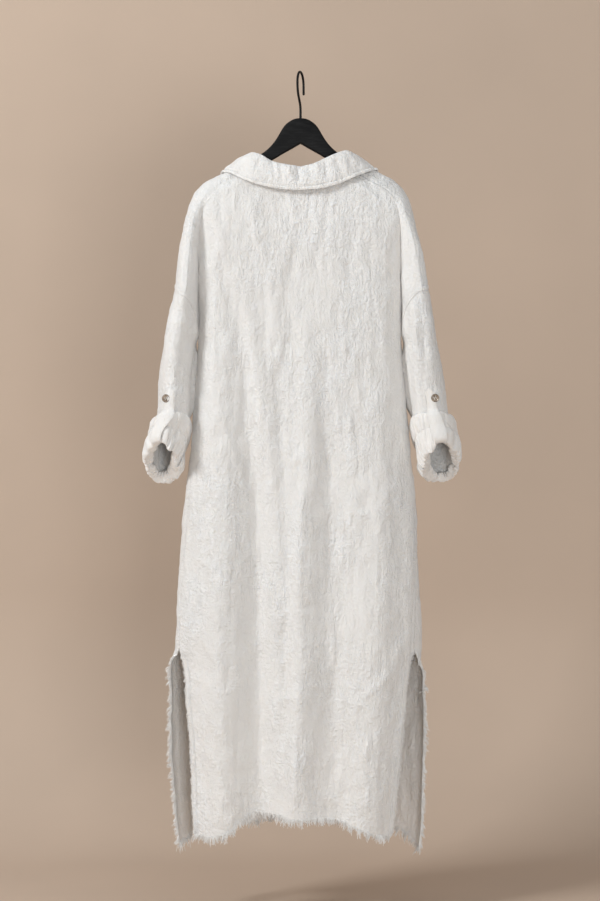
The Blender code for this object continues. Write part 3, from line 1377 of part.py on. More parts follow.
def build_hanger(blocks, black_wood, black_wire):
    """The hanger with its drilled socket, and the hook that stands in it."""
    points, faces = hanger_mesh(blocks)
    hanger = add_object("hanger", points, faces, black_wood, smooth_angle=28.0)
    top = HANGER_NECK[0][1]
    bpy.ops.mesh.primitive_cylinder_add(
        vertices=12,
        radius=(0.5 * HOOK_WIRE + HOOK_SOCKET_GAP) * MM,
        depth=(HOOK_SOCKET_DEPTH + 6.0) * MM,
        location=(0.0, 0.0, -(top + 0.5 * HOOK_SOCKET_DEPTH - 3.0) * MM),
    )
    cutter = bpy.context.active_object
    cutter.name = "socket_cutter"
    cutter.hide_render = True
    cutter.display_type = "WIRE"
    socket = hanger.modifiers.new("socket", "BOOLEAN")
    socket.object = cutter
    socket.operation = "DIFFERENCE"
    socket.solver = "EXACT"
    points, faces = tube_mesh(hook_path(), 0.5 * HOOK_WIRE, HOOK_SIDES)
    add_object("hanger_hook", points, faces, black_wire, smooth_angle=50.0)


def main():
    """Builds every piece."""
    clear_scene()
    linen = material("linen", (0.86, 0.84, 0.81), 0.85)
    thread = material("linen thread", (0.84, 0.81, 0.77), 0.9)
    horn = material("horn button", (0.36, 0.29, 0.22), 0.35)
    black_wood = material("black wood", (0.012, 0.012, 0.013), 0.5)
    black_wire = material("black wire", (0.01, 0.01, 0.011), 0.35, metallic=0.0)
    sections = Sections()
    blocks = build_cloth(sections, linen)
    build_collar(sections, blocks, linen)
    build_sleeve_ends(sections, linen, horn)
    build_front_buttons(blocks, horn)
    build_fringe(blocks, thread)
    build_hanger(blocks, black_wood, black_wire)


main()
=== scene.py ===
"""The looks of a crinkled linen shirt dress on a flat black hanger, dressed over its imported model.

Tables are in millimetres, and a drop is the distance below the origin, which is the hook's inner top.
The wearer's front faces -Y, so the wearer's left is +X, and the camera looks at the back from +Y.
"""

from __future__ import annotations

import json
import logging
import math
from collections.abc import Iterable, Sequence
from dataclasses import dataclass, field
from enum import Enum
from typing import ClassVar

import bmesh
import bpy
import numpy as np
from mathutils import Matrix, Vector
from mathutils.bvhtree import BVHTree
from mathutils.kdtree import KDTree

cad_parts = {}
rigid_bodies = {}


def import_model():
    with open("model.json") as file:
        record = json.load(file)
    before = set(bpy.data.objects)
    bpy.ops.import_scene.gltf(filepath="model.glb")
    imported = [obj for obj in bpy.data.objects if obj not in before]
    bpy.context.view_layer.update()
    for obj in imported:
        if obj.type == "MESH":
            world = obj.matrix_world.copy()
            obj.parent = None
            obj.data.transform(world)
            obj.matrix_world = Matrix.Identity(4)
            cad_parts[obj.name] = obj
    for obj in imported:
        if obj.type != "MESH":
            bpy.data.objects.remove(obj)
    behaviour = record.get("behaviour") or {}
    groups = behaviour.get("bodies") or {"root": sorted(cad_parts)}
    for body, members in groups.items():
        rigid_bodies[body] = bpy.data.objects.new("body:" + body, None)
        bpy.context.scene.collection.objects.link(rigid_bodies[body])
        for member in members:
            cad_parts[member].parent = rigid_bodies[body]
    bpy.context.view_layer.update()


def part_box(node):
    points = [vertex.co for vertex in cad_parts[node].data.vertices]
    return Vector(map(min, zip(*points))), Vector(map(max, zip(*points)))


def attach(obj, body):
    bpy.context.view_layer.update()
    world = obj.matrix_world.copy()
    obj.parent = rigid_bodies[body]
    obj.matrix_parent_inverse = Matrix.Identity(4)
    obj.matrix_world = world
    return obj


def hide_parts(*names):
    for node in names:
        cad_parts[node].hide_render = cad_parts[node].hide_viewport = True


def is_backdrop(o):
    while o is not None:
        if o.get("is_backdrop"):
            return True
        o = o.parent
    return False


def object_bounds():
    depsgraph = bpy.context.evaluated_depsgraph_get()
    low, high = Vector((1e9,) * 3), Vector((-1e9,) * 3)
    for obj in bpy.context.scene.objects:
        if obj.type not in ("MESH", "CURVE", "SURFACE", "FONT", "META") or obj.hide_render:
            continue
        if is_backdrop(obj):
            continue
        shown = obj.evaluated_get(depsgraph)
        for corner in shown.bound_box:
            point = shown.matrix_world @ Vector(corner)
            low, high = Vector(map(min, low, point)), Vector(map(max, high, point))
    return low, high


Array = np.ndarray
Grid = list[Array]
Line = tuple[Array, Array]
Knot = tuple[float, float]
Faces = list[list[int]]
Triple = tuple[float, float, float]
Colour = Triple
Creases = Sequence[tuple["Face", tuple["Crease", ...]]]
Material, Object = bpy.types.Material, bpy.types.Object
Node, NodeTree, Socket = bpy.types.Node, bpy.types.NodeTree, bpy.types.NodeSocket
LOG = logging.getLogger("shirt_dress")

MM = 0.001
# Directions are read along a line beside its points, too short to add to its length
FAINT, STRONG = 1e-6, 1e6
BODY = "root"

UNDERARM_DROP = 507.0
SLIT_DROP = 1104.0
SLEEVE_LEVEL_DROP = 600.0
SLEEVE_TOP_AT_UNDERARM = 513.0
SLEEVE_END_WAY = 0.955
NECK_SIDE_DROP = 166.0
NECK_BACK_DROP = 212.0
NECK_FRONT_DROP = 300.0
NECK_HALF_WIDTH = 99.0
FRONT_LAP = 15.0
LAP_LIFT = 1.85
LAP_RAMP = 32.0
LATTICE_STEP = 4.0
SLIT_STEP = (SLIT_DROP - UNDERARM_DROP) / 150.0

FINE = 4
BODY_COLUMNS = 12 * FINE
ARM_COLUMNS = {"back": 4 * FINE, "top": 2 * FINE, "front": 6 * FINE}
UPPER_ROWS = 60
UPPER_CROWDING = 1.25
SIDE_ROWS = 120
SLIT_ROWS = 72
SLEEVE_UPPER_ROWS = 30
SLEEVE_SWEEP_ROWS = 36

SIGNS = {"left": 1.0, "right": -1.0}

# Level sections above the underarm
UPPER_COLUMNS = (
    "drop", "out_left", "out_right", "seam_left", "seam_right", "valley_left", "valley_right",
    "body_depth", "arm_depth", "valley_depth", "ridge_y", "turn",
)
UPPER = (
    (160, 88, 88, 68, 68, 52, 52, 15, 8, 11, -4, 0), (166, 99, 99, 77, 77, 60, 60, 16, 9, 12, -4, 0),
    (180, 125, 127, 98, 98, 78, 78, 18, 11, 14, -6, 0),
    (195, 154, 158, 124, 124, 102, 102, 22, 13, 17, -7, 0),
    (210, 182, 182, 147, 147, 128, 128, 26, 15, 20, -8, 0),
    (228, 203, 200, 171, 173, 155, 157, 30, 19, 24, -8, 0),
    (247, 212, 209, 188, 192, 176, 178, 33, 25, 27, -8, 8),
    (272, 219.5, 216, 199.5, 200, 188, 188, 36, 33, 27, -7, 30),
    (307, 227.5, 224, 206.5, 210, 193, 191, 39, 42, 22, -7, 52),
    (346, 234.5, 233, 211.5, 219.5, 195, 192, 41, 49, 17, -7, 64),
    (380, 238.5, 238.5, 214, 225, 196, 192, 42, 53, 13, -7, 72),
    (416, 242, 244, 217, 230, 196.5, 193, 43, 56, 9, -7, 80),
    (455, 250, 250, 222, 233, 197, 194, 44.5, 58, 5, -7, 86),
    (507, 260, 259, 228, 236, 196, 194, 46, 58, 1.7, -7, 90),
)

# Level sections of the body below the underarm, with the slits' edges from SLIT_DROP down
LOWER_COLUMNS = (
    "drop", "seam_left", "seam_right", "edge_left", "edge_right", "out_left", "out_right",
    "seam_depth", "edge_depth", "out_depth", "crest_inset", "back_depth", "front_depth", "turn",
)
LOWER = (
    (507, 196, 194, 196, 194, 197, 195, 1.7, 1.7, -2, 20, 46, 55, 90),
    (530, 195, 193, 195, 193, 197, 195.5, 2.5, 2.5, -6, 22, 47, 55, 84),
    (580, 197, 195.5, 197, 195.5, 200.5, 199, 6, 6, -7, 24, 48, 55.5, 78),
    (660, 200.5, 199.5, 200.5, 199.5, 206, 204.5, 12, 12, -7, 30, 50, 56, 70),
    (740, 205.5, 206, 205.5, 206, 212.5, 211, 16, 16, -7, 38, 52, 57, 64),
    (820, 213.5, 215, 213.5, 215, 223, 220.5, 18, 18, -7, 46, 54, 58, 58),
    (920, 222, 218.5, 222, 218.5, 231, 224.5, 19, 19, -7, 48, 56, 60, 54),
    (1010, 229, 219, 229, 219, 236.5, 229, 20, 20, -7, 50, 58, 61, 52),
    (1104, 232, 218, 232, 218, 240, 232, 21, 21, -8, 50, 60, 63, 50),
    (1135, 222, 209.5, 247, 226.5, 245, 231, 24, 10, -12, 48, 61, 63, 44),
    (1165, 218.5, 205, 249, 236, 246, 234.5, 27, 6, -16, 46, 61, 64, 40),
    (1200, 217.5, 201, 248.5, 236, 245.5, 234, 29, 4, -18, 45, 62, 64, 36),
    (1260, 212, 194.5, 248, 237.5, 245, 235, 31, 3, -20, 44, 63, 65, 34),
    (1336, 207, 187, 245, 236, 242, 233.5, 33, 2, -22, 42, 65, 66, 32),
    (1420, 203, 178, 239, 235, 236, 232, 35, 2, -24, 40, 67, 67, 30),
    (1500, 201, 169, 230, 228, 227, 225, 36, 2, -26, 40, 69, 68, 30),
)

# Level sections of the sleeves from the underarm to where they begin to tip backwards
SLEEVE_COLUMNS = (
    "drop", "inner_left", "inner_right", "seam_left", "seam_right", "out_left", "out_right",
    "arm_depth", "ridge_y",
)
SLEEVE = (
    (507, 197, 195, 228, 236, 260, 259, 58, -7), (520, 202.5, 199, 230, 237, 262, 261, 58, -7),
    (550, 207.5, 202, 235, 241, 267, 267, 57, -7), (600, 213, 209, 242, 247, 272.5, 277, 55, -6),
    (620, 215, 212, 244, 250, 274, 280, 54, -6),
)

# The sleeve's end, as level rings that move and tip while they shrink
SWEEP_COLUMNS = ("way", "x_left", "x_right", "y", "drop", "tip", "lean", "wide", "deep")
SWEEP = (
    (0, 242.75, 243, -6, 600, 0, 0, 1, 1), (0.25, 244, 248, -4, 640, 10, 1, 0.99, 1),
    (0.5, 247.5, 253, 1, 679, 22, 4, 1, 0.97), (0.75, 256, 260, 11, 712, 31, 9, 0.95, 0.94),
    (1, 265, 268, 24, 741, 38, 14, 0.88, 0.92),
)

# Main folds: troughs are negative, crests positive, with a width for each flank
FOLD_COLUMNS = ("drop", "x", "left_width", "right_width", "depth")
BACK_FOLDS = (
    (
        (350, 150, 10, 10, 0), (450, 128, 14, 14, -5), (547, 112, 18, 18, -9), (684, 98, 24, 24, -15),
        (820, 86, 28, 26, -23), (1000, 82, 32, 28, -27), (1250, 80, 34, 30, -30), (1500, 78, 36, 32, -32),
    ),
    (
        (290, 97, 8, 8, 0), (400, 82, 12, 12, -4), (502, 68, 14, 14, -6), (629, 44, 16, 16, -7),
        (760, 36, 12, 12, -3), (850, 34, 10, 10, 0),
    ),
    (
        (240, 26, 8, 10, 0), (350, 18, 12, 14, -3), (502, 24, 14, 18, -5), (629, 40, 12, 18, -4),
        (760, 38, 12, 14, -4), (946, 24, 12, 10, -5), (1129, 31, 12, 12, -4), (1300, 36, 12, 12, 0),
    ),
    (
        (440, -10, 12, 18, 0), (530, -12, 13, 20, 4), (638, -16, 16, 26, 8), (743, -15, 16, 28, 10),
        (882, -1, 15, 30, 13), (1079, 0, 16, 32, 14), (1326, 7, 18, 34, 15), (1500, 15, 18, 36, 15),
    ),
    (
        (540, -44, 22, 22, 0), (700, -52, 24, 28, -8), (1000, -62, 28, 34, -13), (1500, -62, 30, 36, -13),
    ),
    (
        (460, 166, 18, 18, 0), (640, 162, 22, 22, 6), (820, 156, 26, 28, 9), (1500, 154, 28, 30, 9),
    ),
    (
        (600, -150, 24, 22, 0), (820, -152, 34, 24, 8), (1100, -150, 38, 26, 10), (1500, -128, 38, 28, 9),
    ),
)
FRONT_FOLDS = (
    (
        (380, 118, 12, 12, 0), (620, 104, 22, 20, -11), (1000, 96, 30, 26, -22), (1500, 92, 34, 30, -27),
    ),
    (
        (600, 48, 18, 16, 0), (900, 46, 22, 18, 7), (1500, 42, 24, 18, 10),
    ),
    (
        (420, -96, 14, 14, 0), (700, -88, 22, 24, -12), (1100, -84, 28, 30, -21), (1500, -88, 30, 34, -24),
    ),
    (
        (620, -146, 22, 22, 0), (900, -148, 28, 24, 9), (1500, -150, 30, 26, 11),
    ),
)

# Where the sleeve is set in, as a drop at each point round the dropped shoulder
ARMHOLE = {
    "left": (
        (0, 507), (0.5, 466), (1, 436), (2, 414), (3, 432), (3.6, 466), (4, 507),
    ),
    "right": (
        (0, 507), (0.5, 452), (1, 424), (2, 416), (3, 432), (3.6, 466), (4, 507),
    ),
}

BACK_HEM = (
    (-176, 1462), (-159, 1459), (-124, 1446), (-94, 1434), (-77, 1426), (-35, 1421), (-18, 1421), (18, 1421),
    (53, 1414), (84, 1414), (106, 1424), (119, 1435), (138, 1449), (162, 1457), (204, 1458),
)
FRONT_HEM = (
    (-232, 1494), (-224, 1486), (-199, 1468), (-176, 1460), (-90, 1447), (0, 1442), (90, 1446), (160, 1458),
    (202, 1470), (220, 1478), (238, 1481),
)

# The collar from the middle of the back to its front end
COLLAR_COLUMNS = ("way", "roll_x", "roll_y", "roll_drop", "edge_x", "edge_drop", "stand_off", "puff")
COLLAR = {
    "left": (
        (0, 0, 25, 184, 0, 231, 12, 7), (0.13, 26, 24.5, 180, 33, 229, 11, 7.5),
        (0.27, 54, 21.5, 173, 72, 222, 10, 7), (0.38, 76, 15, 159.5, 108, 209.5, 9, 6),
        (0.45, 88, 6, 154.5, 136, 194.5, 8, 4.5), (0.5, 92, -5, 153, 153, 188.5, 7, 3.5),
        (0.54, 91, -18, 157, 154, 197, 9, 4), (0.6, 80, -37, 178, 147, 222, 8, 5),
        (0.75, 56, -54, 222, 127, 272, 7, 6), (0.9, 33, -59.5, 264, 105, 318, 6.5, 5),
        (1, 19, -61.5, 290, 95, 338, 6, 3.5),
    ),
    "right": (
        (0, 0, 25, 184, 0, 231, 12, 7), (0.13, 24, 24.5, 178, 34, 228, 11, 7.5),
        (0.27, 54, 21.5, 164.5, 74, 217.5, 10, 7), (0.38, 75, 15, 154.5, 108, 202, 9, 6),
        (0.45, 86, 6, 151, 134, 190.5, 8, 4.5), (0.5, 90, -5, 150.5, 148, 185.5, 7, 3.5),
        (0.54, 90, -18, 156, 150, 195, 8, 4), (0.6, 80, -37, 178, 146, 220, 8, 5),
        (0.75, 56, -54, 222, 126, 271, 7, 6), (0.9, 33, -59.5, 264, 104, 317, 6.5, 5),
        (1, 19, -61.5, 290, 94, 336, 6, 3.5),
    ),
}
STAND_BASE_GAP = 0.5
STAND_FRONT_GAP = 1.5

# The rolled cuff's outline, as a place along the sleeve's end and a distance off the sleeve's middle
CUFF_PROFILE = (
    (0.5, 1.5), (0.637, 1.5), (0.796, 1.5), (0.965, 1.4), (0.975, -1), (0.99, -4), (1.04, -3.6), (1.08, 1),
    (1.085, 6), (1.03, 10.2), (0.93, 12.8), (0.83, 13.2), (0.765, 11.4), (0.742, 9), (0.715, 11.4),
    (0.63, 12.6), (0.545, 12.2), (0.488, 9.6), (0.462, 6), (0.468, 2.8),
)

# The roll tab's middle line in the same terms, from its tip to its end inside the opening
TAB_PROFILE = (
    (0.065, 2.3), (0.135, 2.3), (0.159, 2.3), (0.318, 2.3), (0.42, 3), (0.461, 6.8), (0.56, 11.2),
    (0.75, 12), (0.93, 11.7), (1.032, 8.4), (1.056, 1), (1.02, -6.2),
)
TAB_COLUMN = {"left": (4.1, 4.42), "right": (3.76, 3.9)}
TAB_HALF_COLUMNS = {"left": 0.26, "right": 0.35}

HANGER_COLUMNS = ("x", "top", "bottom")
HANGER_NECK = (
    (0, 87, 136), (8, 87.6, 140.5), (15, 89.8, 144.5), (24, 95, 149.5), (33, 104, 154.5), (38.5, 113, 157.5),
    (44, 122.5, 161), (50, 131.5, 164.5), (57, 140, 168.5), (66, 148.5, 173.5), (76, 155.5, 179.5),
    (88, 162.6, 186),
)
HANGER_UNDER_RIDGE = 3.0
HANGER_BOTTOM_SLOPE = 0.566
HANGER_END_X = 188.0
HANGER_SWEEP = 0.045
HOOK_WIRE = 4.6
HOOK_INNER_RADIUS = 20.5
HOOK_TURN = math.radians(15.0)

FRONT_BUTTONS = 9


def table(columns: Sequence[str], rows: Sequence[Sequence[float]]) -> dict[str, Array]:
    """Names a table's columns.

    Args:
        columns: The columns' names.
        rows: The table's rows.

    Returns:
        Each column as an array.
    """
    values = np.array(rows, dtype=float)
    return {name: values[:, index] for index, name in enumerate(columns)}


def smooth(xs: Array, ys: Array, at: Array | float) -> Array:
    """Reads a smooth curve that never overshoots its points.

    Args:
        xs: The points' places, rising.
        ys: The points' values.
        at: Where to read.

    Returns:
        The values there.
    """
    at = np.asarray(at, dtype=float)
    step = np.diff(xs)
    rate = np.diff(ys) / step
    slope = np.empty(len(xs))
    slope[0], slope[-1] = rate[0], rate[-1]
    for i in range(1, len(xs) - 1):
        before, after = rate[i - 1], rate[i]
        if before * after <= 0:
            slope[i] = 0.0
            continue
        first = 2 * step[i] + step[i - 1]
        second = step[i] + 2 * step[i - 1]
        slope[i] = (first + second) / (first / before + second / after)
    inside = np.clip(at, xs[0], xs[-1])
    k = np.clip(np.searchsorted(xs, inside, side="right") - 1, 0, len(xs) - 2)
    t = (inside - xs[k]) / step[k]
    return (
        (1 + 2 * t) * (1 - t) ** 2 * ys[k]
        + t * (1 - t) ** 2 * step[k] * slope[k]
        + t * t * (3 - 2 * t) * ys[k + 1]
        + t * t * (t - 1) * step[k] * slope[k + 1]
    )


def ease(t: Array | float) -> Array:
    """0 to 1 with level ends."""
    t = np.clip(t, 0.0, 1.0)
    return t * t * (3 - 2 * t)


def curve_through(knots: Sequence[Sequence[float]], start: Array, end: Array, per_segment: int = 14) -> Array:
    """Draws a smooth curve through knots.

    Args:
        knots: The points that it passes.
        start: Its direction as it leaves the first.
        end: Its direction as it reaches the last.
        per_segment: The points on each stretch.

    Returns:
        The curve's points.
    """
    knots = np.array(knots, dtype=float)
    span = np.maximum(np.linalg.norm(np.diff(knots, axis=0), axis=1), 0.05)
    rate = np.diff(knots, axis=0) / span[:, None]
    slope = np.empty_like(knots)
    slope[0] = start
    slope[-1] = end
    slope[1:-1] = (rate[:-1] * span[1:, None] + rate[1:] * span[:-1, None]) / (span[:-1] + span[1:])[:, None]
    t = (np.arange(per_segment) / per_segment)[None, :, None]
    low, high = knots[:-1, None], knots[1:, None]
    points = (
        (1 + 2 * t) * (1 - t) ** 2 * low
        + t * (1 - t) ** 2 * (span[:, None] * slope[:-1])[:, None]
        + t * t * (3 - 2 * t) * high
        + t * t * (t - 1) * (span[:, None] * slope[1:])[:, None]
    )
    return np.concatenate([points.reshape(-1, knots.shape[1]), knots[-1:]])


def lengths_along(points: Array) -> Array:
    """The length of a polyline up to each of its points."""
    return np.concatenate([[0.0], np.cumsum(np.linalg.norm(np.diff(points, axis=0), axis=1))])


def along(points: Array, fractions: Array) -> Array:
    """Reads a polyline at fractions of its length.

    Args:
        points: The polyline.
        fractions: Shares of its whole length.

    Returns:
        The points there.
    """
    length = lengths_along(points)
    wanted = np.asarray(fractions) * length[-1]
    return np.stack([np.interp(wanted, length, points[:, axis]) for axis in range(points.shape[1])], axis=1)


def spline(points: Sequence[Sequence[float]], per_segment: int, closed: bool = False) -> Array:
    """Rounds a polyline out.

    Args:
        points: The points that the curve passes.
        per_segment: The new points on each stretch.
        closed: Whether the last point joins the first.

    Returns:
        The curve's points.
    """
    points = np.array(points, dtype=float)
    if closed:
        padded = np.concatenate([points[-1:], points, points[:2]])
    else:
        first = 2 * points[:1] - points[1:2]
        last = 2 * points[-1:] - points[-2:-1]
        padded = np.concatenate([first, points, last])
    t = (np.arange(per_segment) / per_segment)[:, None]
    pieces = []
    for i in range(len(padded) - 3):
        a, b, c, d = padded[i : i + 4]
        pieces.append(
            0.5 * (2 * b + (c - a) * t + (2 * a - 5 * b + 4 * c - d) * t**2 + (3 * b - a - 3 * c + d) * t**3)
        )
    if not closed:
        pieces.append(points[-1:])
    return np.concatenate(pieces)


def heading(degrees: float, sense: float) -> Array:
    """A direction that leaves the middle line and turns towards the back or the front by degrees."""
    angle = math.radians(degrees)
    return np.array([math.cos(angle), sense * math.sin(angle)])


@dataclass
class Sections:
    """The mid-surface of the dress, read at any column across and at any drop."""

    shoulder_reach: float = 0.9
    shoulder_blend: Knot = (0.4, 0.6)
    closing_drop: float = 400.0
    underarm_ease: float = 36.0
    arm_inner: float = 0.42
    arm_narrowing: float = 0.12
    arm_depth: float = 0.78
    sleeve_ease: float = 40.0
    crest_fall: float = 0.3
    front_crest_inset: float = 24.0
    front_crest_depth: float = 0.72
    slit_ease: float = 60.0
    slit_way: Knot = (0.1, 1.0)
    per_segment: int = 14
    lattices: dict[tuple[str, str], Array] = field(default_factory=dict)

    def __post_init__(self) -> None:
        """Fills the lattices of both sides."""
        self.upper = table(UPPER_COLUMNS, UPPER)
        self.lower = table(LOWER_COLUMNS, LOWER)
        self.sleeve = table(SLEEVE_COLUMNS, SLEEVE)
        self.sweep = table(SWEEP_COLUMNS, SWEEP)
        upper = self.spaced(UPPER[0][0], UNDERARM_DROP, LATTICE_STEP)
        lower = self.spaced(UNDERARM_DROP, LOWER[-1][0], SLIT_STEP)
        sleeve = self.spaced(UNDERARM_DROP, SLEEVE_LEVEL_DROP, LATTICE_STEP)
        self.levels = {
            "back upper": upper, "front upper": upper, "arm upper": upper,
            "back lower": lower, "front lower": lower, "arm lower": sleeve,
        }
        body = np.linspace(0.0, 1.0, BODY_COLUMNS + 1)
        arm = {name: np.linspace(0.0, 1.0, count + 1) for name, count in ARM_COLUMNS.items()}
        for side in SIGNS:
            for part, section in (("upper", self.upper_body), ("lower", self.lower_body)):
                for face in ("back", "front"):
                    rows = [section(face, side, drop, body) for drop in self.levels[f"{face} {part}"]]
                    self.lattices[f"{face} {part}", side] = np.array(rows)
            for part, section in (("upper", self.upper_arm), ("lower", self.lower_arm)):
                rows = [section(side, drop, arm) for drop in self.levels["arm " + part]]
                self.lattices["arm " + part, side] = np.array(rows)

    @staticmethod
    def spaced(first: float, last: float, step: float) -> Array:
        """Drops at even steps, with the last one kept."""
        return np.append(np.arange(first, last, step), last)

    @staticmethod
    def row(source: dict[str, Array], side: str, drop: float) -> dict[str, float]:
        """Reads one row of a table.

        Args:
            source: The table.
            side: The side whose columns are wanted.
            drop: The row's drop.

        Returns:
            The values, with the side left off their names.
        """
        other = "_right" if side == "left" else "_left"
        values = {}
        for name, column in source.items():
            if not name.endswith(other) and name != "drop":
                values[name.removesuffix("_" + side)] = float(smooth(source["drop"], column, drop))
        return values

    def front_trough(self, v: dict[str, float], drop: float) -> float:
        """The y of the front's trough, which closes on the back's towards the underarm."""
        closing = ease((drop - self.closing_drop) / (UNDERARM_DROP - self.closing_drop))
        return -v["valley_depth"] + 2 * v["ridge_y"] * (1 - closing)

    def upper_body(self, face: str, side: str, drop: float, fractions: Array) -> Array:
        """One face of the body from the middle line to the trough beside the dropped shoulder.

        Args:
            face: back or front.
            side: left or right.
            drop: The section's drop.
            fractions: The places along it.

        Returns:
            Points with their distance from the middle and their y.
        """
        v = self.row(self.upper, side, drop)
        deep, trough, sense = v["body_depth"], v["valley_depth"], -1.0
        if face == "front":
            deep, trough, sense = 2 * v["ridge_y"] - v["body_depth"], self.front_trough(v, drop), 1.0
        near, far = self.shoulder_blend
        shoulder = (self.shoulder_reach * v["valley"], near * trough + far * deep)
        knots = [(0.0, deep), (0.5 * v["valley"], deep), shoulder, (v["valley"], trough)]
        return along(curve_through(knots, (1.0, 0.0), heading(v["turn"], sense)), fractions)

    def lower_body(self, face: str, side: str, drop: float, fractions: Array) -> Array:
        """One face of the body below the underarm, to the side seam or the slit's edge.

        Args:
            face: back or front.
            side: left or right.
            drop: The section's drop.
            fractions: The places along it.

        Returns:
            Points as in the section above, which they ease into at the underarm.
        """
        v = self.row(self.lower, side, drop)
        seam, depth = (v["seam"], v["seam_depth"]), v[face + "_depth"]
        if face == "back":
            crest = (v["seam"] - v["crest_inset"], depth - self.crest_fall * (depth - v["seam_depth"]))
            knots = [(0.0, depth), (0.5 * v["seam"], depth), crest, seam]
            leaving = heading(v["turn"], -1.0)
        else:
            edge = (v["edge"], v["edge_depth"]) if drop > SLIT_DROP else seam
            crest = (v["out"] - self.front_crest_inset, -depth * self.front_crest_depth)
            knots = [(0.0, -depth), (0.5 * v["seam"], -depth), crest, (v["out"], v["out_depth"]), edge]
            slit = ease((drop - SLIT_DROP) / self.slit_ease)
            leaving = (1 - slit) * heading(v["turn"], -1.0) * -1.0 + slit * np.array(self.slit_way)
            leaving = leaving / np.linalg.norm(leaving)
        points = along(curve_through(knots, (1.0, 0.0), leaving), fractions)
        share = float(ease((drop - UNDERARM_DROP) / self.underarm_ease))
        return share * points + (1 - share) * self.upper_body(face, side, UNDERARM_DROP, fractions)

    def upper_arm(self, side: str, drop: float, fractions: dict[str, Array]) -> Array:
        """Round the dropped shoulder, from the back trough by the outer side to the front trough.

        Args:
            side: left or right.
            drop: The section's drop.
            fractions: The places along each stretch.

        Returns:
            Points with their distance from the middle and their y.
        """
        v = self.row(self.upper, side, drop)
        start, end = (v["valley"], v["valley_depth"]), (v["valley"], self.front_trough(v, drop))
        across = v["valley"] + self.arm_inner * (v["seam"] - v["valley"])
        inner = (across, v["valley_depth"] + self.arm_depth * (v["arm_depth"] - v["valley_depth"]))
        return self.arm_points(v, start, inner, end, v["turn"], fractions)

    def lower_arm(self, side: str, drop: float, fractions: dict[str, Array]) -> Array:
        """Round the sleeve, from the underarm seam by the back and the outer side and home again.

        Args:
            side: left or right.
            drop: The section's drop.
            fractions: The places along each stretch.

        Returns:
            Points with their distance from the middle and their y.
        """
        v = self.row(self.sleeve, side, drop)
        merged = ease((drop - UNDERARM_DROP) / self.sleeve_ease)
        start = (v["inner"], v["ridge_y"] * merged)
        across = v["inner"] + (self.arm_inner - self.arm_narrowing * merged) * (v["seam"] - v["inner"])
        inner = (across, self.arm_depth * v["arm_depth"])
        return self.arm_points(v, start, inner, start, 90.0, fractions)

    def arm_points(
        self, v: dict[str, float], start: Knot, inner: Knot, end: Knot, turn: float, fractions: dict[
            str, Array
        ]
    ) -> Array:
        """Goes round an arm by its back, its outer side and its front.

        Args:
            v: The section's values.
            start: Where it starts.
            inner: The knot after it, which the front mirrors.
            end: Where it ends.
            turn: The way it leaves, in degrees.
            fractions: The places along each stretch.

        Returns:
            The three stretches' points in one row.
        """
        shift = 2 * v["ridge_y"]
        outside = [(v["seam"], v["arm_depth"]), (v["out"], v["ridge_y"]), (v["seam"], shift - v["arm_depth"])]
        knots = [start, inner, *outside, (inner[0], shift - inner[1]), end]
        size = self.per_segment
        dense = curve_through(knots, heading(turn, 1.0), -heading(turn, -1.0) * np.array([1.0, -1.0]), size)
        back = along(dense[: 2 * size + 1], fractions["back"])
        top = along(dense[2 * size : 3 * size + 1], fractions["top"])
        front = along(dense[3 * size :], fractions["front"])
        return np.concatenate([back, top[1:], front[1:]])

    def read(self, lattice: str, side: str, column: int, drops: Array) -> Array:
        """Reads points of one column of a lattice.

        Args:
            lattice: The lattice's name.
            side: left or right.
            column: The column's number.
            drops: The drops to read at.

        Returns:
            Points in millimetres, with z below the origin.
        """
        grid = self.lattices[lattice, side]
        drops = np.asarray(drops, dtype=float)
        x, y = (np.interp(drops, self.levels[lattice], grid[:, column, axis]) for axis in (0, 1))
        return np.stack([SIGNS[side] * x, y, -drops], axis=-1)

    def ring(self, side: str, way: float) -> Array:
        """One ring of the sleeve's end: the last level ring, scaled, tipped and carried along.

        Args:
            side: left or right.
            way: How far along the end it lies, from 0 to 1.

        Returns:
            The ring's points in millimetres.
        """
        base = self.lattices["arm lower", side][-1]
        start = self.sweep
        value = {name: float(smooth(start["way"], start[name], way)) for name in SWEEP_COLUMNS[1:]}
        flat_x = (base[:, 0] - start["x_" + side][0]) * value["wide"]
        flat_y = (base[:, 1] - start["y"][0]) * value["deep"]
        tip, lean = math.radians(value["tip"]), math.radians(value["lean"])
        across = np.array([math.cos(lean), 0.0, math.sin(lean)])
        back = np.array([-math.sin(tip) * math.sin(lean), math.cos(tip), math.sin(tip) * math.cos(lean)])
        centre = np.array([value["x_" + side], value["y"], -value["drop"]])
        ring = centre + flat_x[:, None] * across + flat_y[:, None] * back
        ring[:, 0] *= SIGNS[side]
        return ring

    def surface_y(self, face: str, side: str, x: float, drop: float) -> float:
        """Reads the mid-surface of the upper dress.

        Args:
            face: back or front.
            side: left or right.
            x: The distance from the middle.
            drop: The drop.

        Returns:
            Its y there.
        """
        levels = self.levels["arm upper"]
        level = int(np.clip(np.searchsorted(levels, drop), 1, len(levels) - 1))
        low, high = levels[level - 1], levels[level]
        share = float(np.clip((drop - low) / (high - low), 0.0, 1.0))
        body, arm = self.lattices[face + " upper", side], self.lattices["arm upper", side]
        ridge = ARM_COLUMNS["back"] + ARM_COLUMNS["top"]
        arm_part = arm[:, : ridge + 1] if face == "back" else arm[:, : ridge - 1 : -1]
        line = np.concatenate([body, arm_part[:, 1:]], axis=1)
        line = (1 - share) * line[level - 1] + share * line[level]
        return float(np.interp(x, line[:, 0], line[:, 1]))


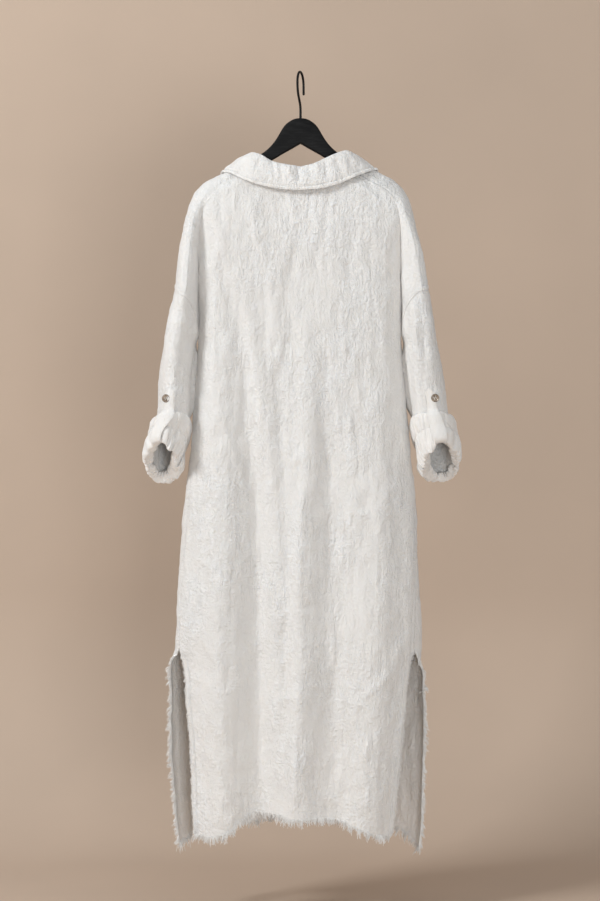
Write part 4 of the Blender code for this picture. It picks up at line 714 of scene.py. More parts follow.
def relief(folds: Sequence[Sequence[Sequence[float]]], x: Array, drop: Array) -> Array:
    """Adds up how far the main folds push the cloth out.

    Args:
        folds: Tables of folds.
        x: Places across.
        drop: Places down.

    Returns:
        The push at each place.
    """
    total = np.zeros(np.broadcast(x, drop).shape)
    for rows in folds:
        fold = table(FOLD_COLUMNS, rows)
        middle, left, right, depth = (smooth(fold["drop"], fold[name], drop) for name in FOLD_COLUMNS[1:])
        away = x - middle
        total = total + depth * np.exp(-((away / np.where(away > 0, left, right)) ** 2))
    return total


FOLD_MARGIN = 4.0
FOLD_FADE = 26.0


def folded(points: Array, half_width: Array, face: str) -> Array:
    """The points with the main folds of one face added, fading out near the sides.

    Args:
        points: Points of the body.
        half_width: The section's half width at each.
        face: back or front.

    Returns:
        The moved points.
    """
    folds, sense = (BACK_FOLDS, 1.0) if face == "back" else (FRONT_FOLDS, -1.0)
    points = points.copy()
    fade = ease((half_width - np.abs(points[..., 0]) - FOLD_MARGIN) / FOLD_FADE)
    points[..., 1] += sense * fade * relief(folds, points[..., 0], -points[..., 2])
    return points


@dataclass
class Pattern:
    """Lays the panels out on the sections as blocks of rows and columns."""

    sections: Sections
    neck_step: float = 0.25
    neck_margin: float = 0.01
    front_neck_power: float = 0.8
    hem_guess: float = 1450.0
    hem_rounds: int = 3
    lap_shares: tuple[float, ...] = (1.0, 0.75, 0.5, 0.25)
    lap_columns: int = 8
    lap_margin: float = 0.5

    def __post_init__(self) -> None:
        """Lays out every panel."""
        self.stations = [
            (name, fraction)
            for name, count in ARM_COLUMNS.items()
            for fraction in np.linspace(0.0, 1.0, count + 1)[0 if name == "back" else 1 :]
        ]
        self.shares = np.linspace(0.0, 1.0, UPPER_ROWS + 1) ** UPPER_CROWDING
        self.blocks = self.lay_out()

    def neck_drop(self, lattice: str, side: str, column: int, face: str) -> float:
        """The drop at which a column of the lattice meets the neckline.

        Args:
            lattice: The lattice's name.
            side: left or right.
            column: The column's number.
            face: back or front.

        Returns:
            The drop.
        """
        drops = np.arange(NECK_SIDE_DROP, NECK_FRONT_DROP + 1.0, self.neck_step)
        x = np.abs(self.sections.read(lattice, side, column, drops)[:, 0])
        low = NECK_BACK_DROP if face == "back" else NECK_FRONT_DROP
        share = np.clip((drops - NECK_SIDE_DROP) / (low - NECK_SIDE_DROP), 0.0, 1.0)
        if face == "back":
            half_width = NECK_HALF_WIDTH * np.sqrt(1.0 - share**2)
        else:
            half_width = NECK_HALF_WIDTH * (1.0 - share) ** self.front_neck_power + FRONT_LAP * share
        outside = x >= half_width - self.neck_margin
        return float(drops[np.argmax(outside)]) if outside.any() else low

    @staticmethod
    def armhole_drop(side: str, stretch: str, fraction: float) -> float:
        """The drop of the seam where the sleeve is set in.

        Args:
            side: left or right.
            stretch: back, top or front.
            fraction: The place along it.

        Returns:
            The drop.
        """
        base = {"back": 0.0, "top": 1.0, "front": 2.0}[stretch]
        reach = 2.0 if stretch == "front" else 1.0
        rows = np.array(ARMHOLE[side])
        return float(smooth(rows[:, 0], rows[:, 1], base + reach * fraction))

    def shoulder(self, side: str, first: int, last: int, tops: Sequence[float]) -> Array:
        """Rows from the neckline to the sleeve's seam, over the arm's columns first to last.

        Args:
            side: left or right.
            first: The first column.
            last: The last column.
            tops: The neckline's drop at each.

        Returns:
            Rows of points.
        """
        columns = []
        for column in range(first, last + 1):
            low = self.armhole_drop(side, *self.stations[column])
            top = tops[column - first]
            columns.append(self.sections.read("arm upper", side, column, top + self.shares * (low - top)))
        return np.stack(columns, axis=1)

    def half_widths(self, points: Array, lattice: str, side: str) -> Array:
        """The section's half width at each point's drop."""
        widths = self.sections.lattices[lattice, side][:, -1, 0]
        return np.interp(-points[..., 2], self.sections.levels[lattice], widths)

    def body(self, face: str, side: str, tops: Sequence[float]) -> Array:
        """The body between the neckline and the underarm's level, with its folds.

        Args:
            face: back or front.
            side: left or right.
            tops: The neckline's drop at each column.

        Returns:
            Rows of points.
        """
        lattice = face + " upper"
        columns = [
            self.sections.read(lattice, side, column, top + self.shares * (UNDERARM_DROP - top))
            for column, top in enumerate(tops)
        ]
        points = np.stack(columns, axis=1)
        return folded(points, self.half_widths(points, lattice, side), face)

    def skirt(self, face: str, side: str) -> Array:
        """The body below the underarm's level, down to the hem, with its folds.

        Args:
            face: back or front.
            side: left or right.

        Returns:
            Rows of points.
        """
        hem = np.array(BACK_HEM if face == "back" else FRONT_HEM)
        lattice = face + " lower"
        above_slit = np.linspace(UNDERARM_DROP, SLIT_DROP, SIDE_ROWS + 1)
        below_slit = np.linspace(0.0, 1.0, SLIT_ROWS + 1)[1:]
        columns = []
        for column in range(BODY_COLUMNS + 1):
            end = self.hem_guess
            for _ in range(self.hem_rounds):
                x = self.sections.read(lattice, side, column, [end])[0, 0]
                end = float(smooth(hem[:, 0], hem[:, 1], x))
            drops = np.concatenate([above_slit, SLIT_DROP + below_slit * (end - SLIT_DROP)])
            columns.append(self.sections.read(lattice, side, column, drops))
        points = np.stack(columns, axis=1)
        return folded(points, self.half_widths(points, lattice, side), face)

    def lapped(self, blocks: Grid, others: Grid, sign: float, over: bool) -> Grid:
        """Carries a front past the middle line.

        Args:
            blocks: The front's own blocks.
            others: The other front's blocks, which the lap follows.
            sign: 1 on the left and -1 on the right.
            over: Whether this front lies on the other.

        Returns:
            The blocks with the lap's columns in front.
        """
        result = []
        for block, other in zip(blocks, others):
            extra, near = [], other[:, : self.lap_columns]
            for share in self.lap_shares:
                reach = share * FRONT_LAP
                column = [[np.interp(reach, np.abs(row[:, 0]), row[:, k]) for k in range(3)] for row in near]
                extra.append(np.array(column))
            wide = np.concatenate([np.stack(extra, axis=1), block], axis=1)
            if over:
                past = FRONT_LAP + LAP_RAMP - sign * wide[..., 0]
                wide[..., 1] -= LAP_LIFT * ease(past / LAP_RAMP)
            result.append(wide)
        return result

    def sleeve(self, side: str) -> Array:
        """The sleeve from its seam to its rolled end, closed round on itself at the underarm seam.

        Args:
            side: left or right.

        Returns:
            Rows of points.
        """
        last = len(self.stations) - 1
        ways = np.linspace(0.0, SLEEVE_END_WAY, SLEEVE_SWEEP_ROWS + 1)[1:]
        swept = np.array([self.sections.ring(side, way) for way in ways])
        columns = []
        for column, station in enumerate(self.stations):
            top = SLEEVE_TOP_AT_UNDERARM if column in (0, last) else self.armhole_drop(side, *station)
            drops = np.linspace(top, SLEEVE_LEVEL_DROP, SLEEVE_UPPER_ROWS + 1)
            above = self.sections.read("arm upper", side, column, np.minimum(drops, UNDERARM_DROP))
            below = self.sections.read("arm lower", side, column, np.maximum(drops, UNDERARM_DROP))
            level = np.where((drops < UNDERARM_DROP)[:, None], above, below)
            level[:, 2] = -drops
            columns.append(np.concatenate([level, swept[:, column]]))
        block = np.stack(columns, axis=1)
        return block[:, ::-1] if side == "left" else block

    def lay_out(self) -> dict[str, Grid]:
        """Each panel's blocks, with columns that run round to the wearer's left.

        Returns:
            The blocks by the panel's name.
        """
        last = len(self.stations) - 1
        seam, top = ARM_COLUMNS["back"], ARM_COLUMNS["top"]
        blocks: dict[str, Grid] = {"back": []}
        columns = range(BODY_COLUMNS + 1)
        tops = {
            (face, side): [self.neck_drop(face + " upper", side, column, face) for column in columns]
            for face in ("back", "front")
            for side in SIGNS
        }
        bodies = {
            side: [self.body("front", side, tops["front", side]), self.skirt("front", side)] for side in SIGNS
        }
        for side, sign in SIGNS.items():
            other = "right" if side == "left" else "left"
            arm_back = [self.neck_drop("arm upper", side, column, "back") for column in range(seam + 1)]
            arm_back[0] = tops["back", side][-1]
            rise = np.linspace(arm_back[-1], NECK_SIDE_DROP, top + 1)
            below = range(seam + top + 1, last + 1)
            arm_front = list(rise) + [self.neck_drop("arm upper", side, column, "front") for column in below]
            arm_front[-1] = tops["front", side][-1]
            back = [
                self.body("back", side, tops["back", side])[:, ::-1],
                self.skirt("back", side)[:, ::-1],
                self.shoulder(side, 0, seam, arm_back)[:, ::-1],
            ]
            front = self.lapped(bodies[side], bodies[other], sign, over=side == "right")
            front.append(self.shoulder(side, seam, last, arm_front)[:, ::-1])
            if side == "right":
                front = [block[:, ::-1] for block in front]
                back = [block[:, ::-1] for block in back]
            blocks["front_" + side] = front
            blocks["back"] += back
            blocks["sleeve_" + side] = [self.sleeve(side)]
        return blocks

    def neckline(self, side: str) -> Line:
        """The neck edge's back and front parts, from the middle of the back to the front end.

        Args:
            side: left or right.

        Returns:
            Both parts' points.
        """
        upper_back, _, arm_back = self.blocks["back"][:3] if side == "left" else self.blocks["back"][3:]
        upper_front, _, arm_front = self.blocks["front_" + side]
        rows = [upper_back[0], arm_back[0], arm_front[0], upper_front[0]]
        if side == "left":
            rows = [row[::-1] for row in rows]
        back = np.concatenate([rows[0], rows[1][1:]])
        front = np.concatenate([rows[2], rows[3][1:]])
        ridge = ARM_COLUMNS["top"]
        back = np.concatenate([back, front[1 : ridge + 1]])
        keep = SIGNS[side] * front[:, 0] > FRONT_LAP - self.lap_margin
        return back, front[ridge:][keep[ridge:]]


def lattice_noise(places: Array, seed: int) -> Array:
    """Smooth noise in space.

    Args:
        places: Points, in cells of the noise.
        seed: Which noise.

    Returns:
        Values from -1 to 1.
    """
    base = np.floor(places).astype(np.int64)
    share = places - base
    share = share * share * (3 - 2 * share)
    total = np.zeros(len(places))
    for corner in range(8):
        step = np.array([corner & 1, (corner >> 1) & 1, corner >> 2])
        cell = base + step
        mixed = cell[:, 0] * 374761393 + cell[:, 1] * 668265263 + cell[:, 2] * 2147483629 + seed * 974711
        mixed = ((mixed ^ (mixed >> 13)) * 1274126177) & 0xFFFFFFFF
        value = ((mixed ^ (mixed >> 16)) & 0xFFFF) / 32767.5 - 1.0
        weight = np.prod(np.where(step, share, 1 - share), axis=1)
        total += weight * value
    return total


@dataclass(frozen=True)
class Crease:
    """One given crease, as a line on one face of the garment."""

    x0: float
    drop0: float
    x1: float
    drop1: float
    width: float
    depth: float
    bow: float = 0.0
    fading: ClassVar[float] = 0.7
    sharpness: ClassVar[float] = 1.6

    def push(self, x: Array, drop: Array) -> Array:
        """How far it pushes each place out.

        Args:
            x: Places across.
            drop: Places down.

        Returns:
            The push at each place.
        """
        run = np.array([self.x1 - self.x0, self.drop1 - self.drop0])
        size = float(np.linalg.norm(run))
        run = run / size
        t = ((x - self.x0) * run[0] + (drop - self.drop0) * run[1]) / size
        aside = -(x - self.x0) * run[1] + (drop - self.drop0) * run[0]
        inside = np.clip(t, 0.0, 1.0)
        aside = aside - self.bow * 4 * inside * (1 - inside)
        fade = np.where((t > 0) & (t < 1), np.sin(math.pi * inside) ** self.fading, 0.0)
        return self.depth * fade * np.exp(-np.abs(aside / self.width) ** self.sharpness)


def creases(rows: Iterable[Sequence[float]]) -> tuple[Crease, ...]:
    """Creases from rows of a table."""
    return tuple(Crease(*row) for row in rows)


# Creases listed one by one: first place and drop, last place and drop, width, depth, bow
BACK_CREASES = creases((
    (-199, 258, -238, 415, 6, 2.4, 3), (-194, 290, -214, 386, 6, -2.2, 2),
    (-205, 262, -226, 372, 5, -1.8, -2), (198, 262, 203, 384, 6, -1.8, 2), (206, 300, 214, 420, 6, 1.8, -2),
    (222, 330, 230, 430, 5, -1.5, 2), (22, 238, 20, 300, 2.5, -1.2, 0.5),
    (-20, 238, -21, 285, 2.5, -1.2, -0.5), (103, 235, 84, 356, 7, 2.6, 4), (84, 350, 68, 484, 8, 2.8, -3),
    (69, 478, 50, 600, 9, 2.8, 3), (21, 238, 14, 306, 6, 2, 2), (13, 300, 23, 392, 8, 2.6, -3),
    (23, 385, 20, 465, 8, 2.4, 3), (20, 455, 42, 590, 8, 2.8, -4), (41, 580, 49, 690, 7, 2.4, 2),
    (-50, 262, -41, 330, 7, -2.4, 2), (-40, 322, -27, 392, 6, -2.2, -3), (-62, 300, -55, 420, 6, 1.8, 3),
    (-112, 296, -107, 372, 5, 1.6, 2), (-93, 330, -98, 430, 6, -1.8, -3), (-77, 470, -79, 592, 4, 2.6, 5),
    (-70, 560, -73, 690, 5, 2, -3), (-66, 505, -92, 560, 5, 1.6, 2), (-30, 500, -62, 600, 7, -2, 3),
    (-104, 520, -118, 660, 7, 1.8, -4), (-138, 440, -146, 570, 7, -1.8, 3),
    (-128, 380, -133, 470, 6, 1.6, -2), (168, 262, 150, 360, 8, 2.2, 3), (150, 350, 138, 470, 7, -2.2, -3),
    (128, 400, 132, 520, 6, 1.8, 3), (174, 420, 168, 560, 7, 1.6, -4), (141, 690, 122, 770, 6, 2, 4),
    (160, 660, 150, 790, 8, -1.8, -3), (118, 560, 124, 680, 6, 1.6, 3), (23, 752, -12, 742, 4, 1.8, 2),
    (-60, 772, -110, 770, 4, 1.6, -2), (-40, 690, -58, 800, 7, -2, 3), (-118, 700, -126, 820, 6, 1.8, -3),
    (-86, 640, -104, 760, 6, 1.8, 3), (0, 760, -1, 900, 6, 2.2, 2), (-1, 880, 2, 1080, 6, 2.4, -3),
    (2, 1060, 3, 1250, 6, 2.2, 3), (4, 1230, 14, 1425, 6, 2.4, -3), (15, 820, 28, 1060, 6, 1.8, 3),
    (29, 1040, 34, 1200, 6, -1.8, -2), (46, 1206, 8, 1196, 5, 2.6, 4), (-10, 1170, -64, 1174, 4, 1.8, -3),
    (-60, 1172, -96, 1178, 4, 1.6, 2), (-82, 1203, -134, 1218, 4, 2, 3), (-88, 836, -150, 853, 4, 2, -3),
    (-4, 909, -22, 914, 4, 2, 2), (-72, 898, -82, 958, 5, 2.2, 2), (-60, 1040, -70, 1160, 6, 2, -3),
    (-30, 960, -34, 1090, 6, -2, 3), (-46, 830, -40, 950, 6, 1.8, -3), (-104, 880, -96, 1010, 7, -1.8, 3),
    (-118, 960, -126, 1080, 6, 1.8, -3), (202, 898, 158, 890, 4, 1.6, 2), (196, 932, 160, 962, 5, 1.8, 3),
    (176, 1010, 150, 1060, 6, 1.8, -3), (140, 900, 146, 1030, 7, 1.8, 3), (122, 980, 118, 1120, 7, 1.6, -3),
    (188, 1080, 164, 1130, 6, 1.8, 3), (190, 1150, 150, 1200, 6, 1.6, -2), (160, 1220, 138, 1290, 7, 1.8, 3),
    (186, 1290, 150, 1340, 6, 1.6, 2), (150, 1350, 120, 1420, 7, 1.8, -3),
    (-190, 1090, -146, 1180, 9, 3.4, 6), (-196, 1130, -158, 1240, 8, -2.8, 4),
    (-146, 1172, -106, 1216, 6, 2.2, -3), (-134, 1256, -109, 1330, 7, 2.4, 3),
    (-166, 1260, -150, 1390, 7, -2.2, -4), (-128, 1340, -122, 1440, 7, 2, 2),
    (-60, 1330, -96, 1372, 5, 1.8, 2), (-40, 1372, -84, 1404, 5, 1.8, -2), (-20, 1300, -30, 1400, 7, -2, 3),
    (-78, 1230, -74, 1330, 6, -1.8, 3), (188, 250, 132, 204, 5, 1.8, 4), (196, 268, 150, 216, 5, -1.6, 4),
    (176, 236, 118, 214, 5, 1.4, -3), (-132, 200, -190, 232, 5, 2, -4), (-124, 214, -184, 254, 5, -1.8, -4),
    (-116, 222, -160, 270, 6, 1.6, 3),
))
FRONT_CREASES = creases((
    (168, 262, 140, 380, 8, 2.4, 3), (120, 330, 104, 470, 8, -2.4, -3), (86, 380, 74, 500, 7, 2.2, 3),
    (52, 340, 46, 460, 6, 1.8, -2), (150, 470, 142, 620, 8, 2, 4), (70, 540, 60, 700, 7, 2.2, -3),
    (118, 650, 128, 790, 8, 1.8, 3), (40, 720, 44, 860, 6, 2, 3), (172, 720, 160, 860, 8, -2, -3),
    (84, 820, 70, 960, 7, 2, 3), (150, 900, 138, 1040, 8, 2, -3), (60, 1000, 66, 1150, 7, 2.2, 3),
    (190, 1040, 160, 1120, 8, 2.6, 4), (124, 1120, 130, 1270, 8, -2, -3), (70, 1200, 60, 1350, 7, 2, 3),
    (160, 1240, 170, 1380, 8, 2, -3), (40, 1290, 48, 1420, 7, 1.8, 2), (64, 1066, 22, 1058, 4, 1.8, 2),
    (140, 840, 96, 852, 4, 1.8, -2), (-164, 262, -142, 400, 8, 2.4, -3), (-118, 320, -108, 460, 8, -2.4, 3),
    (-80, 360, -88, 490, 7, 2.2, 3), (-50, 420, -46, 540, 6, 1.8, -2), (-150, 500, -158, 650, 8, 2, 4),
    (-62, 580, -74, 730, 7, 2.2, 3), (-120, 690, -112, 830, 8, 1.8, -3), (-42, 770, -38, 900, 6, 2, 3),
    (-176, 760, -166, 900, 8, -2, 3), (-78, 880, -88, 1020, 7, 2, -3), (-140, 960, -150, 1090, 8, 2, 3),
    (-56, 1040, -60, 1190, 7, 2.2, 3), (-196, 1090, -160, 1190, 8, 2.8, -4),
    (-120, 1160, -128, 1300, 8, -2, 3), (-74, 1240, -66, 1380, 7, 2, -3), (-176, 1280, -164, 1410, 8, 2, 3),
    (-34, 1300, -40, 1430, 7, 1.8, 2), (-30, 946, -84, 958, 4, 1.8, 2), (-96, 1126, -146, 1112, 4, 1.8, -2),
))
SLEEVE_CREASES = creases((
    (-215, 445, -226, 600, 7, 2, 3), (-235, 470, -240, 610, 6, -1.8, -2), (-204, 450, -213, 590, 5, -1.6, 2),
    (224, 462, 212, 560, 6, -1.8, 2), (240, 450, 236, 600, 7, 2, -2), (243, 420, 247, 560, 5, 2.4, -3),
    (229, 440, 232, 590, 6, -2.2, 3), (251, 480, 256, 620, 5, 1.8, 2), (238, 560, 240, 660, 5, 2, -2),
    (222, 560, 226, 650, 5, 2, 3), (262, 560, 262, 640, 5, -1.6, 2), (-216, 430, -222, 560, 6, 3.6, 4),
    (-232, 420, -238, 580, 6, -4.2, -3), (-246, 440, -252, 600, 5, 2.4, 3),
    (-224, 540, -230, 660, 5, 2.6, -3), (-243, 560, -246, 650, 5, -2.4, 3), (-262, 520, -268, 640, 5, 2, 2),
    (-218, 600, -236, 640, 5, 1.8, 2), (-246, 470, -228, 500, 4, 1.6, 2),
))
COLLAR_CREASES = creases((
    (57, 168, 49, 205, 5, -3.2, 1), (39, 172, 34, 212, 5, -2.6, -1), (20, 176, 24, 206, 5, 2, 1),
    (6, 180, 3, 218, 5, -3, 1), (-16, 178, -21, 214, 5, -2.4, -1), (-30, 174, -34, 200, 4, 1.8, 1),
    (-44, 170, -49, 206, 5, -2.8, 1), (-66, 164, -74, 196, 5, -1.8, 1), (76, 160, 88, 192, 5, -1.8, 1),
    (92, 158, 118, 188, 5, 1.8, 2), (-90, 156, -112, 182, 5, 1.6, -2),
))


class Face(Enum):
    """Which side of a panel a set of creases lies on."""

    BACK = 1.0
    FRONT = -1.0


@dataclass(frozen=True)
class Crinkle:
    """The fine crumple of the cloth: the size of its cells in each direction, and its height."""

    cell: tuple[float, float, float]
    height: float
    seed: int
    ridged: bool = False
    warp_cell: ClassVar[float] = 45.0
    warp_reach: ClassVar[Triple] = (6.0, 6.0, 16.0)
    ridge_slope: ClassVar[float] = 2.4

    def push(self, points: Array) -> Array:
        """How far it pushes each point out.

        Args:
            points: The points.

        Returns:
            The push at each.
        """
        warp = np.stack([lattice_noise(points / self.warp_cell, self.seed + k) for k in (11, 12, 13)], axis=1)
        places = (points + warp * np.array(self.warp_reach)) / np.array(self.cell)
        value = lattice_noise(places, self.seed)
        if self.ridged:
            value = 1.0 - self.ridge_slope * np.abs(value)
        return self.height * value


CREASE_DEPTH = 1.3
FACING_FROM = 0.1
FACING_OVER = 0.5
CRUMPLE = (
    Crinkle((17.0, 17.0, 64.0), 1.1, 3, ridged=True),
    Crinkle((10.0, 10.0, 26.0), 0.95, 5),
    Crinkle((42.0, 42.0, 120.0), 1.5, 7),
    Crinkle((22.0, 22.0, 18.0), 0.55, 9, ridged=True),
)


def crumpled(points: Array, normals: Array, sets: Creases, share: float) -> Array:
    """Adds up the creases and the crumple.

    Args:
        points: Points of a cloth's middle.
        normals: Outward directions there.
        sets: Creases, each set with the face that it lies on.
        share: How much of the fine crumple is used.

    Returns:
        How far each point moves out.
    """
    total = np.zeros(len(points))
    for face, members in sets:
        facing = ease((face.value * normals[:, 1] + FACING_FROM) / FACING_OVER)
        for crease in members:
            total += CREASE_DEPTH * facing * crease.push(points[:, 0], -points[:, 2])
    for layer in CRUMPLE:
        total += share * layer.push(points)
    return total


def unit(vectors: Array) -> Array:
    """The vectors at a length of one."""
    return vectors / np.maximum(np.linalg.norm(vectors, axis=-1, keepdims=True), 1e-9)


def grid_quads(rows: int, columns: int, start: int = 0) -> Array:
    """The quads of a block of rows and columns, facing outwards."""
    ids = start + np.arange(rows * columns).reshape(rows, columns)
    return np.stack([ids[:-1, :-1], ids[1:, :-1], ids[1:, 1:], ids[:-1, 1:]], axis=-1).reshape(-1, 4)


def volume(points: Array, faces: Sequence[Sequence[int]]) -> float:
    """Six times the volume inside a closed mesh, negative where its faces look inwards.

    Args:
        points: The mesh's points.
        faces: Its faces.

    Returns:
        The signed value.
    """
    shifted = np.asarray(points) - np.mean(points, axis=0)
    total = 0.0
    for face in faces:
        for k in range(1, len(face) - 1):
            total += float(np.dot(shifted[face[0]], np.cross(shifted[face[k]], shifted[face[k + 1]])))
    return total


def outward(points: Array, faces: Sequence[Sequence[int]]) -> Faces:
    """A closed mesh's faces, turned to look outwards."""
    step = -1 if volume(points, faces) < 0 else 1
    return [list(face[::step]) for face in faces]


def block_uv(block: Array) -> Array:
    """The block's own lengths across and down, in metres.

    Args:
        block: Rows of points.

    Returns:
        The lengths at each point.
    """
    across = np.linalg.norm(np.diff(block, axis=1), axis=-1)
    down = np.linalg.norm(np.diff(block, axis=0), axis=-1)
    u = np.concatenate([np.zeros((block.shape[0], 1)), np.cumsum(across, axis=1)], axis=1)
    v = np.concatenate([np.zeros((1, block.shape[1])), np.cumsum(down, axis=0)], axis=0)
    return np.stack([u, -v], axis=-1).reshape(-1, 2) * MM


class Cloth:
    """Panels that share their sewn edges: welded, crumpled and given their thickness together."""

    def __init__(self, blocks: dict[str, Grid]) -> None:
        """Welds the panels' blocks.

        Args:
            blocks: Each panel's blocks.
        """
        raw, uv, start = [], [], 0
        self.ids: dict[str, Grid] = {}
        quads: dict[str, Array] = {}
        for name, pieces in blocks.items():
            self.ids[name] = []
            found = []
            for block in pieces:
                rows, columns = block.shape[:2]
                found.append(grid_quads(rows, columns, start))
                self.ids[name].append(start + np.arange(rows * columns).reshape(rows, columns))
                raw.append(block.reshape(-1, 3))
                uv.append(block_uv(block))
                start += rows * columns
            quads[name] = np.concatenate(found)
        points = np.concatenate(raw)
        self.uv = np.concatenate(uv)
        _, first, weld = np.unique(
            np.round(points + 0.00317, 2), axis=0, return_index=True, return_inverse=True
        )
        self.weld = weld.reshape(-1)
        self.points = points[first]
        self.raw_quads = quads
        self.quads = {name: self.weld[found] for name, found in quads.items()}
        self.normals = self.find_normals()

    def find_normals(self) -> Array:
        """The outward direction at each welded point.

        Returns:
            The directions.
        """
        total = np.zeros_like(self.points)
        for quads in self.quads.values():
            corners = self.points[quads]
            faces = unit(np.cross(corners[:, 2] - corners[:, 0], corners[:, 3] - corners[:, 1]))
            for k in range(4):
                np.add.at(total, quads[:, k], faces)
        return unit(total)

    def sewn(self) -> Array:
        """Which points belong to more than one panel.

        Returns:
            True at each such point.
        """
        count = np.zeros(len(self.points), dtype=int)
        for quads in self.quads.values():
            count[np.unique(quads)] += 1
        return count > 1

    def seam_distance(self) -> Array:
        """How far each point lies from the nearest seam.

        Returns:
            The distances in millimetres.
        """
        places = self.points[self.sewn()]
        if not len(places):
            return np.full(len(self.points), 1e3)
        tree = KDTree(len(places))
        for number, place in enumerate(places):
            tree.insert(place, number)
        tree.balance()
        return np.array([tree.find(point)[2] for point in self.points])

    def crumple(self, sets: dict[str, Creases], share: float, fade: float) -> None:
        """Moves the points out by their creases.

        Args:
            sets: Each panel's creases.
            share: How much of the fine crumple is used.
            fade: The distance from a seam over which the creases grow.
        """
        reach = ease(self.seam_distance() / fade)
        moved = np.zeros(len(self.points))
        for name, quads in self.quads.items():
            ids = np.unique(quads)
            moved[ids] = crumpled(self.points[ids], self.normals[ids], sets.get(name, ()), share)
        self.points = self.points + self.normals * (moved * reach)[:, None]
        self.normals = self.find_normals()

    def edge(self, name: str, block: int, row: int | None = None, column: int | None = None) -> Line:
        """Reads a line of a panel.

        Args:
            name: The panel.
            block: The block's number in it.
            row: The row, or none for a column.
            column: The column, or none for a row.

        Returns:
            The line's points and the cloth's outward directions.
        """
        ids = self.ids[name][block]
        line = self.weld[ids[row] if row is not None else ids[:, column]]
        return self.points[line], self.normals[line]

    def inset(self, name: str, block: int, side: str, distance: float) -> Line:
        """Reads a line that keeps its distance from one side of a block.

        Args:
            name: The panel.
            block: The block's number in it.
            side: The top, bottom, first or last side.
            distance: How far from it, in millimetres.

        Returns:
            The line's points and the cloth's outward directions.
        """
        ids = self.weld[self.ids[name][block]]
        grid = {"top": ids, "bottom": ids[::-1], "first": ids.T, "last": ids[:, ::-1].T}[side]
        points, normals = self.points[grid], self.normals[grid]
        reach = np.cumsum(np.linalg.norm(np.diff(points, axis=0), axis=-1), axis=0)
        reach = np.concatenate([np.zeros((1, reach.shape[1])), reach])
        line, ways = [], []
        for column in range(reach.shape[1]):
            k = int(np.clip(np.searchsorted(reach[:, column], distance), 1, len(reach) - 1))
            low, high = reach[k - 1, column], reach[k, column]
            share = float(np.clip((distance - low) / max(high - low, 1e-6), 0.0, 1.0))
            line.append((1 - share) * points[k - 1, column] + share * points[k, column])
            ways.append(unit((1 - share) * normals[k - 1, column] + share * normals[k, column]))
        return np.array(line), np.array(ways)

    def solid(self, name: str, thickness: float, finish: Material) -> Object:
        """Makes a panel's closed wall.

        Args:
            name: The panel.
            thickness: The wall's thickness in millimetres.
            finish: Its material.

        Returns:
            The panel's object.
        """
        quads, raw = self.quads[name], self.raw_quads[name]
        used, local = np.unique(quads, return_inverse=True)
        local = local.reshape(quads.shape)
        count = len(used)
        half = self.normals[used] * 0.5 * thickness
        points = np.concatenate([self.points[used] + half, self.points[used] - half]) * MM
        faces, sources = [], []
        directed = {}
        for face, source in zip(local.tolist(), raw.tolist()):
            kept = [k for k in range(4) if face[k] != face[k - 1]]
            if len(kept) < 3:
                continue
            corners = [face[k] for k in kept]
            faces.append(corners)
            sources.append([source[k] for k in kept])
            for i, a in enumerate(corners):
                j = (i + 1) % len(corners)
                directed[a, corners[j]] = (sources[-1][i], sources[-1][j])
        outer = len(faces)
        for number in range(outer):
            faces.append([n + count for n in reversed(faces[number])])
            sources.append(list(reversed(sources[number])))
        for (a, b), (first, second) in directed.items():
            if (b, a) not in directed:
                faces.append([b, a, a + count, b + count])
                sources.append([second, first, first, second])
        return mesh_object("dress_" + name, points, faces, finish, self.uv, sources)


def mesh_object(
    name: str,
    points: Array,
    faces: Sequence[Sequence[int]],
    finish: Material,
    uv: Array | None = None,
    sources: Sequence[Sequence[int]] | None = None,
    sharp: float = 60.0,
) -> Object:
    """Makes an object from points and faces.

    Args:
        name: The object's name.
        points: Points in metres.
        faces: Faces that look outwards.
        finish: The material.
        uv: Places on the cloth, in metres.
        sources: The number in uv for each corner of each face.
        sharp: The angle in degrees past which an edge is sharp.

    Returns:
        The object.
    """
    mesh = bpy.data.meshes.new(name)
    mesh.from_pydata(points.tolist(), [], [list(face) for face in faces])
    if uv is not None:
        layer = mesh.uv_layers.new(name="cloth")
        order = [n for face in (sources or faces) for n in face]
        layer.data.foreach_set("uv", np.asarray(uv)[order].astype(np.float32).ravel())
    mesh.shade_smooth()
    mesh.set_sharp_from_angle(angle=math.radians(sharp))
    mesh.materials.append(finish)
    return linked(name, mesh)


class Drape:
    """The outside of finished cloth, which trims and stitches are laid on."""

    above: ClassVar[float] = 6.0
    reach: ClassVar[float] = 0.014

    def __init__(self, pieces: Sequence[Object]) -> None:
        """Reads the pieces' surfaces.

        Args:
            pieces: The pieces.
        """
        points, faces, start = [], [], 0
        for piece in pieces:
            mesh = piece.data
            points += [vertex.co.copy() for vertex in mesh.vertices]
            faces += [[start + n for n in polygon.vertices] for polygon in mesh.polygons]
            start += len(mesh.vertices)
        self.tree = BVHTree.FromPolygons(points, faces)

    def lay(self, line: Array, normals: Array, lift: float) -> Line:
        """Lays a line on the surface.

        Args:
            line: Points near it, in millimetres.
            normals: The way out at each point.
            lift: How far above the surface the line goes.

        Returns:
            The laid points and the surface's directions, in millimetres.
        """
        places, ways = [], []
        for point, normal in zip(line, normals):
            start = Vector((point + normal * self.above) * MM)
            hit, way, _, _ = self.tree.ray_cast(start, Vector(-normal), self.reach)
            if hit is None:
                hit, way, _, _ = self.tree.find_nearest(Vector(point * MM))
            if way.dot(Vector(normal)) < 0:
                way = -way
            places.append(np.array(hit) / MM + np.array(way) * lift)
            ways.append(np.array(way))
        return np.array(places), np.array(ways)


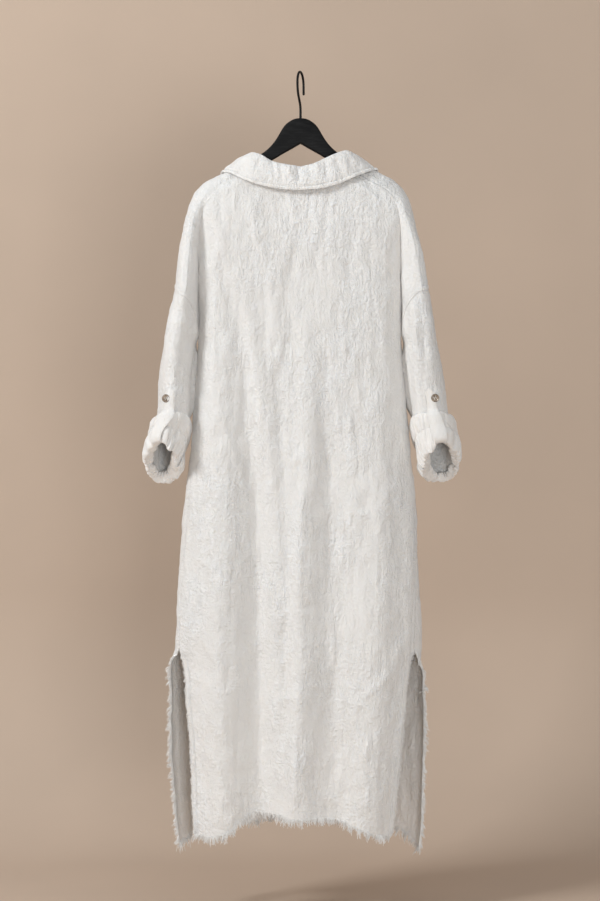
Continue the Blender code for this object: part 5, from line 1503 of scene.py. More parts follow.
class Nodes:
    """A node tree that is being built."""

    def __init__(self, tree: NodeTree) -> None:
        """Starts on the tree."""
        self.tree = tree

    def wire(self, node: Node, inputs: dict) -> Node:
        """Gives a node's inputs their values.

        Args:
            node: The node.
            inputs: By name or number, each with a value or another node's output.

        Returns:
            The node.
        """
        for name, value in inputs.items():
            if isinstance(value, Socket):
                self.tree.links.new(value, node.inputs[name])
            else:
                node.inputs[name].default_value = value
        return node

    def add(self, kind: str, inputs: dict | None = None, **settings: object) -> Node:
        """Adds a node.

        Args:
            kind: The node's type.
            inputs: Its inputs, as in wire.
            settings: The node's own settings.

        Returns:
            The node.
        """
        node = self.tree.nodes.new(kind)
        for name, value in settings.items():
            setattr(node, name, value)
        return self.wire(node, inputs or {})

    def maths(self, operation: str, *values: object) -> Socket:
        """The output of a Math node on the values."""
        return self.add("ShaderNodeMath", dict(enumerate(values)), operation=operation).outputs[0]

    def plus(self, first: object, second: object) -> Socket:
        """The sum of two values."""
        return self.maths("ADD", first, second)

    def times(self, first: object, second: object) -> Socket:
        """The product of two values."""
        return self.maths("MULTIPLY", first, second)

    def vector(self, operation: str, first: object, second: object) -> Socket:
        """The output of a Vector Math node, whose second value is a number where it scales."""
        inputs = {0: first, "Scale" if operation == "SCALE" else 1: second}
        return self.add("ShaderNodeVectorMath", inputs, operation=operation).outputs[0]

    def noise(
        self, place: Socket, scale: object, detail: float, ridged: bool = False, **more: float
    ) -> Socket:
        """Adds a Noise Texture.

        Args:
            place: Where it is read.
            scale: One scale, or one for each axis.
            detail: Its octaves beyond the first.
            ridged: Whether its hollows are sharp.
            more: Other inputs by name.

        Returns:
            Its value.
        """
        if isinstance(scale, tuple):
            place, scale = self.vector("MULTIPLY", place, scale), 1.0
        inputs = {"Vector": place, "Scale": scale, "Detail": detail}
        inputs.update({name.capitalize(): value for name, value in more.items()})
        kind = "RIDGED_MULTIFRACTAL" if ridged else "FBM"
        return self.add("ShaderNodeTexNoise", inputs, noise_type=kind).outputs[0]

    def spread(self, value: object, low: float, high: float, first: float = 0.0, last: float = 1.0) -> Socket:
        """The value carried from the range low to high to the range first to last."""
        inputs = {"Value": value, "From Min": low, "From Max": high, "To Min": first, "To Max": last}
        return self.add("ShaderNodeMapRange", inputs).outputs[0]

    def mixed(self, share: object, first: object, last: object) -> Socket:
        """Two colours mixed."""
        ends = [end if isinstance(end, Socket) else (*end, 1.0) for end in (first, last)]
        return self.add("ShaderNodeMix", {0: share, 6: ends[0], 7: ends[1]}, data_type="RGBA").outputs[2]

    def bump(self, strength: float, distance: float, height: object) -> Socket:
        """The normal that a height gives.

        Args:
            strength: How strong it is.
            distance: What a height of one stands for, in metres.
            height: The height.

        Returns:
            The normal.
        """
        return self.add(
            "ShaderNodeBump", {"Strength": strength, "Distance": distance, "Height": height}
        ).outputs[0]

    def random(self, kind: str, low: object, high: object, seed: object) -> Socket:
        """A random value, FLOAT or FLOAT_VECTOR, between two ends.

        Args:
            kind: FLOAT or FLOAT_VECTOR.
            low: The lowest value.
            high: The highest value.
            seed: The seed.

        Returns:
            The value.
        """
        first = 0 if kind == "FLOAT_VECTOR" else 2
        node = self.add(
            "FunctionNodeRandomValue", {first: low, first + 1: high, "Seed": seed}, data_type=kind
        )
        return node.outputs[first // 2]


def socket(tree: NodeTree, name: str, kind: str, value: object = None, way: str = "INPUT") -> str:
    """Adds a socket to a tree's interface.

    Args:
        tree: The tree.
        name: The socket's name.
        kind: Its type, without the prefix.
        value: Its default.
        way: INPUT or OUTPUT.

    Returns:
        The socket's identifier.
    """
    item = tree.interface.new_socket(name=name, in_out=way, socket_type="NodeSocket" + kind)
    if value is not None:
        item.default_value = value
    return item.identifier


CRUMPLE_LAYERS = (
    ((118.0, 118.0, 17.0), 2.0, 0.45, True, 0.62),
    ((270.0, 270.0, 78.0), 3.0, 0.6, False, 1.15),
    ((125.0, 125.0, 195.0), 2.0, 0.55, False, 0.95),
    ((215.0, 215.0, 105.0), 1.0, 0.5, True, 0.2),
)
SLUB_LAYERS = (((24.0, 1150.0, 1.0), 0.6), ((1150.0, 20.0, 1.0), 0.62))


def crumple_group() -> NodeTree:
    """The crumple and the weave of crinkled linen, as a height in millimetres and masks.

    Returns:
        The node group.
    """
    tree = bpy.data.node_groups.new("Linen crumple", "ShaderNodeTree")
    for name in ("Place", "Cloth Place"):
        socket(tree, name, "Vector")
    for name, value in (("Crumple Height", 0.7), ("Weave Height", 0.05), ("Threads per Metre", 1300.0)):
        socket(tree, name, "Float", value)
    for name in ("Height", "Crest", "Slub"):
        socket(tree, name, "Float", way="OUTPUT")
    n = Nodes(tree)
    source = n.add("NodeGroupInput").outputs
    place, cloth = source["Place"], source["Cloth Place"]
    noise = n.add("ShaderNodeTexNoise", {"Vector": place, "Scale": 34.0, "Detail": 1.0}, noise_type="FBM")
    wander = n.vector("SUBTRACT", noise.outputs["Color"], (0.5, 0.5, 0.5))
    place = n.vector("ADD", place, n.vector("SCALE", wander, 0.012))
    patch = n.spread(n.noise(place, (13.0, 13.0, 7.0), 2.0), 0.35, 0.65, 0.45, 1.3)
    crumple = n.times(n.noise(place, (52.0, 52.0, 9.0), 2.0, roughness=0.45), 1.25)
    for scale, detail, roughness, ridged, share in CRUMPLE_LAYERS:
        layer = n.noise(place, scale, detail, ridged, roughness=roughness)
        crumple = n.plus(crumple, n.times(n.times(layer, patch), share))
    axes = n.add("ShaderNodeSeparateXYZ", {0: cloth}).outputs
    turns = n.times(source["Threads per Metre"], math.pi)
    across, down = (n.maths("SINE", n.times(axes[axis], turns)) for axis in (0, 1))
    over = n.maths("GREATER_THAN", n.times(across, down), 0.0)
    warp, weft = n.maths("ABSOLUTE", across), n.maths("ABSOLUTE", down)
    weave = n.plus(n.times(warp, over), n.times(weft, n.maths("SUBTRACT", 1.0, over)))
    slub = n.plus(*(n.spread(n.noise(cloth, scale, 1.0), low, 0.8) for scale, low in SLUB_LAYERS))
    weave = n.plus(weave, n.times(slub, 0.9))
    height = n.plus(n.times(crumple, source["Crumple Height"]), n.times(weave, source["Weave Height"]))
    # The crest mask also places the linen's painted shade, which darkens its colour in the crumple's hollows
    n.add("NodeGroupOutput", {"Height": height, "Crest": n.spread(crumple, 1.5, 2.9), "Slub": slub})
    return tree


@dataclass(frozen=True)
class Linen:
    """Undyed crinkled linen: a soft off-white with a crumpled face, an open weave and painted shade in the
    crumple's hollows.
    """

    name: str = "crinkled linen"
    colour: Colour = (0.885, 0.877, 0.865)
    # Painted shade: the darker colour that the linen takes in the crumple's hollows
    hollow_shade: Colour = (0.76, 0.745, 0.725)
    slub: Colour = (0.74, 0.70, 0.63)
    slub_share: float = 0.16
    crumple_height: float = 3.1
    weave_height: float = 0.05
    translucence: float = 0.75
    roughness: float = 0.86
    sheen: float = 0.2

    def build(self, group: NodeTree) -> Material:
        """Makes the material.

        Args:
            group: The crumple's node group.

        Returns:
            The material.
        """
        made, n, shader, where = blank(self.name)
        inputs = {
            "Place": where["Object"], "Cloth Place": where["UV"],
            "Crumple Height": self.crumple_height, "Weave Height": self.weave_height,
        }
        crumple = n.add("ShaderNodeGroup", inputs, node_tree=group).outputs
        tone = n.noise(where["Object"], (9.0, 9.0, 4.0), 2.0)
        # Painted shade: where the crumple is low the colour darkens towards the hollow shade
        crest = n.times(crumple["Crest"], n.spread(tone, 0.3, 0.7, 0.85, 1.0))
        colour = n.mixed(crest, self.hollow_shade, self.colour)
        colour = n.mixed(n.times(crumple["Slub"], self.slub_share), colour, self.slub)
        rough = n.spread(crumple["Crest"], 0.0, 1.0, min(self.roughness + 0.06, 1.0), self.roughness)
        inputs = {
            "Base Color": colour, "Roughness": rough, "Normal": n.bump(1.0, MM, crumple["Height"]),
            "Subsurface Weight": self.translucence, "Subsurface Radius": (1.0, 0.93, 0.85),
            "Subsurface Scale": 0.0024, "Sheen Weight": self.sheen, "Sheen Roughness": 0.5,
            "Specular IOR Level": 0.25,
        }
        n.wire(shader, inputs)
        return made


def blank(name: str) -> tuple[Material, Nodes, Node, bpy.types.NodeOutputs]:
    """A new material, its node tree, its Principled shader and the places that it can be read at.

    Args:
        name: The material's name.

    Returns:
        All four.
    """
    made = bpy.data.materials.new(name)
    made.use_nodes = True
    n = Nodes(made.node_tree)
    return made, n, made.node_tree.nodes["Principled BSDF"], n.add("ShaderNodeTexCoord").outputs


@dataclass(frozen=True)
class Thread:
    """Linen or sewing thread, a little uneven along its length."""

    name: str
    colour: Colour
    shade: Colour

    def build(self) -> Material:
        """Makes the material.

        Returns:
            The material.
        """
        made, n, shader, where = blank(self.name)
        twist = n.noise(where["Object"], 900.0, 1.0)
        inputs = {
            "Base Color": n.mixed(n.spread(twist, 0.35, 0.65), self.shade, self.colour),
            "Roughness": n.spread(twist, 0.3, 0.7, 0.95, 0.85),
            "Normal": n.bump(0.6, 0.0002, twist), "Sheen Weight": 0.3,
        }
        n.wire(shader, inputs)
        return made


@dataclass(frozen=True)
class Horn:
    """Polished horn: taupe and brown in soft clouds with a few pale streaks."""

    name: str = "polished horn"
    dark: Colour = (0.09, 0.062, 0.042)
    middle: Colour = (0.30, 0.235, 0.175)
    pale: Colour = (0.55, 0.47, 0.37)

    def build(self) -> Material:
        """Makes the material.

        Returns:
            The material.
        """
        made, n, shader, where = blank(self.name)
        cloud = n.noise(where["Object"], (110.0, 160.0, 260.0), 3.0, distortion=1.2)
        streak = n.noise(where["Object"], (700.0, 700.0, 160.0), 2.0, distortion=0.6)
        colour = n.mixed(n.spread(cloud, 0.38, 0.62), self.dark, self.middle)
        inputs = {
            "Base Color": n.mixed(n.spread(streak, 0.56, 0.72, 0.0, 0.75), colour, self.pale),
            "Roughness": n.spread(cloud, 0.3, 0.7, 0.22, 0.34), "Coat Weight": 0.4, "Coat Roughness": 0.12,
        }
        n.wire(shader, inputs)
        return made


@dataclass(frozen=True)
class BlackLacquer:
    """Matte black lacquer over close-grained wood, or over wire with no grain."""

    name: str
    colour: Colour
    roughness: float
    grain: float

    def build(self) -> Material:
        """Makes the material.

        Returns:
            The material.
        """
        made, n, shader, where = blank(self.name)
        grain = n.noise(where["Object"], (22.0, 420.0, 420.0), 3.0, distortion=0.3)
        skin = n.noise(where["Object"], 260.0, 2.0)
        lift = tuple(min(1.0, value * 1.9 + 0.004) for value in self.colour)
        height = n.plus(n.times(grain, self.grain), n.times(skin, 0.25))
        inputs = {
            "Base Color": n.mixed(n.spread(grain, 0.45, 0.75), self.colour, lift),
            "Roughness": n.spread(skin, 0.35, 0.65, self.roughness - 0.06, self.roughness + 0.08),
            "Normal": n.bump(0.5, 0.00015, height), "Specular IOR Level": 0.14,
        }
        n.wire(shader, inputs)
        return made


@dataclass(frozen=True)
class Plaster:
    """The plain matte paint of the studio's floor and wall."""

    name: str
    colour: Colour

    def build(self) -> Material:
        """Makes the material.

        Returns:
            The material.
        """
        made, n, shader, where = blank(self.name)
        cloud = n.noise(where["Object"], 1.6, 3.0)
        shade = tuple(value * 0.93 for value in self.colour)
        colour = n.mixed(n.spread(cloud, 0.35, 0.65), shade, self.colour)
        n.wire(shader, {"Base Color": colour, "Roughness": n.spread(cloud, 0.3, 0.7, 0.86, 0.94)})
        return made


class Finishes:
    """Every material of the part, built once."""

    def __init__(self) -> None:
        """Builds the materials."""
        group = crumple_group()
        self.linen = Linen().build(group)
        self.soft_linen = Linen(name="rolled linen", crumple_height=1.5).build(group)
        self.thread = Thread("loose linen thread", (0.93, 0.92, 0.905), (0.84, 0.825, 0.80)).build()
        self.stitch = Thread("sewing thread", (0.84, 0.825, 0.80), (0.66, 0.64, 0.61)).build()
        self.horn = Horn().build()
        self.wood = BlackLacquer("black lacquered wood", (0.005, 0.005, 0.0053), 0.52, 1.0).build()
        self.wire = BlackLacquer("black coated wire", (0.005, 0.005, 0.0053), 0.42, 0.0).build()


class Maker:
    """A geometry tree that lays small things along an edge."""

    def __init__(self, name: str, plan: Sequence[tuple[str, str, object]], result: str) -> None:
        """Starts the tree.

        Args:
            name: Its name.
            plan: Its inputs beside the edge and the finish, each with its kind and default.
            result: Its output's name.
        """
        self.tree = bpy.data.node_groups.new(name, "GeometryNodeTree")
        inputs = (("Edge", "Geometry", None), *plan, ("Finish", "Material", None))
        self.sockets = {label: socket(self.tree, label, kind, value) for label, kind, value in inputs}
        socket(self.tree, result, "Geometry", way="OUTPUT")
        self.nodes = Nodes(self.tree)
        self.source = self.nodes.add("NodeGroupInput").outputs
        away = self.nodes.add("GeometryNodeInputNamedAttribute", {"Name": "away"}, data_type="FLOAT_VECTOR")
        self.away = away.outputs[0]

    def strewn(self, spacing: dict, thing: Socket, turn: Socket, size: Socket, mode: str = "COUNT") -> Socket:
        """Lays copies of a thing along the edge.

        Args:
            spacing: The input that spaces them.
            thing: What is laid.
            turn: How each copy is turned.
            size: How each copy is scaled.
            mode: Whether the spacing is a COUNT or a LENGTH.

        Returns:
            The copies.
        """
        n = self.nodes
        curve = n.add("GeometryNodeMeshToCurve", {0: self.source["Edge"]}).outputs[0]
        points = n.add("GeometryNodeResampleCurve", {"Curve": curve, **spacing}, mode=mode).outputs[0]
        inputs = {"Points": points, "Instance": thing, "Rotation": turn, "Scale": size}
        laid = n.add("GeometryNodeInstanceOnPoints", inputs).outputs[0]
        return n.add("GeometryNodeRealizeInstances", {0: laid}).outputs[0]

    def finish(self, shape: Socket) -> None:
        """Gives the shape its material and sends it out."""
        inputs = {0: shape, "Material": self.source["Finish"]}
        self.nodes.add("NodeGroupOutput", {0: self.nodes.add("GeometryNodeSetMaterial", inputs).outputs[0]})

    def bake(self, lines: Sequence[Line], values: dict[str, object]) -> bpy.types.Mesh:
        """Runs the tree on lines and keeps the result as a plain mesh.

        Args:
            lines: Points in millimetres and directions for each line.
            values: The tree's inputs by name.

        Returns:
            The mesh.
        """
        points, edges, ways = [], [], []
        for line, away in lines:
            start = len(points)
            points += (np.asarray(line) * MM).tolist()
            ways += unit(np.asarray(away)).tolist()
            edges += [(start + k, start + k + 1) for k in range(len(line) - 1)]
        mesh = bpy.data.meshes.new("line")
        mesh.from_pydata(points, edges, [])
        layer = mesh.attributes.new("away", "FLOAT_VECTOR", "POINT")
        layer.data.foreach_set("vector", np.array(ways, dtype=np.float32).ravel())
        helper = linked("line", mesh)
        modifier = helper.modifiers.new("maker", "NODES")
        modifier.node_group = self.tree
        for name, value in values.items():
            modifier[self.sockets[name]] = value
        bpy.context.view_layer.update()
        graph = bpy.context.evaluated_depsgraph_get()
        made = bpy.data.meshes.new_from_object(helper.evaluated_get(graph))
        bpy.data.objects.remove(helper, do_unlink=True)
        bpy.data.meshes.remove(mesh)
        if "away" in made.attributes:
            made.attributes.remove(made.attributes["away"])
        return made


class Fray(Maker):
    """Loose threads along an edge, instanced by a geometry tree."""

    def __init__(self) -> None:
        """Builds the tree."""
        plan = (
            ("Count", "Int", 100), ("Shortest", "Float", 0.005), ("Longest", "Float", 0.012),
            ("Radius", "Float", 0.0002), ("Scatter", "Float", 0.5), ("Clump", "Float", 1.0),
            ("Droop", "Float", 0.4), ("Seed", "Int", 1),
        )
        super().__init__("Frayed edge", plan, "Threads")
        n, source = self.nodes, self.source
        bend = {"Resolution": 5, "Start": (0.0, 0.0, 0.0), "Middle": (0.22, 0.0, 0.5), "End": (0.0, 0.0, 1.0)}
        thread = n.add("GeometryNodeCurveQuadraticBezier", bend).outputs[0]
        stray = n.random("FLOAT_VECTOR", (-1.0, -1.0, -1.0), (1.0, 1.0, 1.0), source["Seed"])
        way = n.vector("ADD", self.away, n.vector("SCALE", stray, source["Scatter"]))
        place = n.add("GeometryNodeInputPosition").outputs[0]
        lean = n.add("ShaderNodeTexNoise", {"Vector": place, "Scale": 170.0, "Detail": 1.0}).outputs[1]
        lean = n.vector("SCALE", n.vector("SUBTRACT", lean, (0.5, 0.5, 0.5)), source["Clump"])
        way = n.vector("ADD", way, lean)
        turn = n.add("FunctionNodeAlignRotationToVector", {"Vector": way}, axis="Z").outputs[0]
        spin = n.random("FLOAT", 0.0, 2.0 * math.pi, n.plus(source["Seed"], 7.0))
        spin = n.add("ShaderNodeCombineXYZ", {"Z": spin}).outputs[0]
        spin = n.add("FunctionNodeEulerToRotation", {0: spin}).outputs[0]
        inputs = {"Rotation": turn, "Rotate By": spin}
        turn = n.add("FunctionNodeRotateRotation", inputs, rotation_space="LOCAL").outputs[0]
        length = n.random("FLOAT", source["Shortest"], source["Longest"], n.plus(source["Seed"], 3.0))
        tuft = n.add("ShaderNodeTexNoise", {"Vector": place, "Scale": 120.0, "Detail": 1.0}).outputs[0]
        length = n.times(length, n.spread(tuft, 0.36, 0.66, 0.55, 1.35))
        laid = self.strewn({"Count": source["Count"]}, thread, turn, length)
        spot = n.add("GeometryNodeSplineParameter").outputs
        drop = n.times(n.times(spot["Length"], spot["Factor"]), n.times(source["Droop"], -1.0))
        droop = n.add("ShaderNodeCombineXYZ", {"Z": drop}).outputs[0]
        hung = n.add("GeometryNodeSetPosition", {"Geometry": laid, "Offset": droop}).outputs[0]
        ring = n.add(
            "GeometryNodeCurvePrimitiveCircle", {"Resolution": 3, "Radius": source["Radius"]}
        ).outputs[0]
        solid = n.add("GeometryNodeCurveToMesh", {0: hung, 1: ring, "Fill Caps": True}).outputs[0]
        self.finish(n.add("GeometryNodeRealizeInstances", {0: solid}).outputs[0])


class Stitching(Maker):
    """Rows of stitches along laid lines, instanced by a geometry tree."""

    def __init__(self) -> None:
        """Builds the tree."""
        plan = (("Pitch", "Float", 0.0034), ("Length", "Float", 0.0026), ("Radius", "Float", 0.0003))
        super().__init__("Row of stitches", plan, "Stitches")
        n, source = self.nodes, self.source
        bead = n.add("GeometryNodeMeshIcoSphere", {"Radius": 1.0, "Subdivisions": 1}).outputs[0]
        tangent = n.add("GeometryNodeInputTangent").outputs[0]
        turn = n.add("FunctionNodeAlignRotationToVector", {"Vector": tangent}, axis="X").outputs[0]
        inputs = {"Rotation": turn, "Vector": self.away}
        turn = n.add("FunctionNodeAlignRotationToVector", inputs, axis="Z", pivot_axis="X").outputs[0]
        inputs = {"X": n.times(source["Length"], 0.5), "Y": source["Radius"], "Z": source["Radius"]}
        size = n.add("ShaderNodeCombineXYZ", inputs).outputs[0]
        self.finish(self.strewn({"Length": source["Pitch"]}, bead, turn, size, mode="LENGTH"))


def linked(name: str, data: bpy.types.ID) -> Object:
    """A new object of the data, in the scene.

    Args:
        name: The object's name.
        data: What it shows.

    Returns:
        The object.
    """
    made = bpy.data.objects.new(name, data)
    bpy.context.scene.collection.objects.link(made)
    return made


def lofted(rows: int, size: int) -> Faces:
    """The faces of a closed rod of rows of points.

    Args:
        rows: The number of rows.
        size: The points in each.

    Returns:
        Its bands, then its first and its last end.
    """
    faces = []
    for i in range(rows - 1):
        for k in range(size):
            a, b = i * size + k, i * size + (k + 1) % size
            faces.append([a, b, b + size, a + size])
    return faces + [list(range(size))[::-1], [(rows - 1) * size + k for k in range(size)]]


def joined_object(name: str, meshes: Sequence[bpy.types.Mesh], finish: Material) -> Object:
    """One object of several meshes.

    Args:
        name: The object's name.
        meshes: The meshes, which are used up.
        finish: The material.

    Returns:
        The object.
    """
    work = bmesh.new()
    for mesh in meshes:
        work.from_mesh(mesh)
        bpy.data.meshes.remove(mesh)
    for face in work.faces:
        face.material_index = 0
        face.smooth = True
    whole = bpy.data.meshes.new(name)
    work.to_mesh(whole)
    work.free()
    whole.materials.clear()
    whole.materials.append(finish)
    return linked(name, whole)


def tube(path: Array, radii: Array, sides: int) -> tuple[Array, Faces]:
    """A round rod along a path, closed at both ends.

    Args:
        path: The middle line.
        radii: The radius at each of its points.
        sides: The number of sides.

    Returns:
        Points and faces.
    """
    ways = unit(np.gradient(path, axis=0))
    side = unit(np.cross(ways[0], np.array([0.31, 0.87, 0.41])))
    points = []
    angles = 2 * math.pi * np.arange(sides) / sides
    for place, way, radius in zip(path, ways, radii):
        side = unit(side - way * np.dot(side, way))
        up = np.cross(way, side)
        points += [place + radius * (math.cos(angle) * side + math.sin(angle) * up) for angle in angles]
    return np.array(points), lofted(len(path), sides)


class SleeveEnd:
    """The sleeve's swept end, read at any place round it, along it and off its surface."""

    def __init__(self, sections: Sections, side: str) -> None:
        """Starts on one side's sleeve.

        Args:
            sections: The mid-surface.
            side: left or right.
        """
        self.sections = sections
        self.side = side
        self.count = 2 * sum(ARM_COLUMNS.values())

    def ring(self, way: float) -> Array:
        """The ring's points at each half column.

        Args:
            way: How far along the end it lies. Past 1 the end runs straight on.

        Returns:
            The points.
        """
        points = self.sections.ring(self.side, min(max(way, 0.0), 1.0))
        if way > 1.0:
            points = points + (points - self.sections.ring(self.side, 0.94)) * (way - 1.0) / 0.06
        points = points[:-1]
        ahead, behind, next_ahead = np.roll(points, -1, 0), np.roll(points, 1, 0), np.roll(points, -2, 0)
        result = np.empty((self.count, 3))
        result[0::2] = points
        result[1::2] = (9.0 * (points + ahead) - behind - next_ahead) / 16.0
        return result

    def normals(self, way: float) -> Array:
        """Outward directions at each half column.

        Args:
            way: How far along the end it lies, from 0 to 1.

        Returns:
            The directions.
        """
        step = 0.02
        here, above, below = self.ring(way), self.ring(way - step), self.ring(way + step)
        out = unit(np.cross(np.roll(here, -1, 0) - np.roll(here, 1, 0), below - above))
        return out * np.sign(np.sum(out * (here - here.mean(axis=0)), axis=1, keepdims=True))

    def at(self, column: float, way: float, off: float) -> Line:
        """A point off the surface and the way out, at one of the twelve main columns or between them.

        Args:
            column: The main column, or a place between two.
            way: How far along the end it lies, from 0 to 1.
            off: How far off the surface, in millimetres.

        Returns:
            The point and the way out.
        """
        ring, out = self.ring(way), self.normals(way)
        position = (2 * FINE * column) % self.count
        low = int(math.floor(position))
        share = position - low
        high = (low + 1) % self.count
        normal = unit((1 - share) * out[low] + share * out[high])
        return (1 - share) * ring[low] + share * ring[high] + normal * off, normal


@dataclass(frozen=True)
class Cuff:
    """The rolled-up sleeve end: two turns of cloth, one showing above the other."""

    outline: tuple[Knot, ...] = CUFF_PROFILE
    seed: int = 31
    finer: int = 3
    wander: float = 0.035
    pleats: int = 23
    pleat_depth: float = 4.6
    slim_inside: float = 0.64
    flat_faces: float = 0.2
    lip: float = 2.3
    lobe: float = 9.0
    lobe_aside: float = 0.5
    pull: float = 0.046
    sag: float = 11.0
    sag_turn: float = 5.71
    sharp: float = 75.0

    def cloth(self, end: SleeveEnd) -> Cloth:
        """The cuff's skin.

        Args:
            end: The sleeve's end.

        Returns:
            The skin, welded into a ring.
        """
        outline = spline(self.outline, 5, closed=True)
        count = self.finer * end.count
        turn = 2 * math.pi * np.arange(count) / count

        def bump(centre: float, width: float) -> Array:
            """A swelling round one turn."""
            return np.exp(-((((turn - centre + math.pi) % (2 * math.pi) - math.pi) / width) ** 2))

        slim = 1.0 - (1.0 - self.slim_inside) * (0.5 + 0.5 * np.cos(turn)) ** 2
        slim = slim * (1.0 - self.flat_faces * np.sin(turn) ** 2)
        tab = TAB_COLUMN[end.side][1] / 12.0 * 2 * math.pi
        lobe, pull = bump(tab - self.lobe_aside, 0.26), bump(tab, 0.36)
        lip = 1.0 + (self.lip - 1.0) * (1.0 - bump(0.5 * math.pi, 0.75))
        sag = self.sag * bump(self.sag_turn, 0.7)
        around = np.stack([3.0 * np.cos(turn), 3.0 * np.sin(turn), np.zeros(count)], axis=1)
        drift = lattice_noise(around, self.seed + len(end.side))
        uneven = np.abs(lattice_noise(around * 2.6, self.seed + 7))
        rows = []
        for way, off in outline:
            ring = spline(end.ring(way), self.finer, True)
            out = unit(spline(end.normals(way), self.finer, True))
            ahead = spline(end.ring(way + 0.02) - end.ring(way - 0.02), self.finer, True) / 0.04
            layer = float(ease((off - 4.0) / 4.0) * ease((1.0 - way) / 0.15))
            mouth = float(ease((way - 0.86) / 0.14))
            outer = float(ease((off + 1.0) / 6.0))
            offs = np.where(off > 1.4, 1.4 + (off - 1.4) * slim, off if off > 0.0 else off * lip)
            groove = 1.0 - np.abs(np.sin(0.5 * self.pleats * turn + 2.6 * drift + 2.0 * way)) ** 0.9
            rim = float(mouth * np.clip(off / 4.0, -1.0, 1.0) + 0.4 * ease((off - 8.0) / 3.0))
            offs = offs - self.pleat_depth * rim * slim * groove * (0.7 + 2.0 * uneven)
            offs = offs + sag * outer * float(ease((way - 0.8) / 0.2)) + 2.0 * mouth * outer * lobe
            row = ring + out * offs[:, None] + ahead * (self.wander * layer * drift)[:, None]
            low = float(ease((way - 0.9) / 0.12) * ease((off + 3.0) / 4.0))
            row = row + unit(ahead) * (self.lobe * low * lobe)[:, None]
            row = row - ahead * (self.pull * float(ease((way - 0.92) / 0.1)) * pull)[:, None]
            rows.append(np.concatenate([row, row[:1]]))
        block = np.array(rows + rows[:1])
        flat = block.reshape(-1, 3)
        if volume(flat, grid_quads(*block.shape[:2]).tolist()) < 0:
            block = block[:, ::-1]
        cloth = Cloth({"cuff": [block]})
        cloth.crumple({"cuff": ((Face.BACK, CUFF_CREASES[end.side]),)}, 1.0, 1.0)
        return cloth

    def build(self, end: SleeveEnd, finish: Material) -> Object:
        """Makes the cuff's object.

        Args:
            end: The sleeve's end.
            finish: Its material.

        Returns:
            The object.
        """
        cloth = self.cloth(end)
        quads, sources = cloth.quads["cuff"].tolist(), cloth.raw_quads["cuff"].tolist()
        name = f"dress_cuff_{end.side}"
        return mesh_object(name, cloth.points * MM, quads, finish, cloth.uv, sources, self.sharp)


CUFF_CREASES = {
    "left": creases((
        (268, 668, 292, 690, 5, -2.2, 2), (255, 694, 282, 712, 5, -2.6, -2), (242, 690, 252, 724, 4, -2, 1),
        (226, 672, 234, 706, 5, -2.4, -2), (282, 704, 262, 738, 4, -1.8, 2),
        (296, 676, 288, 716, 4, -1.6, 1),
    )),
    "right": creases((
        (-262, 662, -290, 684, 5, -2.4, 2), (-248, 684, -276, 706, 5, -2.2, -2),
        (-234, 676, -240, 716, 4, -2, 1), (-222, 664, -226, 700, 4, -2.2, 2),
        (-284, 700, -262, 732, 4, -1.8, -2), (-298, 672, -292, 708, 4, -1.6, 1),
    )),
}


@dataclass(frozen=True)
class Tab:
    """The strap that holds a rolled sleeve: pointed, buttoned outside and passed over the roll."""

    columns: int = 8
    per_segment: int = 4
    point: float = 0.045
    taper: float = 0.62
    crossing: Knot = (0.4, 0.6)
    lifts: Knot = (1.2, 1.9)
    lift_way: float = 0.5
    end_margin: float = 4.0
    crumple_share: float = 0.35

    def cloth(self, end: SleeveEnd) -> Cloth:
        """The strap's middle surface.

        Args:
            end: The sleeve's end.

        Returns:
            The strap's skin.
        """
        first, last = TAB_COLUMN[end.side]
        rows = []
        for way, off in spline(TAB_PROFILE, self.per_segment):
            middle = first + (last - first) * float(ease((way - self.crossing[0]) / self.crossing[1]))
            start, full = TAB_PROFILE[0][0], TAB_PROFILE[1][0]
            near = float(np.clip((full - way) / (full - start), 0.0, 1.0))
            if off < TAB_PROFILE[-1][1] + self.end_margin:
                near = 0.0
            lift = self.lifts[0 if way < self.lift_way else 1]
            row = []
            for reach in np.linspace(-1.0, 1.0, self.columns + 1):
                narrow = (1.0 - (1.0 - self.taper) * near) * reach
                tip = self.point * near * abs(reach)
                row.append(end.at(middle + narrow * TAB_HALF_COLUMNS[end.side], way + tip, off + lift)[0])
            rows.append(row)
        block = np.array(rows)
        cloth = Cloth({"tab_" + end.side: [block[:, ::-1] if end.side == "left" else block]})
        cloth.crumple({}, self.crumple_share, 1.0)
        return cloth


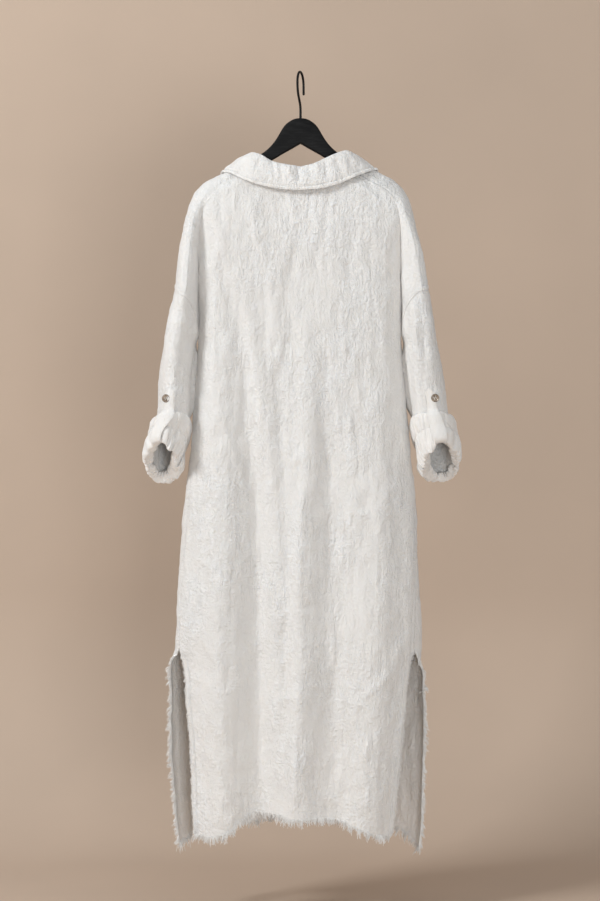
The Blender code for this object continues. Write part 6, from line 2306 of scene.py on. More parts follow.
@dataclass(frozen=True)
class Collar:
    """The collar: a stand on the neck edge and a soft wide fall turned down over it."""

    ways: int = 180
    stand_steps: int = 7
    border: float = 7.0
    falls: tuple[float, ...] = (
        0.0, 0.02, 0.05, 0.09, 0.14, 0.20, 0.27, 0.34, 0.42, 0.50, 0.58, 0.65, 0.71, 0.755, 0.79, 0.82, 0.845,
        0.87, 0.89, 0.91, 0.93, 0.95, 0.97, 0.987, 1.0,
    )
    beat_length: float = 5.4
    pull_shares: Knot = (0.45, 0.9)
    pull_width: float = 6.0
    seam_depth: float = 1.2
    seam_width: float = 1.6
    rim_rise: float = 0.9
    rim_place: float = 3.0
    rim_width: float = 2.3
    puff_power: float = 0.62
    crumple_share: float = 0.8
    crumple_fade: float = 6.0

    def stations(self, pattern: Pattern) -> list[tuple[float, Array, Array, Array, float]]:
        """Signed ways round the neck, each with the neck edge, the roll, the outer edge and the puff.

        Args:
            pattern: The panels.

        Returns:
            The stations in the order of their ways.
        """
        found = []
        for side, sign in SIGNS.items():
            rows = table(COLLAR_COLUMNS, COLLAR[side])
            back, front = pattern.neckline(side)
            for way in np.linspace(0.0, 1.0, self.ways + 1):
                if side == "left" and way == 0.0:
                    continue
                v = {name: float(smooth(rows["way"], rows[name], way)) for name in COLLAR_COLUMNS}
                base = along(back, [way / 0.5])[0] if way <= 0.5 else along(front, [(way - 0.5) / 0.5])[0]
                face, sense = ("back", 1.0) if way <= 0.5 else ("front", -1.0)
                edge_y = pattern.sections.surface_y(face, side, v["edge_x"], v["edge_drop"])
                edge_y += sense * v["stand_off"] * float(ease(abs(way - 0.5) / 0.06))
                roll = np.array([sign * v["roll_x"], v["roll_y"], -v["roll_drop"]])
                edge = np.array([sign * v["edge_x"], edge_y, -v["edge_drop"]])
                found.append((sign * way, base, roll, edge, v["puff"]))
        return sorted(found, key=lambda station: station[0])

    def cloth(self, pattern: Pattern) -> Cloth:
        """The stand's and the fall's middle surfaces, joined at the roll.

        Args:
            pattern: The panels.

        Returns:
            The skin of both.
        """
        stations = self.stations(pattern)
        tangents = np.gradient(np.array([station[2] for station in stations]), axis=0)
        steps = np.array(self.falls)
        stand, fall, arc = [], [], 0.0
        for index, (way, base, roll, edge, puff) in enumerate(stations):
            if index:
                arc += float(np.linalg.norm(edge - stations[index - 1][3]))
            clear = STAND_BASE_GAP + STAND_FRONT_GAP * float(ease((abs(way) - 0.44) / 0.1))
            low = base + unit(roll - base) * clear
            stand.append([(1 - t) * roll + t * low for t in np.linspace(0.0, 1.0, self.stand_steps)])
            line = edge - roll
            bulge = unit(np.cross(tangents[index], line))
            gap = (1 - steps) * np.linalg.norm(line)
            places = np.stack([np.full(len(gap), arc / 7.0), gap / 24.0, gap * 0.0], axis=1)
            loose = lattice_noise(places, 21)
            uneven = 0.5 * lattice_noise(places[:1] / 3.0, 22)[0]
            beat = np.sin(2 * math.pi * (arc / self.beat_length + uneven + 0.02 * gap))
            pull = self.pull_shares[0] * beat + self.pull_shares[1] * loose
            pull = pull * np.exp(-(((gap - self.border - 1.0) / self.pull_width) ** 2))
            seam = -self.seam_depth * np.exp(-(((gap - self.border) / self.seam_width) ** 2))
            rim = self.rim_rise * np.exp(-(((gap - self.rim_place) / self.rim_width) ** 2))
            lift = puff * np.sin(math.pi * steps**self.puff_power) + pull + seam + rim
            fall.append(roll + steps[:, None] * line + bulge * lift[:, None])
        stand_block = np.array(stand).transpose(1, 0, 2)[::-1][:, ::-1]
        fall_block = np.array(fall).transpose(1, 0, 2)[:, ::-1]
        cloth = Cloth({"collar_stand": [stand_block], "collar": [fall_block]})
        sets = {"collar": ((Face.BACK, COLLAR_CREASES),)}
        cloth.crumple(sets, self.crumple_share, self.crumple_fade)
        return cloth


@dataclass(frozen=True)
class Button:
    """A four-hole button with a raised rim and a dished middle."""

    radius: float = 7.8
    thickness: float = 2.6
    sides: int = 40
    hole_radius: float = 0.95
    hole_place: float = 1.75
    rings: tuple[tuple[float, float], ...] = (
        (0.9, -0.5), (0.97, -0.38), (1.0, -0.12), (1.0, 0.18), (0.97, 0.38), (0.91, 0.49), (0.84, 0.5),
        (0.77, 0.42), (0.70, 0.26), (0.62, 0.2),
    )

    def centres(self) -> list[tuple[float, float]]:
        """The holes' middles."""
        return [(x * self.hole_place, y * self.hole_place) for x, y in ((1, 1), (1, -1), (-1, -1), (-1, 1))]

    def form(self) -> tuple[Array, Faces]:
        """The button's points and faces, looking along Z.

        Returns:
            Points and faces.
        """
        work = bmesh.new()

        def ring(radius: float, height: float, sides: int, centre: Knot = (0.0, 0.0)) -> list:
            """A level circle of new points."""
            turns = [2 * math.pi * k / sides for k in range(sides)]
            return [
                work.verts.new((centre[0] + radius * math.cos(t), centre[1] + radius * math.sin(t), height))
                for t in turns
            ]

        def band(low: list, high: list) -> None:
            """Faces between two circles."""
            for k, vert in enumerate(low):
                ahead = (k + 1) % len(low)
                work.faces.new((vert, low[ahead], high[ahead], high[k]))

        radius, thickness = self.radius, self.thickness
        rows = [ring(radius * reach, thickness * height, self.sides) for reach, height in self.rings]
        for low, high in zip(rows, rows[1:]):
            band(low, high)
        floor, lip = self.thickness * self.rings[0][1], self.thickness * self.rings[-1][1]
        caps = {"floor": [rows[0]], "lip": [rows[-1]]}
        for centre in self.centres():
            under, over = ring(self.hole_radius, floor, 12, centre), ring(self.hole_radius, lip, 12, centre)
            band(under, over)
            caps["floor"].append(under)
            caps["lip"].append(over)
        for loops in caps.values():
            edges = [work.edges.get((loop[k - 1], loop[k])) for loop in loops for k in range(len(loop))]
            bmesh.ops.triangle_fill(work, use_beauty=True, use_dissolve=False, edges=edges)
        bmesh.ops.recalc_face_normals(work, faces=work.faces[:])
        work.verts.index_update()
        points = np.array([vert.co[:] for vert in work.verts])
        faces = [[vert.index for vert in face.verts] for face in work.faces]
        work.free()
        return points, faces

    def bars(self) -> list[tuple[Array, Faces]]:
        """The two rows of thread through the holes.

        Returns:
            Points and faces of each bar.
        """
        found = []
        centres = self.centres()
        top, low = 0.46 * self.thickness, -0.3 * self.thickness
        for first, last in ((centres[0], centres[1]), (centres[3], centres[2])):
            for shift in (-0.28, 0.28):
                ends = [(first[0] + shift, first[1]), (last[0] + shift, last[1])]
                knots = [(*ends[0], low), (*ends[0], top * 0.8), (*ends[0], top), (*ends[1], top)]
                knots += [(*ends[1], top * 0.8), (*ends[1], low)]
                path = spline(knots, 3)
                found.append(tube(path, np.full(len(path), 0.26), 6))
        return found

    @staticmethod
    def turned(points: Array, place: Array, normal: Array, turn: float) -> Array:
        """Points carried to a place, looking along a normal.

        Args:
            points: The points, looking along Z.
            place: The new middle.
            normal: The new way.
            turn: The turn about it, in radians.

        Returns:
            The moved points.
        """
        across = unit(np.cross(np.array([0.0, 0.0, 1.0]), normal))
        other = np.cross(normal, across)
        c, s = math.cos(turn), math.sin(turn)
        first, second = c * across + s * other, c * other - s * across
        return place + points[:, :1] * first + points[:, 1:2] * second + points[:, 2:] * normal


@dataclass(frozen=True)
class Hanger:
    """The flat wooden hanger with eased edges and an upright ridge at its middle, and its wire hook."""

    half: float = 6.5
    ridge: float = 1.9
    ridge_reach: float = 34.0
    step: float = 3.0
    end_round: float = 8.0
    end_reach: float = 9.0
    far_from: float = 100.0
    far_step: float = 11.0
    far_bottom: float = 136.0
    thinning: float = 0.42
    thin_reach: float = 5.0
    middle_reach: float = 70.0
    upper_round: Knot = (4.2, 2.6)
    lower_round: float = 4.2
    flat_share: Knot = (0.46, 0.3)
    round_shares: tuple[float, ...] = (0.0, 0.1, 0.3, 0.6, 1.0)
    stem: tuple[Knot, ...] = (
        (0.0, 101.0), (0.0, 88.0), (0.0, 70.0), (3.0, 61.0), (10.5, 51.5), (17.5, 42.5), (21.6, 32.0),
    )
    tip_round: float = 2.3
    wire_sides: int = 18

    def stations(self, pattern: Pattern) -> list[tuple[float, float, float]]:
        """Places across the hanger with the drops of its top and bottom edges.

        Args:
            pattern: The panels.

        Returns:
            x, top and bottom of each, in the order of x.
        """
        neck = table(HANGER_COLUMNS, HANGER_NECK)
        found = []
        for side, sign in SIGNS.items():
            arm = pattern.blocks["front_" + side][2]
            ridge = (arm[:, ::-1] if side == "left" else arm)[:, ARM_COLUMNS["top"]]
            far = np.arange(self.far_from, HANGER_END_X - 1.0, self.far_step)
            tops = np.interp(far, sign * ridge[:, 0], -ridge[:, 2]) + HANGER_UNDER_RIDGE
            xs = np.concatenate([neck["x"], far])
            tops = np.concatenate([neck["top"], tops])
            bottoms = np.concatenate([neck["bottom"], self.far_bottom + HANGER_BOTTOM_SLOPE * far])
            places = np.arange(0.0 if side == "left" else self.step, HANGER_END_X, self.step)
            for x in np.append(places, HANGER_END_X):
                top, bottom = float(smooth(xs, tops, x)), float(smooth(xs, bottoms, x))
                if x > xs[-1]:
                    rate = (tops[-1] - tops[-2]) / (xs[-1] - xs[-2])
                    top += rate * (x - xs[-1])
                    bottom += HANGER_BOTTOM_SLOPE * (x - xs[-1])
                past = max(0.0, (x - HANGER_END_X + self.end_reach) / self.end_reach)
                close = 1.0 - math.sqrt(max(0.0, 1.0 - past ** 2))
                found.append((float(sign * x), top + self.end_round * close, bottom - self.end_round * close))
        return sorted(found)

    def body(self, pattern: Pattern, finish: Material) -> Object:
        """Makes the wooden part.

        Args:
            pattern: The panels.
            finish: Its material.

        Returns:
            The object.
        """
        points, size = [], 0
        for x, top, bottom in self.stations(pattern):
            reach = abs(x)
            half = self.half + self.ridge * max(0.0, 1.0 - reach / self.ridge_reach)
            half *= 1.0 - self.thinning * float(
                ease((reach - HANGER_END_X + self.thin_reach) / self.thin_reach)
            )
            far = int(reach >= self.middle_reach)
            upper, flat = self.upper_round[far], self.flat_share[far] * half
            middle = -HANGER_SWEEP * reach
            shares = self.round_shares
            reaches = [flat + (half - flat) * math.sqrt(1 - (1 - share) ** 2) for share in shares]
            section = [(y, top + upper * share) for share, y in zip(shares, reaches)]
            section.append((half, 0.5 * (top + bottom)))
            section += [
                (y, bottom - self.lower_round * share) for share, y in zip(shares[::-1], reaches[::-1])
            ]
            section += [(-y, drop) for y, drop in reversed(section)]
            size = len(section)
            points += [(x, middle + y, -drop) for y, drop in section]
        faces = lofted(len(points) // size, size)
        whole = np.array(points)
        return mesh_object("wooden_hanger", whole * MM, outward(whole, faces), finish, sharp=38.0)

    def hook(self, finish: Material) -> Object:
        """Makes the wire hook.

        Args:
            finish: Its material.

        Returns:
            The object.
        """
        radius = HOOK_INNER_RADIUS + 0.5 * HOOK_WIRE
        centre = HOOK_INNER_RADIUS
        plan = list(self.stem)
        for degrees in range(0, 181, 18):
            angle = math.radians(degrees)
            plan.append((radius * math.cos(angle), centre - radius * math.sin(angle)))
        plan += [(-radius - 0.2, 31.0), (-radius - 0.8, 38.5)]
        turn = (math.sin(HOOK_TURN), math.cos(HOOK_TURN))
        path = spline([(reach * turn[0], reach * turn[1], -drop) for reach, drop in plan], 6)
        left = lengths_along(path)[-1] - lengths_along(path)
        tip = np.sqrt(np.clip(1.0 - (1.0 - np.clip(left / self.tip_round, 0.0, 1.0)) ** 2, 0.04, 1.0))
        points, faces = tube(path, 0.5 * HOOK_WIRE * tip, self.wire_sides)
        return mesh_object("wire_hook", points * MM, outward(points, faces), finish, sharp=50.0)


@dataclass(frozen=True)
class Cut:
    """The cut of a piece of cloth, how it is held and what it rests on."""

    flat: Knot
    area: float
    held: str
    rests_on: tuple[str, ...]


@dataclass(frozen=True)
class Frayed:
    """Loose threads on one edge: how many, how long and how they lie."""

    count: int
    shortest: float
    longest: float
    droop: float
    seed: int


CUTS = {
    "dress_back": Cut((0.62, 1.31), 0.60, "hung", ("wooden_hanger",)),
    **{f"dress_front_{side}": Cut((0.36, 1.35), 0.40, "hung", ("wooden_hanger",)) for side in SIGNS},
    **{f"dress_sleeve_{side}": Cut((0.36, 0.30), 0.095, "hung", ("dress_back",)) for side in SIGNS},
    **{f"dress_cuff_{side}": Cut((0.30, 0.10), 0.028, "folded", (f"dress_sleeve_{side}",)) for side in SIGNS},
    "dress_collar": Cut((0.60, 0.095), 0.052, "folded", ("dress_collar_stand",)),
    "dress_collar_stand": Cut((0.46, 0.034), 0.014, "hung", ("dress_back",)),
    **{f"dress_tab_{side}": Cut((0.03, 0.11), 0.003, "folded", (f"dress_cuff_{side}",)) for side in SIGNS},
}

HEM_FRAY = Frayed(1500, 0.005, 0.015, 0.1, 11)
FRONT_HEM_FRAY = Frayed(820, 0.005, 0.016, 0.1, 23)
FRONT_SLIT_FRAY = Frayed(1300, 0.003, 0.0095, 0.25, 37)
BACK_SLIT_FRAY = Frayed(620, 0.0015, 0.0042, 0.25, 53)
SLIT_LEAN = (0.85, 0.0, -0.5)


@dataclass
class Dress:
    """Every piece of the dress, its trims and its hanger."""

    finishes: Finishes
    wall: float = 1.2
    seam_fade: float = 14.0
    collar_wall: float = 1.8
    stand_wall: float = 1.6
    tab_wall: float = 1.6
    strip_rise: float = 1.1
    button_turn: Knot = (0.0, 0.75, 0.0)
    underarm: float = 9.0
    underarm_span: tuple[Knot, Knot] = ((515.0, 45.0), (640.0, 30.0))
    underarm_front: Knot = (4.0, 14.0)
    welt_lines: tuple[float, ...] = (-0.6, 0.6, 2.4, 4.4, 6.4, 7.6)
    slit_band_lines: tuple[float, ...] = (0.3, 1.2, 3.6, 6.6, 8.6, 9.6)
    armhole_seam: float = 5.4
    collar_seam: float = 7.0
    slit_seams: Knot = (7.6, 9.0)
    lap_seams: Knot = (6.0, 29.0)
    tab_seam: float = 2.4
    front_button_lift: float = 0.9
    tab_button_lift: float = 0.4
    tab_button_shift: Knot = (5.0, 2.0)
    stitch_pitch: float = 0.0033
    stitch_length: float = 0.0026
    stitch_radius: float = 0.00034
    edge_way: Triple = (1.0, 0.3, 1.0)
    thread_radius: float = 0.00042
    scatter: float = 0.4
    clump: float = 2.4
    pieces: dict[str, Object] = field(default_factory=dict)
    extras: dict[str, list[str]] = field(default_factory=dict)

    def __post_init__(self) -> None:
        """Works out the cloth."""
        self.sections = Sections()
        self.pattern = Pattern(self.sections)
        self.shell = Cloth(self.pattern.blocks)
        self.gather_underarms()
        back, front = (Face.BACK, BACK_CREASES), (Face.FRONT, FRONT_CREASES)
        sets = {"back": (back,)}
        for side in SIGNS:
            sets["front_" + side] = (front, back)
            sets["sleeve_" + side] = ((Face.BACK, SLEEVE_CREASES), front)
        self.shell.crumple(sets, 1.0, self.seam_fade)
        self.ends = {side: SleeveEnd(self.sections, side) for side in SIGNS}
        self.fray = Fray()
        self.stitching = Stitching()

    def gather_underarms(self) -> None:
        """Lets the front of each sleeve hang towards the body under the arm."""
        for side, sign in SIGNS.items():
            ids = np.unique(self.shell.quads["sleeve_" + side])
            y, drop = self.shell.points[ids, 1], -self.shell.points[ids, 2]
            inward = np.clip(-sign * self.shell.normals[ids, 0], 0.0, 1.0)
            begun, ended = (ease((drop - first) / reach) for first, reach in self.underarm_span)
            behind = ease((y + self.underarm_front[0]) / self.underarm_front[1])
            self.shell.points[ids, 0] -= sign * self.underarm * inward * begun * (1.0 - ended) * (
                1.0 - behind
            )
        self.shell.normals = self.shell.find_normals()

    def keep(self, made: Object, slot: str, *nodes: str, on: str = "") -> None:
        """Records a finished piece.

        Args:
            made: The piece.
            slot: Not used.
            nodes: The model's nodes that it stands for.
            on: The cloth that it is sewn to.
        """
        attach(made, BODY)
        if nodes:
            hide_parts(*nodes)
        if on:
            self.extras.setdefault(on, []).append(made.name)
        self.pieces[made.name] = made
        triangles = sum(len(polygon.vertices) - 2 for polygon in made.data.polygons)
        LOG.info("%s: %d triangles", made.name, triangles)

    def build(self) -> None:
        """Builds all of it, in the order in which it is laid on."""
        self.build_cloth()
        self.build_trims()
        self.build_buttons()
        self.build_frays()
        hanger = Hanger()
        self.keep(hanger.body(self.pattern, self.finishes.wood), "black_wood", "hanger")
        self.keep(hanger.hook(self.finishes.wire), "black_wire", "hanger_hook")
        self.declare()

    def build_cloth(self) -> None:
        """The panels, the collar, the cuffs and the tabs."""
        linen, soft = self.finishes.linen, self.finishes.soft_linen
        for name in self.pattern.blocks:
            self.keep(self.shell.solid(name, self.wall, linen), "linen", name)
        self.collar = Collar().cloth(self.pattern)
        for name, wall in (("collar_stand", self.stand_wall), ("collar", self.collar_wall)):
            self.keep(self.collar.solid(name, wall, linen), "linen", name)
        self.tabs = {}
        for side in SIGNS:
            self.keep(Cuff().build(self.ends[side], soft), "linen", "cuff_" + side)
            self.tabs[side] = Tab().cloth(self.ends[side])
            self.keep(self.tabs[side].solid("tab_" + side, self.tab_wall, soft), "linen", "tab_" + side)

    def sew(self, name: str, on: str, lines: Sequence[Line], lift: float = 0.12) -> None:
        """Stitches along lines laid on a piece.

        Args:
            name: The stitches' name.
            on: The piece that they are sewn to.
            lines: Points near its surface and the way out at each.
            lift: How far above the surface the thread's middle lies.
        """
        drape = Drape([self.pieces[on]] + [self.pieces[n] for n in self.extras.get(on, []) if "band" in n])
        laid = [drape.lay(*self.resampled(line, ways), lift) for line, ways in lines]
        values = {
            "Pitch": self.stitch_pitch, "Length": self.stitch_length, "Radius": self.stitch_radius,
            "Finish": self.finishes.stitch,
        }
        mesh = self.stitching.bake(laid, values)
        self.keep(joined_object(name, [mesh], self.finishes.stitch), "linen_thread", on=on)

    @staticmethod
    def resampled(line: Array, ways: Array, step: float = 2.0) -> Line:
        """A line and its directions at even steps.

        Args:
            line: The line's points.
            ways: Its directions.
            step: The step in millimetres.

        Returns:
            The new points and directions.
        """
        count = max(2, int(lengths_along(line)[-1] / step))
        shares = np.linspace(0.0, 1.0, count + 1)
        read = along(np.concatenate([line, ways * FAINT], axis=1), shares)
        return read[:, :3], unit(read[:, 3:] * STRONG)

    def armhole(self, side: str, distance: float) -> Line:
        """A line round the armhole, on the body's side of the seam.

        Args:
            side: left or right.
            distance: How far from the seam, in millimetres.

        Returns:
            The line and the ways out.
        """
        points, normals = self.shell.edge("sleeve_" + side, 0, row=0)
        below, _ = self.shell.edge("sleeve_" + side, 0, row=1)
        count = int(lengths_along(points)[-1] / 3.0)
        away = unit(points - below)
        away = unit(away - normals * np.sum(away * normals, axis=1, keepdims=True))
        carried = np.concatenate([points, normals * FAINT, away * FAINT], axis=1)
        read = along(carried, np.linspace(0.0, 1.0, count))
        return read[:, :3] + unit(read[:, 6:] * STRONG) * distance, unit(read[:, 3:6] * STRONG)

    def build_trims(self) -> None:
        """The armholes' welts and every row of stitches."""
        body = [self.pieces["dress_" + name] for name in ("back", "front_left", "front_right")]
        drape = Drape(body)
        for side in SIGNS:
            lines = [self.armhole(side, distance) for distance in self.welt_lines]
            lines = [(line[10:-10], ways[10:-10]) for line, ways in lines]
            self.keep(self.strip("welt_" + side, lines, drape), "linen", on="dress_back")
            edge = (1, "first") if side == "left" else (4, "last")
            lines = []
            for distance in self.slit_band_lines:
                line, ways = self.shell.inset("back", *edge, distance)
                lines.append((line[SIDE_ROWS + 2 :], ways[SIDE_ROWS + 2 :]))
            self.keep(self.strip("slit_band_" + side, lines, drape), "linen", on="dress_back")
            line, ways = self.armhole(side, self.armhole_seam)
            self.sew("stitches_armhole_" + side, f"welt_{side}", [(line[12:-12], ways[12:-12])])
            self.extras["dress_back"].append("stitches_armhole_" + side)
        self.extras = {name: found for name, found in self.extras.items() if not name.startswith("welt")}
        self.sew(
            "stitches_collar", "dress_collar", [self.collar.inset("collar", 0, "bottom", self.collar_seam)]
        )
        slits = {"back": [], "front_left": [], "front_right": []}
        plan = (
            ("back", 1, "first"), ("back", 4, "last"), ("front_left", 1, "last"), ("front_right", 1, "first"),
        )
        for name, block, edge in plan:
            distance = self.slit_seams[0 if name == "back" else 1]
            line, ways = self.shell.inset(name, block, edge, distance)
            slits[name].append((line[SIDE_ROWS + 3 :], ways[SIDE_ROWS + 3 :]))
        lap = {"front_right": "last", "front_left": "first"}
        for name, edge in lap.items():
            for distance in self.lap_seams:
                parts = [self.shell.inset(name, block, edge, distance) for block in (0, 1)]
                line = np.concatenate([parts[0][0], parts[1][0][1:]])
                slits[name].append((line, np.concatenate([parts[0][1], parts[1][1][1:]])))
        for name, lines in slits.items():
            self.sew("stitches_" + name, "dress_" + name, lines)
        for side in SIGNS:
            tab = self.tabs[side]
            sides = [tab.inset("tab_" + side, 0, edge, self.tab_seam) for edge in ("first", "last")]
            self.sew("stitches_tab_" + side, "dress_tab_" + side, sides)

    def strip(self, name: str, lines: Sequence[Line], drape: Drape) -> Object:
        """A flat strip of doubled cloth laid on a piece.

        Args:
            name: The strip's name.
            lines: Its lines side by side, each with the ways out.
            drape: The surface that it lies on.

        Returns:
            The strip's object.
        """
        rows = [drape.lay(line, ways, 0.0) for line, ways in lines]
        count, last = len(rows[0][0]), len(rows) - 1
        rise = 0.15 + self.strip_rise * ease(np.minimum(np.arange(count), np.arange(count)[::-1]) / 6.0)
        over = []
        for k, (place, way) in enumerate(rows):
            over.append(place + way * (rise if 0 < k < last else 0.3 * rise)[:, None])
        under = np.array([place - way * 0.35 for place, way in rows])
        around = np.concatenate([np.array(over), under[::-1], over[:1]])
        cloth = Cloth({name: [around]})
        quads, sources = cloth.quads[name].tolist(), cloth.raw_quads[name].tolist()
        ids = cloth.ids[name][0][:-1]
        for ring in (ids[::-1, 0], ids[:, -1]):
            quads.append(cloth.weld[ring].tolist())
            sources.append(ring.tolist())
        faces = outward(cloth.points, quads)
        if faces[0] != quads[0]:
            sources = [source[::-1] for source in sources]
        return mesh_object(name, cloth.points * MM, faces, self.finishes.linen, cloth.uv, sources, 50.0)

    def build_buttons(self) -> None:
        """The front's buttons and the tabs' buttons, and the thread that holds each."""
        button = Button()
        points, faces = button.form()
        faces = outward(points, faces)
        spots = []
        front = Drape([self.pieces["dress_front_right"]])
        out = np.array([0.0, -1.0, 0.0])
        for number in range(1, FRONT_BUTTONS + 1):
            low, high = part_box(f"button_front_{number}")
            near = np.array([(low.x + high.x) / 2, low.y - MM, (low.z + high.z) / 2]) / MM
            laid, _ = front.lay(near[None], out[None], self.front_button_lift + 0.5 * button.thickness)
            spots.append((f"front_{number}", laid[0], out, 0.6 * number, "dress_front_right"))
        for side, sign in SIGNS.items():
            low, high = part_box("button_tab_" + side)
            inward, down = self.tab_button_shift
            near = np.array((low + high) / 2) / MM - (inward * sign, 0.0, down)
            _, way = self.ends[side].at(TAB_COLUMN[side][0], TAB_PROFILE[2][0], 2.0)
            lift = self.tab_button_lift + 0.5 * button.thickness
            laid, _ = Drape([self.pieces["dress_tab_" + side]]).lay(near[None], way[None], lift)
            turned = unit(way + np.array(self.button_turn))
            laid = laid + way * 0.9 * button.radius * math.sqrt(max(0.0, 1.0 - float(way @ turned) ** 2))
            way = turned
            spots.append(("tab_" + side, laid[0], way, 0.5, "dress_tab_" + side))
        threads = []
        for name, place, way, turn, on in spots:
            placed = button.turned(points, place, way, turn)
            made = mesh_object("horn_button_" + name, placed * MM, faces, self.finishes.horn, sharp=35.0)
            self.keep(made, "horn_button", "button_" + name)
            for bar, sides in button.bars():
                mesh = bpy.data.meshes.new("bar")
                rod = button.turned(bar, place, way, turn) * MM
                mesh.from_pydata(rod.tolist(), [], outward(bar, sides))
                threads.append(mesh)
        self.keep(joined_object("button_threads", threads, self.finishes.stitch), "linen_thread")

    def build_frays(self) -> None:
        """The loose threads on the hems and on the slits' edges."""
        skirts = {"left": ("front_left", 1, -1, -2), "right": ("front_right", 1, 0, 1)}
        backs = {"left": (1, 0, 1), "right": (4, -1, -2)}
        hem = [self.border("back", block, {"row": -1}, {"row": -2}) for block in (1, 4)]
        self.fringe("fringe_hem_back", "dress_back", hem, HEM_FRAY)
        for side in SIGNS:
            name, block, outer, inner = skirts[side]
            lines = [self.border(name, block, {"row": -1}, {"row": -2})]
            self.fringe(f"fringe_hem_front_{side}", "dress_" + name, lines, FRONT_HEM_FRAY)
            line, away = self.border(name, block, {"column": outer}, {"column": inner}, SIDE_ROWS)
            lean = np.array(SLIT_LEAN) * (SIGNS[side], 1.0, 1.0)
            lines = [(line, unit(0.35 * away + lean))]
            self.fringe(f"fringe_slit_front_{side}", "dress_" + name, lines, FRONT_SLIT_FRAY)
            block, outer, inner = backs[side]
            lines = [self.border("back", block, {"column": outer}, {"column": inner}, SIDE_ROWS)]
            self.fringe(f"fringe_slit_back_{side}", "dress_back", lines, BACK_SLIT_FRAY)

    def border(self, name: str, block: int, outer: dict, inner: dict, first: int = 0) -> Line:
        """An edge of the shell and the way that its threads point.

        Args:
            name: The panel.
            block: The block's number in it.
            outer: The row or column on the edge.
            inner: The one beside it.
            first: The first point that is kept.

        Returns:
            The edge and the ways.
        """
        line, _ = self.shell.edge(name, block, **outer)
        inside, _ = self.shell.edge(name, block, **inner)
        return line[first:], unit((line - inside) * self.edge_way)[first:]

    def fringe(self, node: str, on: str, lines: Sequence[Line], fray: Frayed) -> None:
        """Loose threads along an edge, in the place of one of the model's fringes.

        Args:
            node: The model's node.
            on: The piece that it hangs on.
            lines: Edges with the ways of their threads.
            fray: What the threads are like.
        """
        meshes = []
        for number, line in enumerate(lines):
            values = {
                "Count": fray.count // len(lines), "Shortest": fray.shortest, "Longest": fray.longest,
                "Radius": self.thread_radius, "Scatter": self.scatter, "Clump": self.clump,
                "Droop": fray.droop, "Seed": fray.seed + 90 * number, "Finish": self.finishes.thread,
            }
            meshes.append(self.fray.bake([line], values))
        made = joined_object("loose_threads_" + node[7:], meshes, self.finishes.thread)
        self.keep(made, "linen_thread", node, on=on)

    def declare(self) -> None:
        """Logs each piece of cloth's area and its share of its cut."""
        for name, cut in CUTS.items():
            made = self.pieces[name]
            half = 0.5 * sum(polygon.area for polygon in made.data.polygons)
            share = half / cut.area
            LOG.info("%s: %.4f square metres of cloth, %.2f of the cut", name, half, share)


@dataclass(frozen=True)
class Lamp:
    """A square soft light that is aimed at a point, in metres and watts."""

    name: str
    place: Triple
    target: Triple
    size: float
    power: float
    colour: Colour

    def build(self) -> None:
        """Hangs it in the scene, out of the camera's sight."""
        data = bpy.data.lights.new(self.name, "AREA")
        data.size = self.size
        data.energy = self.power
        data.color = self.colour
        made = linked(self.name, data)
        made.visible_camera = False
        made.location = self.place
        made.rotation_euler = (Vector(self.target) - Vector(self.place)).to_track_quat("-Z", "Y").to_euler()


LAMPS = (
    Lamp("key", (2.9, 1.9, 1.35), (0.0, 0.0, -0.75), 0.9, 96.0, (0.955, 0.975, 0.985)),
    Lamp("fill", (-0.7, 3.4, -1.1), (0.0, 0.0, -0.8), 1.0, 42.0, (0.96, 0.975, 0.98)),
    Lamp("top", (0.2, 0.2, 1.6), (0.0, -0.2, -0.7), 1.8, 5.0, (1.0, 0.99, 0.98)),
)


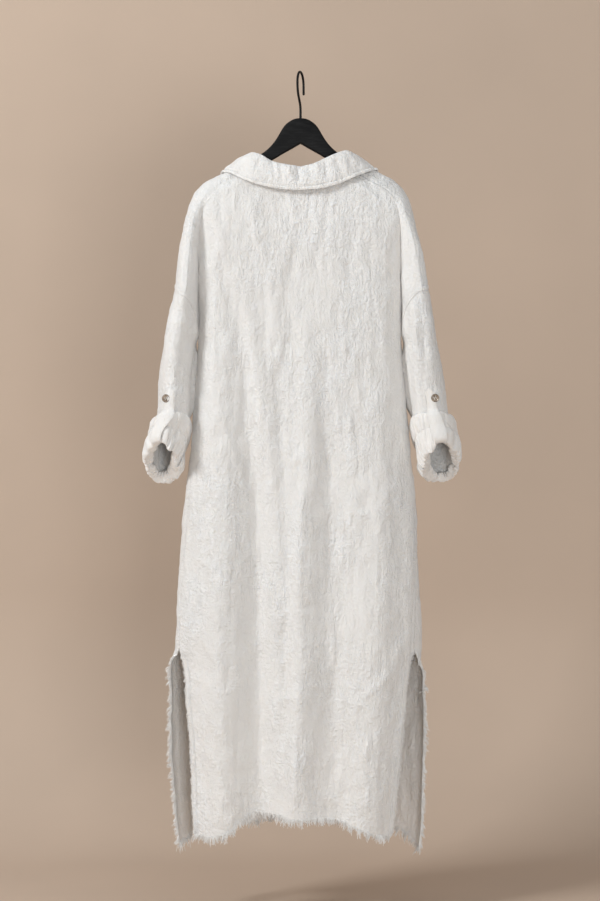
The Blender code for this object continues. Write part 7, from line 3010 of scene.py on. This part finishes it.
@dataclass(frozen=True)
class Studio:
    """The plain sweep, the soft lights and the camera."""

    distance: float = 3.55
    height: float = -0.727
    aside: float = 0.001
    lens: float = 73.6
    sweep_colour: Colour = (0.54, 0.425, 0.335)
    world_colour: Colour = (0.925, 0.945, 0.96)
    world_strength: float = 0.47
    floor: float = -1.62
    wall: float = -0.95
    bend: float = 0.55
    half_width: float = 4.5
    near_edge: float = 6.0
    top_edge: float = 3.4
    bend_steps: int = 16
    sensor: float = 36.0

    def build(self) -> None:
        """Builds the studio."""
        self.sweep()
        bpy.context.scene.view_settings.view_transform = "Standard"
        for lamp in LAMPS:
            lamp.build()
        world = bpy.data.worlds.new("studio")
        world.use_nodes = True
        inputs = {"Color": (*self.world_colour, 1.0), "Strength": self.world_strength}
        Nodes(world.node_tree).wire(world.node_tree.nodes["Background"], inputs)
        bpy.context.scene.world = world
        data = bpy.data.cameras.new("camera")
        data.sensor_fit = "VERTICAL"
        data.sensor_height = self.sensor
        data.lens = self.lens
        camera = linked("camera", data)
        camera.location = (self.aside, self.distance, self.height)
        camera.rotation_euler = (math.radians(90.0), 0.0, math.radians(180.0))
        bpy.context.scene.camera = camera

    def sweep(self) -> None:
        """The floor and the wall in one curved sheet."""
        profile = [(self.near_edge, self.floor)]
        for step in range(self.bend_steps + 1):
            angle = 0.5 * math.pi * step / self.bend_steps
            y = self.wall + self.bend - self.bend * math.sin(angle)
            profile.append((y, self.floor + self.bend - self.bend * math.cos(angle)))
        profile.append((self.wall, self.top_edge))
        points = [(x, y, z) for y, z in profile for x in (-self.half_width, self.half_width)]
        faces = [[2 * k, 2 * k + 1, 2 * k + 3, 2 * k + 2] for k in range(len(profile) - 1)]
        paint = Plaster("warm plaster", self.sweep_colour).build()
        made = mesh_object("studio_sweep", np.array(points), faces, paint)
        made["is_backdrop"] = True


def corners() -> list[list[float]]:
    """The shown object's lowest and highest corner, in metres."""
    low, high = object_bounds()
    return [list(low), list(high)]


def main() -> None:
    """Dresses the model."""
    logging.basicConfig(level=logging.INFO, format="%(message)s")
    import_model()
    Dress(Finishes()).build()
    Studio().build()


if __name__ == "__main__":
    main()
